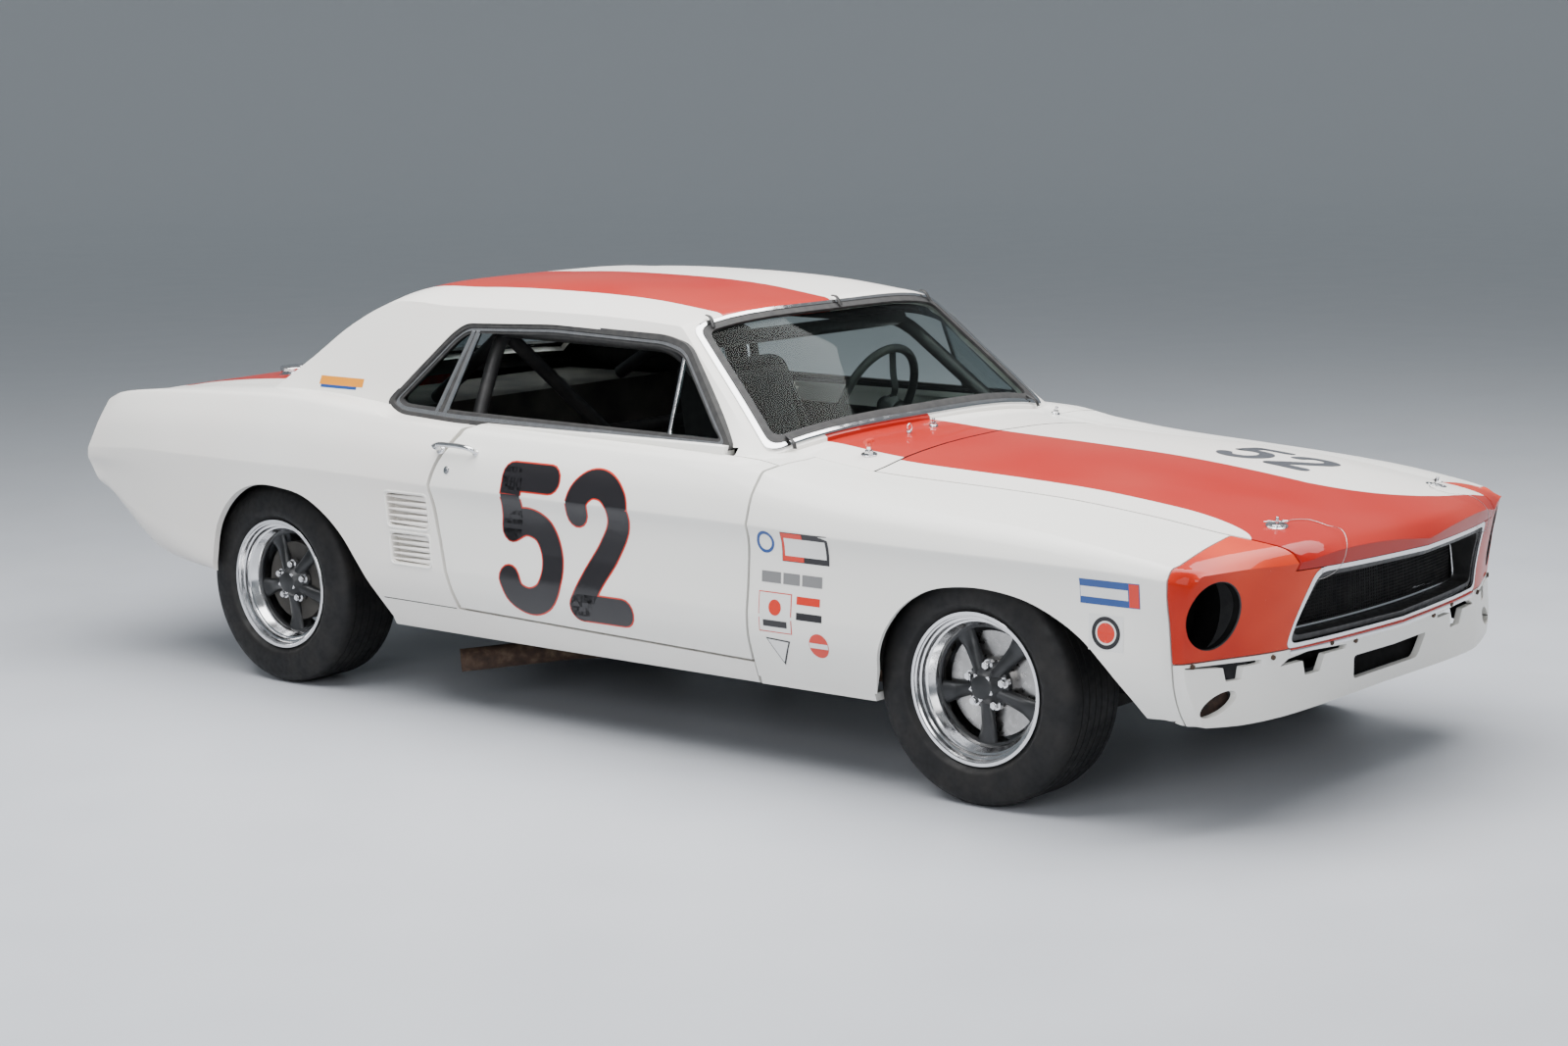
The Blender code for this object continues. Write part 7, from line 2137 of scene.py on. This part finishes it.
def exhaust_pipes():
    """Round pipes with open ends, a cross link and hangers."""
    parts = []
    for side in (-1, 1):
        corners = [(side * 0.284, 0.120, 0.560), (side * 0.286, 0.300, 0.215), (side * 0.290, 0.600, 0.195),
                   (side * 0.300, 1.300, 0.190), (side * 0.460, 1.720, 0.178), (side * 0.760, 1.990, 0.150)]
        pipe = sweep("pipe", bent(corners, 0.12, 6), circle(EXHAUST_RADIUS, 28))
        bore = rod("bore", (side * 0.675, 1.913, 0.1579), (side * 0.83, 2.053, 0.1435),
                   EXHAUST_RADIUS - 0.0025, 28)
        clamp = rod("clamp", (side * 0.2945, 0.930, 0.1922), (side * 0.2950, 0.965, 0.1920),
                    EXHAUST_RADIUS + 0.004, 28, bevel=0.001)
        hanger = box("hanger", (side * 0.290, 0.940, 0.200), (side * 0.310, 0.970, 0.2517), 0.001)
        parts += [cut(pipe, bore), clamp, hanger]
    parts.append(rod("link", (-0.30, 0.90, 0.192), (0.30, 0.90, 0.192), 0.022, 24))
    fit(joined("exhaust_pipes", parts), BODY, "exhaust_rust", "rust", 35, "exhaust")


def steering_wheel():
    """A padded black rim on three spokes and a hub."""
    axis = Vector((0, math.cos(WHEEL_RAKE), math.sin(WHEEL_RAKE)))
    centre = Vector(WHEEL_CENTRE)
    place = spot(*centre)
    side_way = Vector((1, 0, 0))
    up_way = axis.cross(side_way)
    rim_run = [place + (side_way * a + up_way * b) * RIM_CENTRE_RADIUS for a, b in circle(1.0, 96)]
    rim = sweep("steering_rim", rim_run, circle(0.0138, 16), closed=True, up=axis)
    fit(rim, "steering_wheel", "black_paint", "vinyl", 60)
    back = centre - axis * 0.055
    parts = [turned("hub", [(-0.032, 0.0), (-0.032, 0.038), (0.010, 0.040), (0.014, 0.036), (0.016, 0.030),
                            (0.030, 0.026), (0.036, 0.020), (0.037, 0.0)], spot(*back), axis, 48)]
    for k in range(3):
        angle = math.radians(90 + 120 * k)
        away = side_way * math.cos(angle) - up_way * math.sin(angle)
        run = [back + away * 0.022, back + away * 0.060, centre - axis * 0.030 + away * 0.105,
               centre - axis * 0.010 + away * 0.150, centre + away * (RIM_CENTRE_RADIUS - 0.004)]
        line = smooth_run([spot(*p) for p in run], 5)
        section = [(-0.0145, -0.002), (0.0145, -0.002), (0.0155, 0.0), (0.0145, 0.002), (-0.0145, 0.002),
                   (-0.0155, 0.0)]
        parts.append(sweep("spoke", line, section, up=axis))
    spokes = joined("steering_spokes", parts)
    fit(spokes, "steering_wheel", "black_paint", "crackle", 35)
    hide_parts("steering_wheel")


def swollen(obj):
    """Pads a solid out as stuffed cloth: remesh, pressure, a cap on the movement, then one subdivision."""
    pressure, limit, voxel = 4.0, 0.012, 0.006
    remesh = obj.modifiers.new("remesh", "REMESH")
    remesh.mode = "VOXEL"
    remesh.voxel_size = voxel
    obj.data = evaluated_mesh(obj)
    obj.modifiers.clear()
    before = [v.co.copy() for v in obj.data.vertices]
    cloth = obj.modifiers.new("cloth", "CLOTH")
    cloth.settings.use_pressure = True
    cloth.settings.uniform_pressure_force = pressure
    cloth.settings.effector_weights.gravity = 0.0
    scene = bpy.context.scene
    for k in range(1, 21):
        scene.frame_set(k)
    obj.data = evaluated_mesh(obj)
    obj.modifiers.clear()
    scene.frame_set(1)
    for v, was in zip(obj.data.vertices, before):
        moved = v.co - was
        if moved.length > limit:
            v.co = was + moved.normalized() * limit
    soft = obj.modifiers.new("soft", "SUBSURF")
    soft.levels = 1
    obj.data = evaluated_mesh(obj)
    obj.modifiers.clear()
    obj.data.shade_smooth()


def seat():
    """A racing seat: a thin shell with side wings, two padded cushions and the head hoop."""
    x = DRIVER_X
    outer = [(1.225, 0.264), (1.203, 0.422), (1.225, 0.470), (1.560, 0.520), (1.690, 0.800), (1.780, 0.975),
             (1.835, 0.990), (1.895, 0.975), (1.830, 0.560), (1.755, 0.264)]
    shell = side_prism("seat_shell", round_corners(outer, 0.025, 4), x - SEAT_HALF, x + SEAT_HALF)
    hollow = [(1.100, 0.480), (1.205, 0.445), (1.520, 0.405), (1.645, 0.500), (1.800, 1.010), (1.800, 1.100),
              (1.100, 1.100)]
    cut(shell, side_prism("seat_hollow", round_corners(hollow, 0.030, 4), x - SEAT_HALF + 0.020,
                          x + SEAT_HALF - 0.020))
    fit(shell, BODY, "seat_black", "crackle", 35, "seat")
    half = SEAT_HALF - 0.036
    base = box("seat_cushion", (x - half, 1.225, 0.452), (x + half, 1.560, 0.492), 0.012, 3)
    turn_pad(base, (x, 1.225, 0.448), math.radians(-7.0))
    back = box("seat_back_pad", (x - half, 1.605, 0.540), (x + half, 1.640, 0.985), 0.012, 3)
    turn_pad(back, (x, 1.625, 0.540), math.radians(-17.0))
    for pad in (base, back):
        swollen(pad)
        piece(pad, BODY, "seat_black", PAINT["cloth"])
    hoop = sweep("seat_head_hoop", bent([(x - 0.150, 1.845, 0.900), (x - 0.130, 1.860, 1.080),
                                         (x + 0.130, 1.860, 1.080), (x + 0.150, 1.845, 0.900)], 0.06),
                 circle(0.0158, 18))
    fit(hoop, BODY, "seat_black", "vinyl", 60)
    parts = []
    for side in (-1, 1):
        line = [spot(x + side * 0.055, 1.800, 0.985), spot(x + side * 0.058, 1.770, 0.900),
                spot(x + side * 0.052, 1.700, 0.720), spot(x + side * 0.030, 1.625, 0.560)]
        section = [(-0.024, -0.0012), (0.024, -0.0012), (0.024, 0.0012), (-0.024, 0.0012)]
        run = smooth_run(line, 5)
        parts.append(sweep("strap", run, section, up=(0, -0.95, 0.31)))
    straps = joined("harness_straps", parts)
    fit(straps, BODY, "seat_black", "webbing", 40)


def turn_pad(obj, about, angle):
    """Leans a mesh about an axis across the car."""
    here = spot(*about)
    lean = Matrix.Translation(here) @ Matrix.Rotation(angle, 4, "X") @ Matrix.Translation(-here)
    obj.data.transform(lean)


def gauges():
    """Round dials with bright rings and plain scale marks, on the dash ahead of the driver."""
    dials, rims, marks = [], [], []
    face, facing = 0.9858, (0, 1, 0)
    for x, z, radius in ((DRIVER_X - 0.060, 0.772, 0.043), (DRIVER_X + 0.060, 0.772, 0.043),
                         (DRIVER_X - 0.150, 0.770, 0.026), (DRIVER_X + 0.150, 0.770, 0.026),
                         (0.10, 0.770, 0.026), (0.03, 0.770, 0.026)):
        dial = [(0.0, 0.0), (0.0, radius), (0.003, radius), (0.003, 0.0)]
        rim = [(0.0, radius), (0.0, radius + 0.004), (0.007, radius + 0.003), (0.008, radius + 0.001),
               (0.006, radius)]
        dials.append(turned("dial", dial, spot(x, face, z), facing, 36))
        rims.append(turned("dial_rim", rim, spot(x, face, z), facing, 36))
        for k in range(9):
            angle = math.radians(-30 + 30 * k)
            ends = [(x + r * math.cos(angle), face + 0.0032, z + r * math.sin(angle))
                    for r in (radius * 0.76, radius * 0.94)]
            marks.append(rod("tick", *ends, 0.0009, 6))
        tip = (x - radius * 0.6, face + 0.0036, z + radius * 0.35)
        marks.append(rod("needle", (x, face + 0.0036, z), tip, 0.0009, 6))
    fit(joined("dash_dials", dials), BODY, "black_paint", "black", 40)
    fit(joined("dash_dial_rims", rims), BODY, "chrome", "chrome", 40)
    fit(joined("dash_dial_marks", marks), BODY, "chrome", "sticker_white", 40)


for WORD, SIDE in SIDES:
    door_handle(WORD, SIDE)
    hood_pin(WORD, SIDE)
    tail_lamps(WORD, SIDE)
kill_switch()
fuel_filler()
windscreen_clips()
roll_cage()
exhaust_pipes()
steering_wheel()
seat()
gauges()
dress("lens", "tail_lamp_left", "tail_lamp_right")
dress("under", "floor_pan", "trunk_floor", "front_suspension", "rear_axle", "knuckle_left", "knuckle_right")
dress("black", "engine_bay", "fuel_cell", "radiator")
dress("iron", "engine_block", "driveline")
dress("crackle", "dashboard")

# Stage, light and camera

STUDIO_FLAT = 26.0
STUDIO_BEND = 10.0
STUDIO_TOP = 16.0


def stage():
    """A round studio: the pale floor bends up into a grey wall, painted lighter the farther it lies from the
    car as painted light.
    """
    finish = Finish("studio", (0.60, 0.615, 0.65), 0.40)
    # Painted light: the ramp over the distance from the car paints the floor and wall lighter farther out, in
    # place of light where the lamps fall off.
    away = finish.math("SQRT", finish.math("ADD", finish.math("MULTIPLY", finish.axis("x"), finish.axis("x")),
                                           finish.math("MULTIPLY", finish.axis("y"), finish.axis("y"))))
    cloud = finish.math("MULTIPLY", finish.math("SUBTRACT", finish.noise(0.6, 5.0), 0.5), 0.8)
    reach = finish.math("DIVIDE", finish.math("ADD", away, cloud), STUDIO_FLAT + STUDIO_BEND)
    finish.paint(finish.ramp(reach, (0.075, (0.50, 0.518, 0.555)), (0.21, (0.58, 0.61, 0.65)),
                             (0.70, (0.78, 0.82, 0.85))))
    finish.rough(finish.ramp(finish.noise(2.5, 5.0), (0.3, 0.36), (0.7, 0.46)))
    profile = [(STUDIO_FLAT * k / 8, 0.0) for k in range(9)]
    for k in range(1, 17):
        angle = math.pi / 2 * k / 16
        profile.append((STUDIO_FLAT + STUDIO_BEND * math.sin(angle), STUDIO_BEND * (1 - math.cos(angle))))
    profile.append((STUDIO_FLAT + STUDIO_BEND, STUDIO_TOP))
    bm = bmesh.new()
    count = 96
    rings = [[bm.verts.new((r * math.cos(math.tau * j / count), r * math.sin(math.tau * j / count), z))
              for j in range(count)] for r, z in profile[1:]]
    middle = bm.verts.new((0.0, 0.0, 0.0))
    for j in range(count):
        k = (j + 1) % count
        bm.faces.new((middle, rings[0][j], rings[0][k]))
        for inner, outer in zip(rings, rings[1:]):
            bm.faces.new((inner[j], outer[j], outer[k], inner[k]))
    mesh = bpy.data.meshes.new("studio")
    bm.to_mesh(mesh)
    bm.free()
    mesh.shade_smooth()
    room = new_object("studio", mesh)
    room.data.materials.append(finish.material)


def area_light(name, place, target, size, power, colour=(1.0, 1.0, 1.0)):
    data = bpy.data.lights.new(name, "AREA")
    data.shape = "RECTANGLE"
    data.size, data.size_y = size
    data.energy = power
    data.color = colour
    lamp = bpy.data.objects.new(name, data)
    bpy.context.scene.collection.objects.link(lamp)
    lamp.location = place
    lamp.rotation_euler = (Vector(target) - Vector(place)).to_track_quat("-Z", "Y").to_euler()


def lights():
    area_light("overhead", (-0.5, -0.5, 5.2), (-0.2, 0.0, 0.0), (9.0, 5.0), 1130.0)
    area_light("side_fill", (-8.0, -3.0, 3.2), (0.0, 0.0, 0.6), (5.0, 3.0), 260.0, (0.97, 0.98, 1.0))
    area_light("nose_fill", (-2.0, -8.5, 3.4), (0.0, -1.0, 0.6), (5.0, 3.0), 120.0)
    world = bpy.context.scene.world or bpy.data.worlds.new("studio")
    bpy.context.scene.world = world
    world.use_nodes = True
    tree = world.node_tree
    tree.nodes.clear()
    out = tree.nodes.new("ShaderNodeOutputWorld")
    shade = tree.nodes.new("ShaderNodeBackground")
    place = tree.nodes.new("ShaderNodeTexCoord")
    split = tree.nodes.new("ShaderNodeSeparateXYZ")
    ramp = tree.nodes.new("ShaderNodeValToRGB")
    ramp.color_ramp.elements[0].position = 0.0
    ramp.color_ramp.elements[0].color = (0.32, 0.335, 0.35, 1.0)
    ramp.color_ramp.elements[1].position = 0.6
    ramp.color_ramp.elements[1].color = (0.17, 0.18, 0.19, 1.0)
    shade.inputs["Strength"].default_value = 1.4
    tree.links.new(place.outputs["Generated"], split.inputs[0])
    tree.links.new(split.outputs[2], ramp.inputs["Fac"])
    tree.links.new(ramp.outputs["Color"], shade.inputs["Color"])
    tree.links.new(shade.outputs["Background"], out.inputs["Surface"])


CAMERA_PLACE = (-7.09486, -4.55746, 1.98797)
CAMERA_YAW = 0.692116
CAMERA_PITCH = -0.156332
CAMERA_ROLL = -0.016035


def camera():
    data = bpy.data.cameras.new("photo_view")
    data.sensor_width = 36.0
    data.lens = 69.04
    data.clip_end = 200.0
    level = math.cos(CAMERA_PITCH)
    ahead = Vector((level * math.cos(CAMERA_YAW), level * math.sin(CAMERA_YAW), math.sin(CAMERA_PITCH)))
    right = ahead.cross(Vector((0, 0, 1))).normalized()
    up = right.cross(ahead)
    turn, lean = math.cos(CAMERA_ROLL), math.sin(CAMERA_ROLL)
    matrix = Matrix((right * turn + up * lean, up * turn - right * lean, -ahead)).transposed().to_4x4()
    matrix.translation = spot(*CAMERA_PLACE)
    view = bpy.data.objects.new("photo_view", data)
    bpy.context.scene.collection.objects.link(view)
    view.matrix_world = matrix
    bpy.context.scene.camera = view


stage()
lights()
camera()
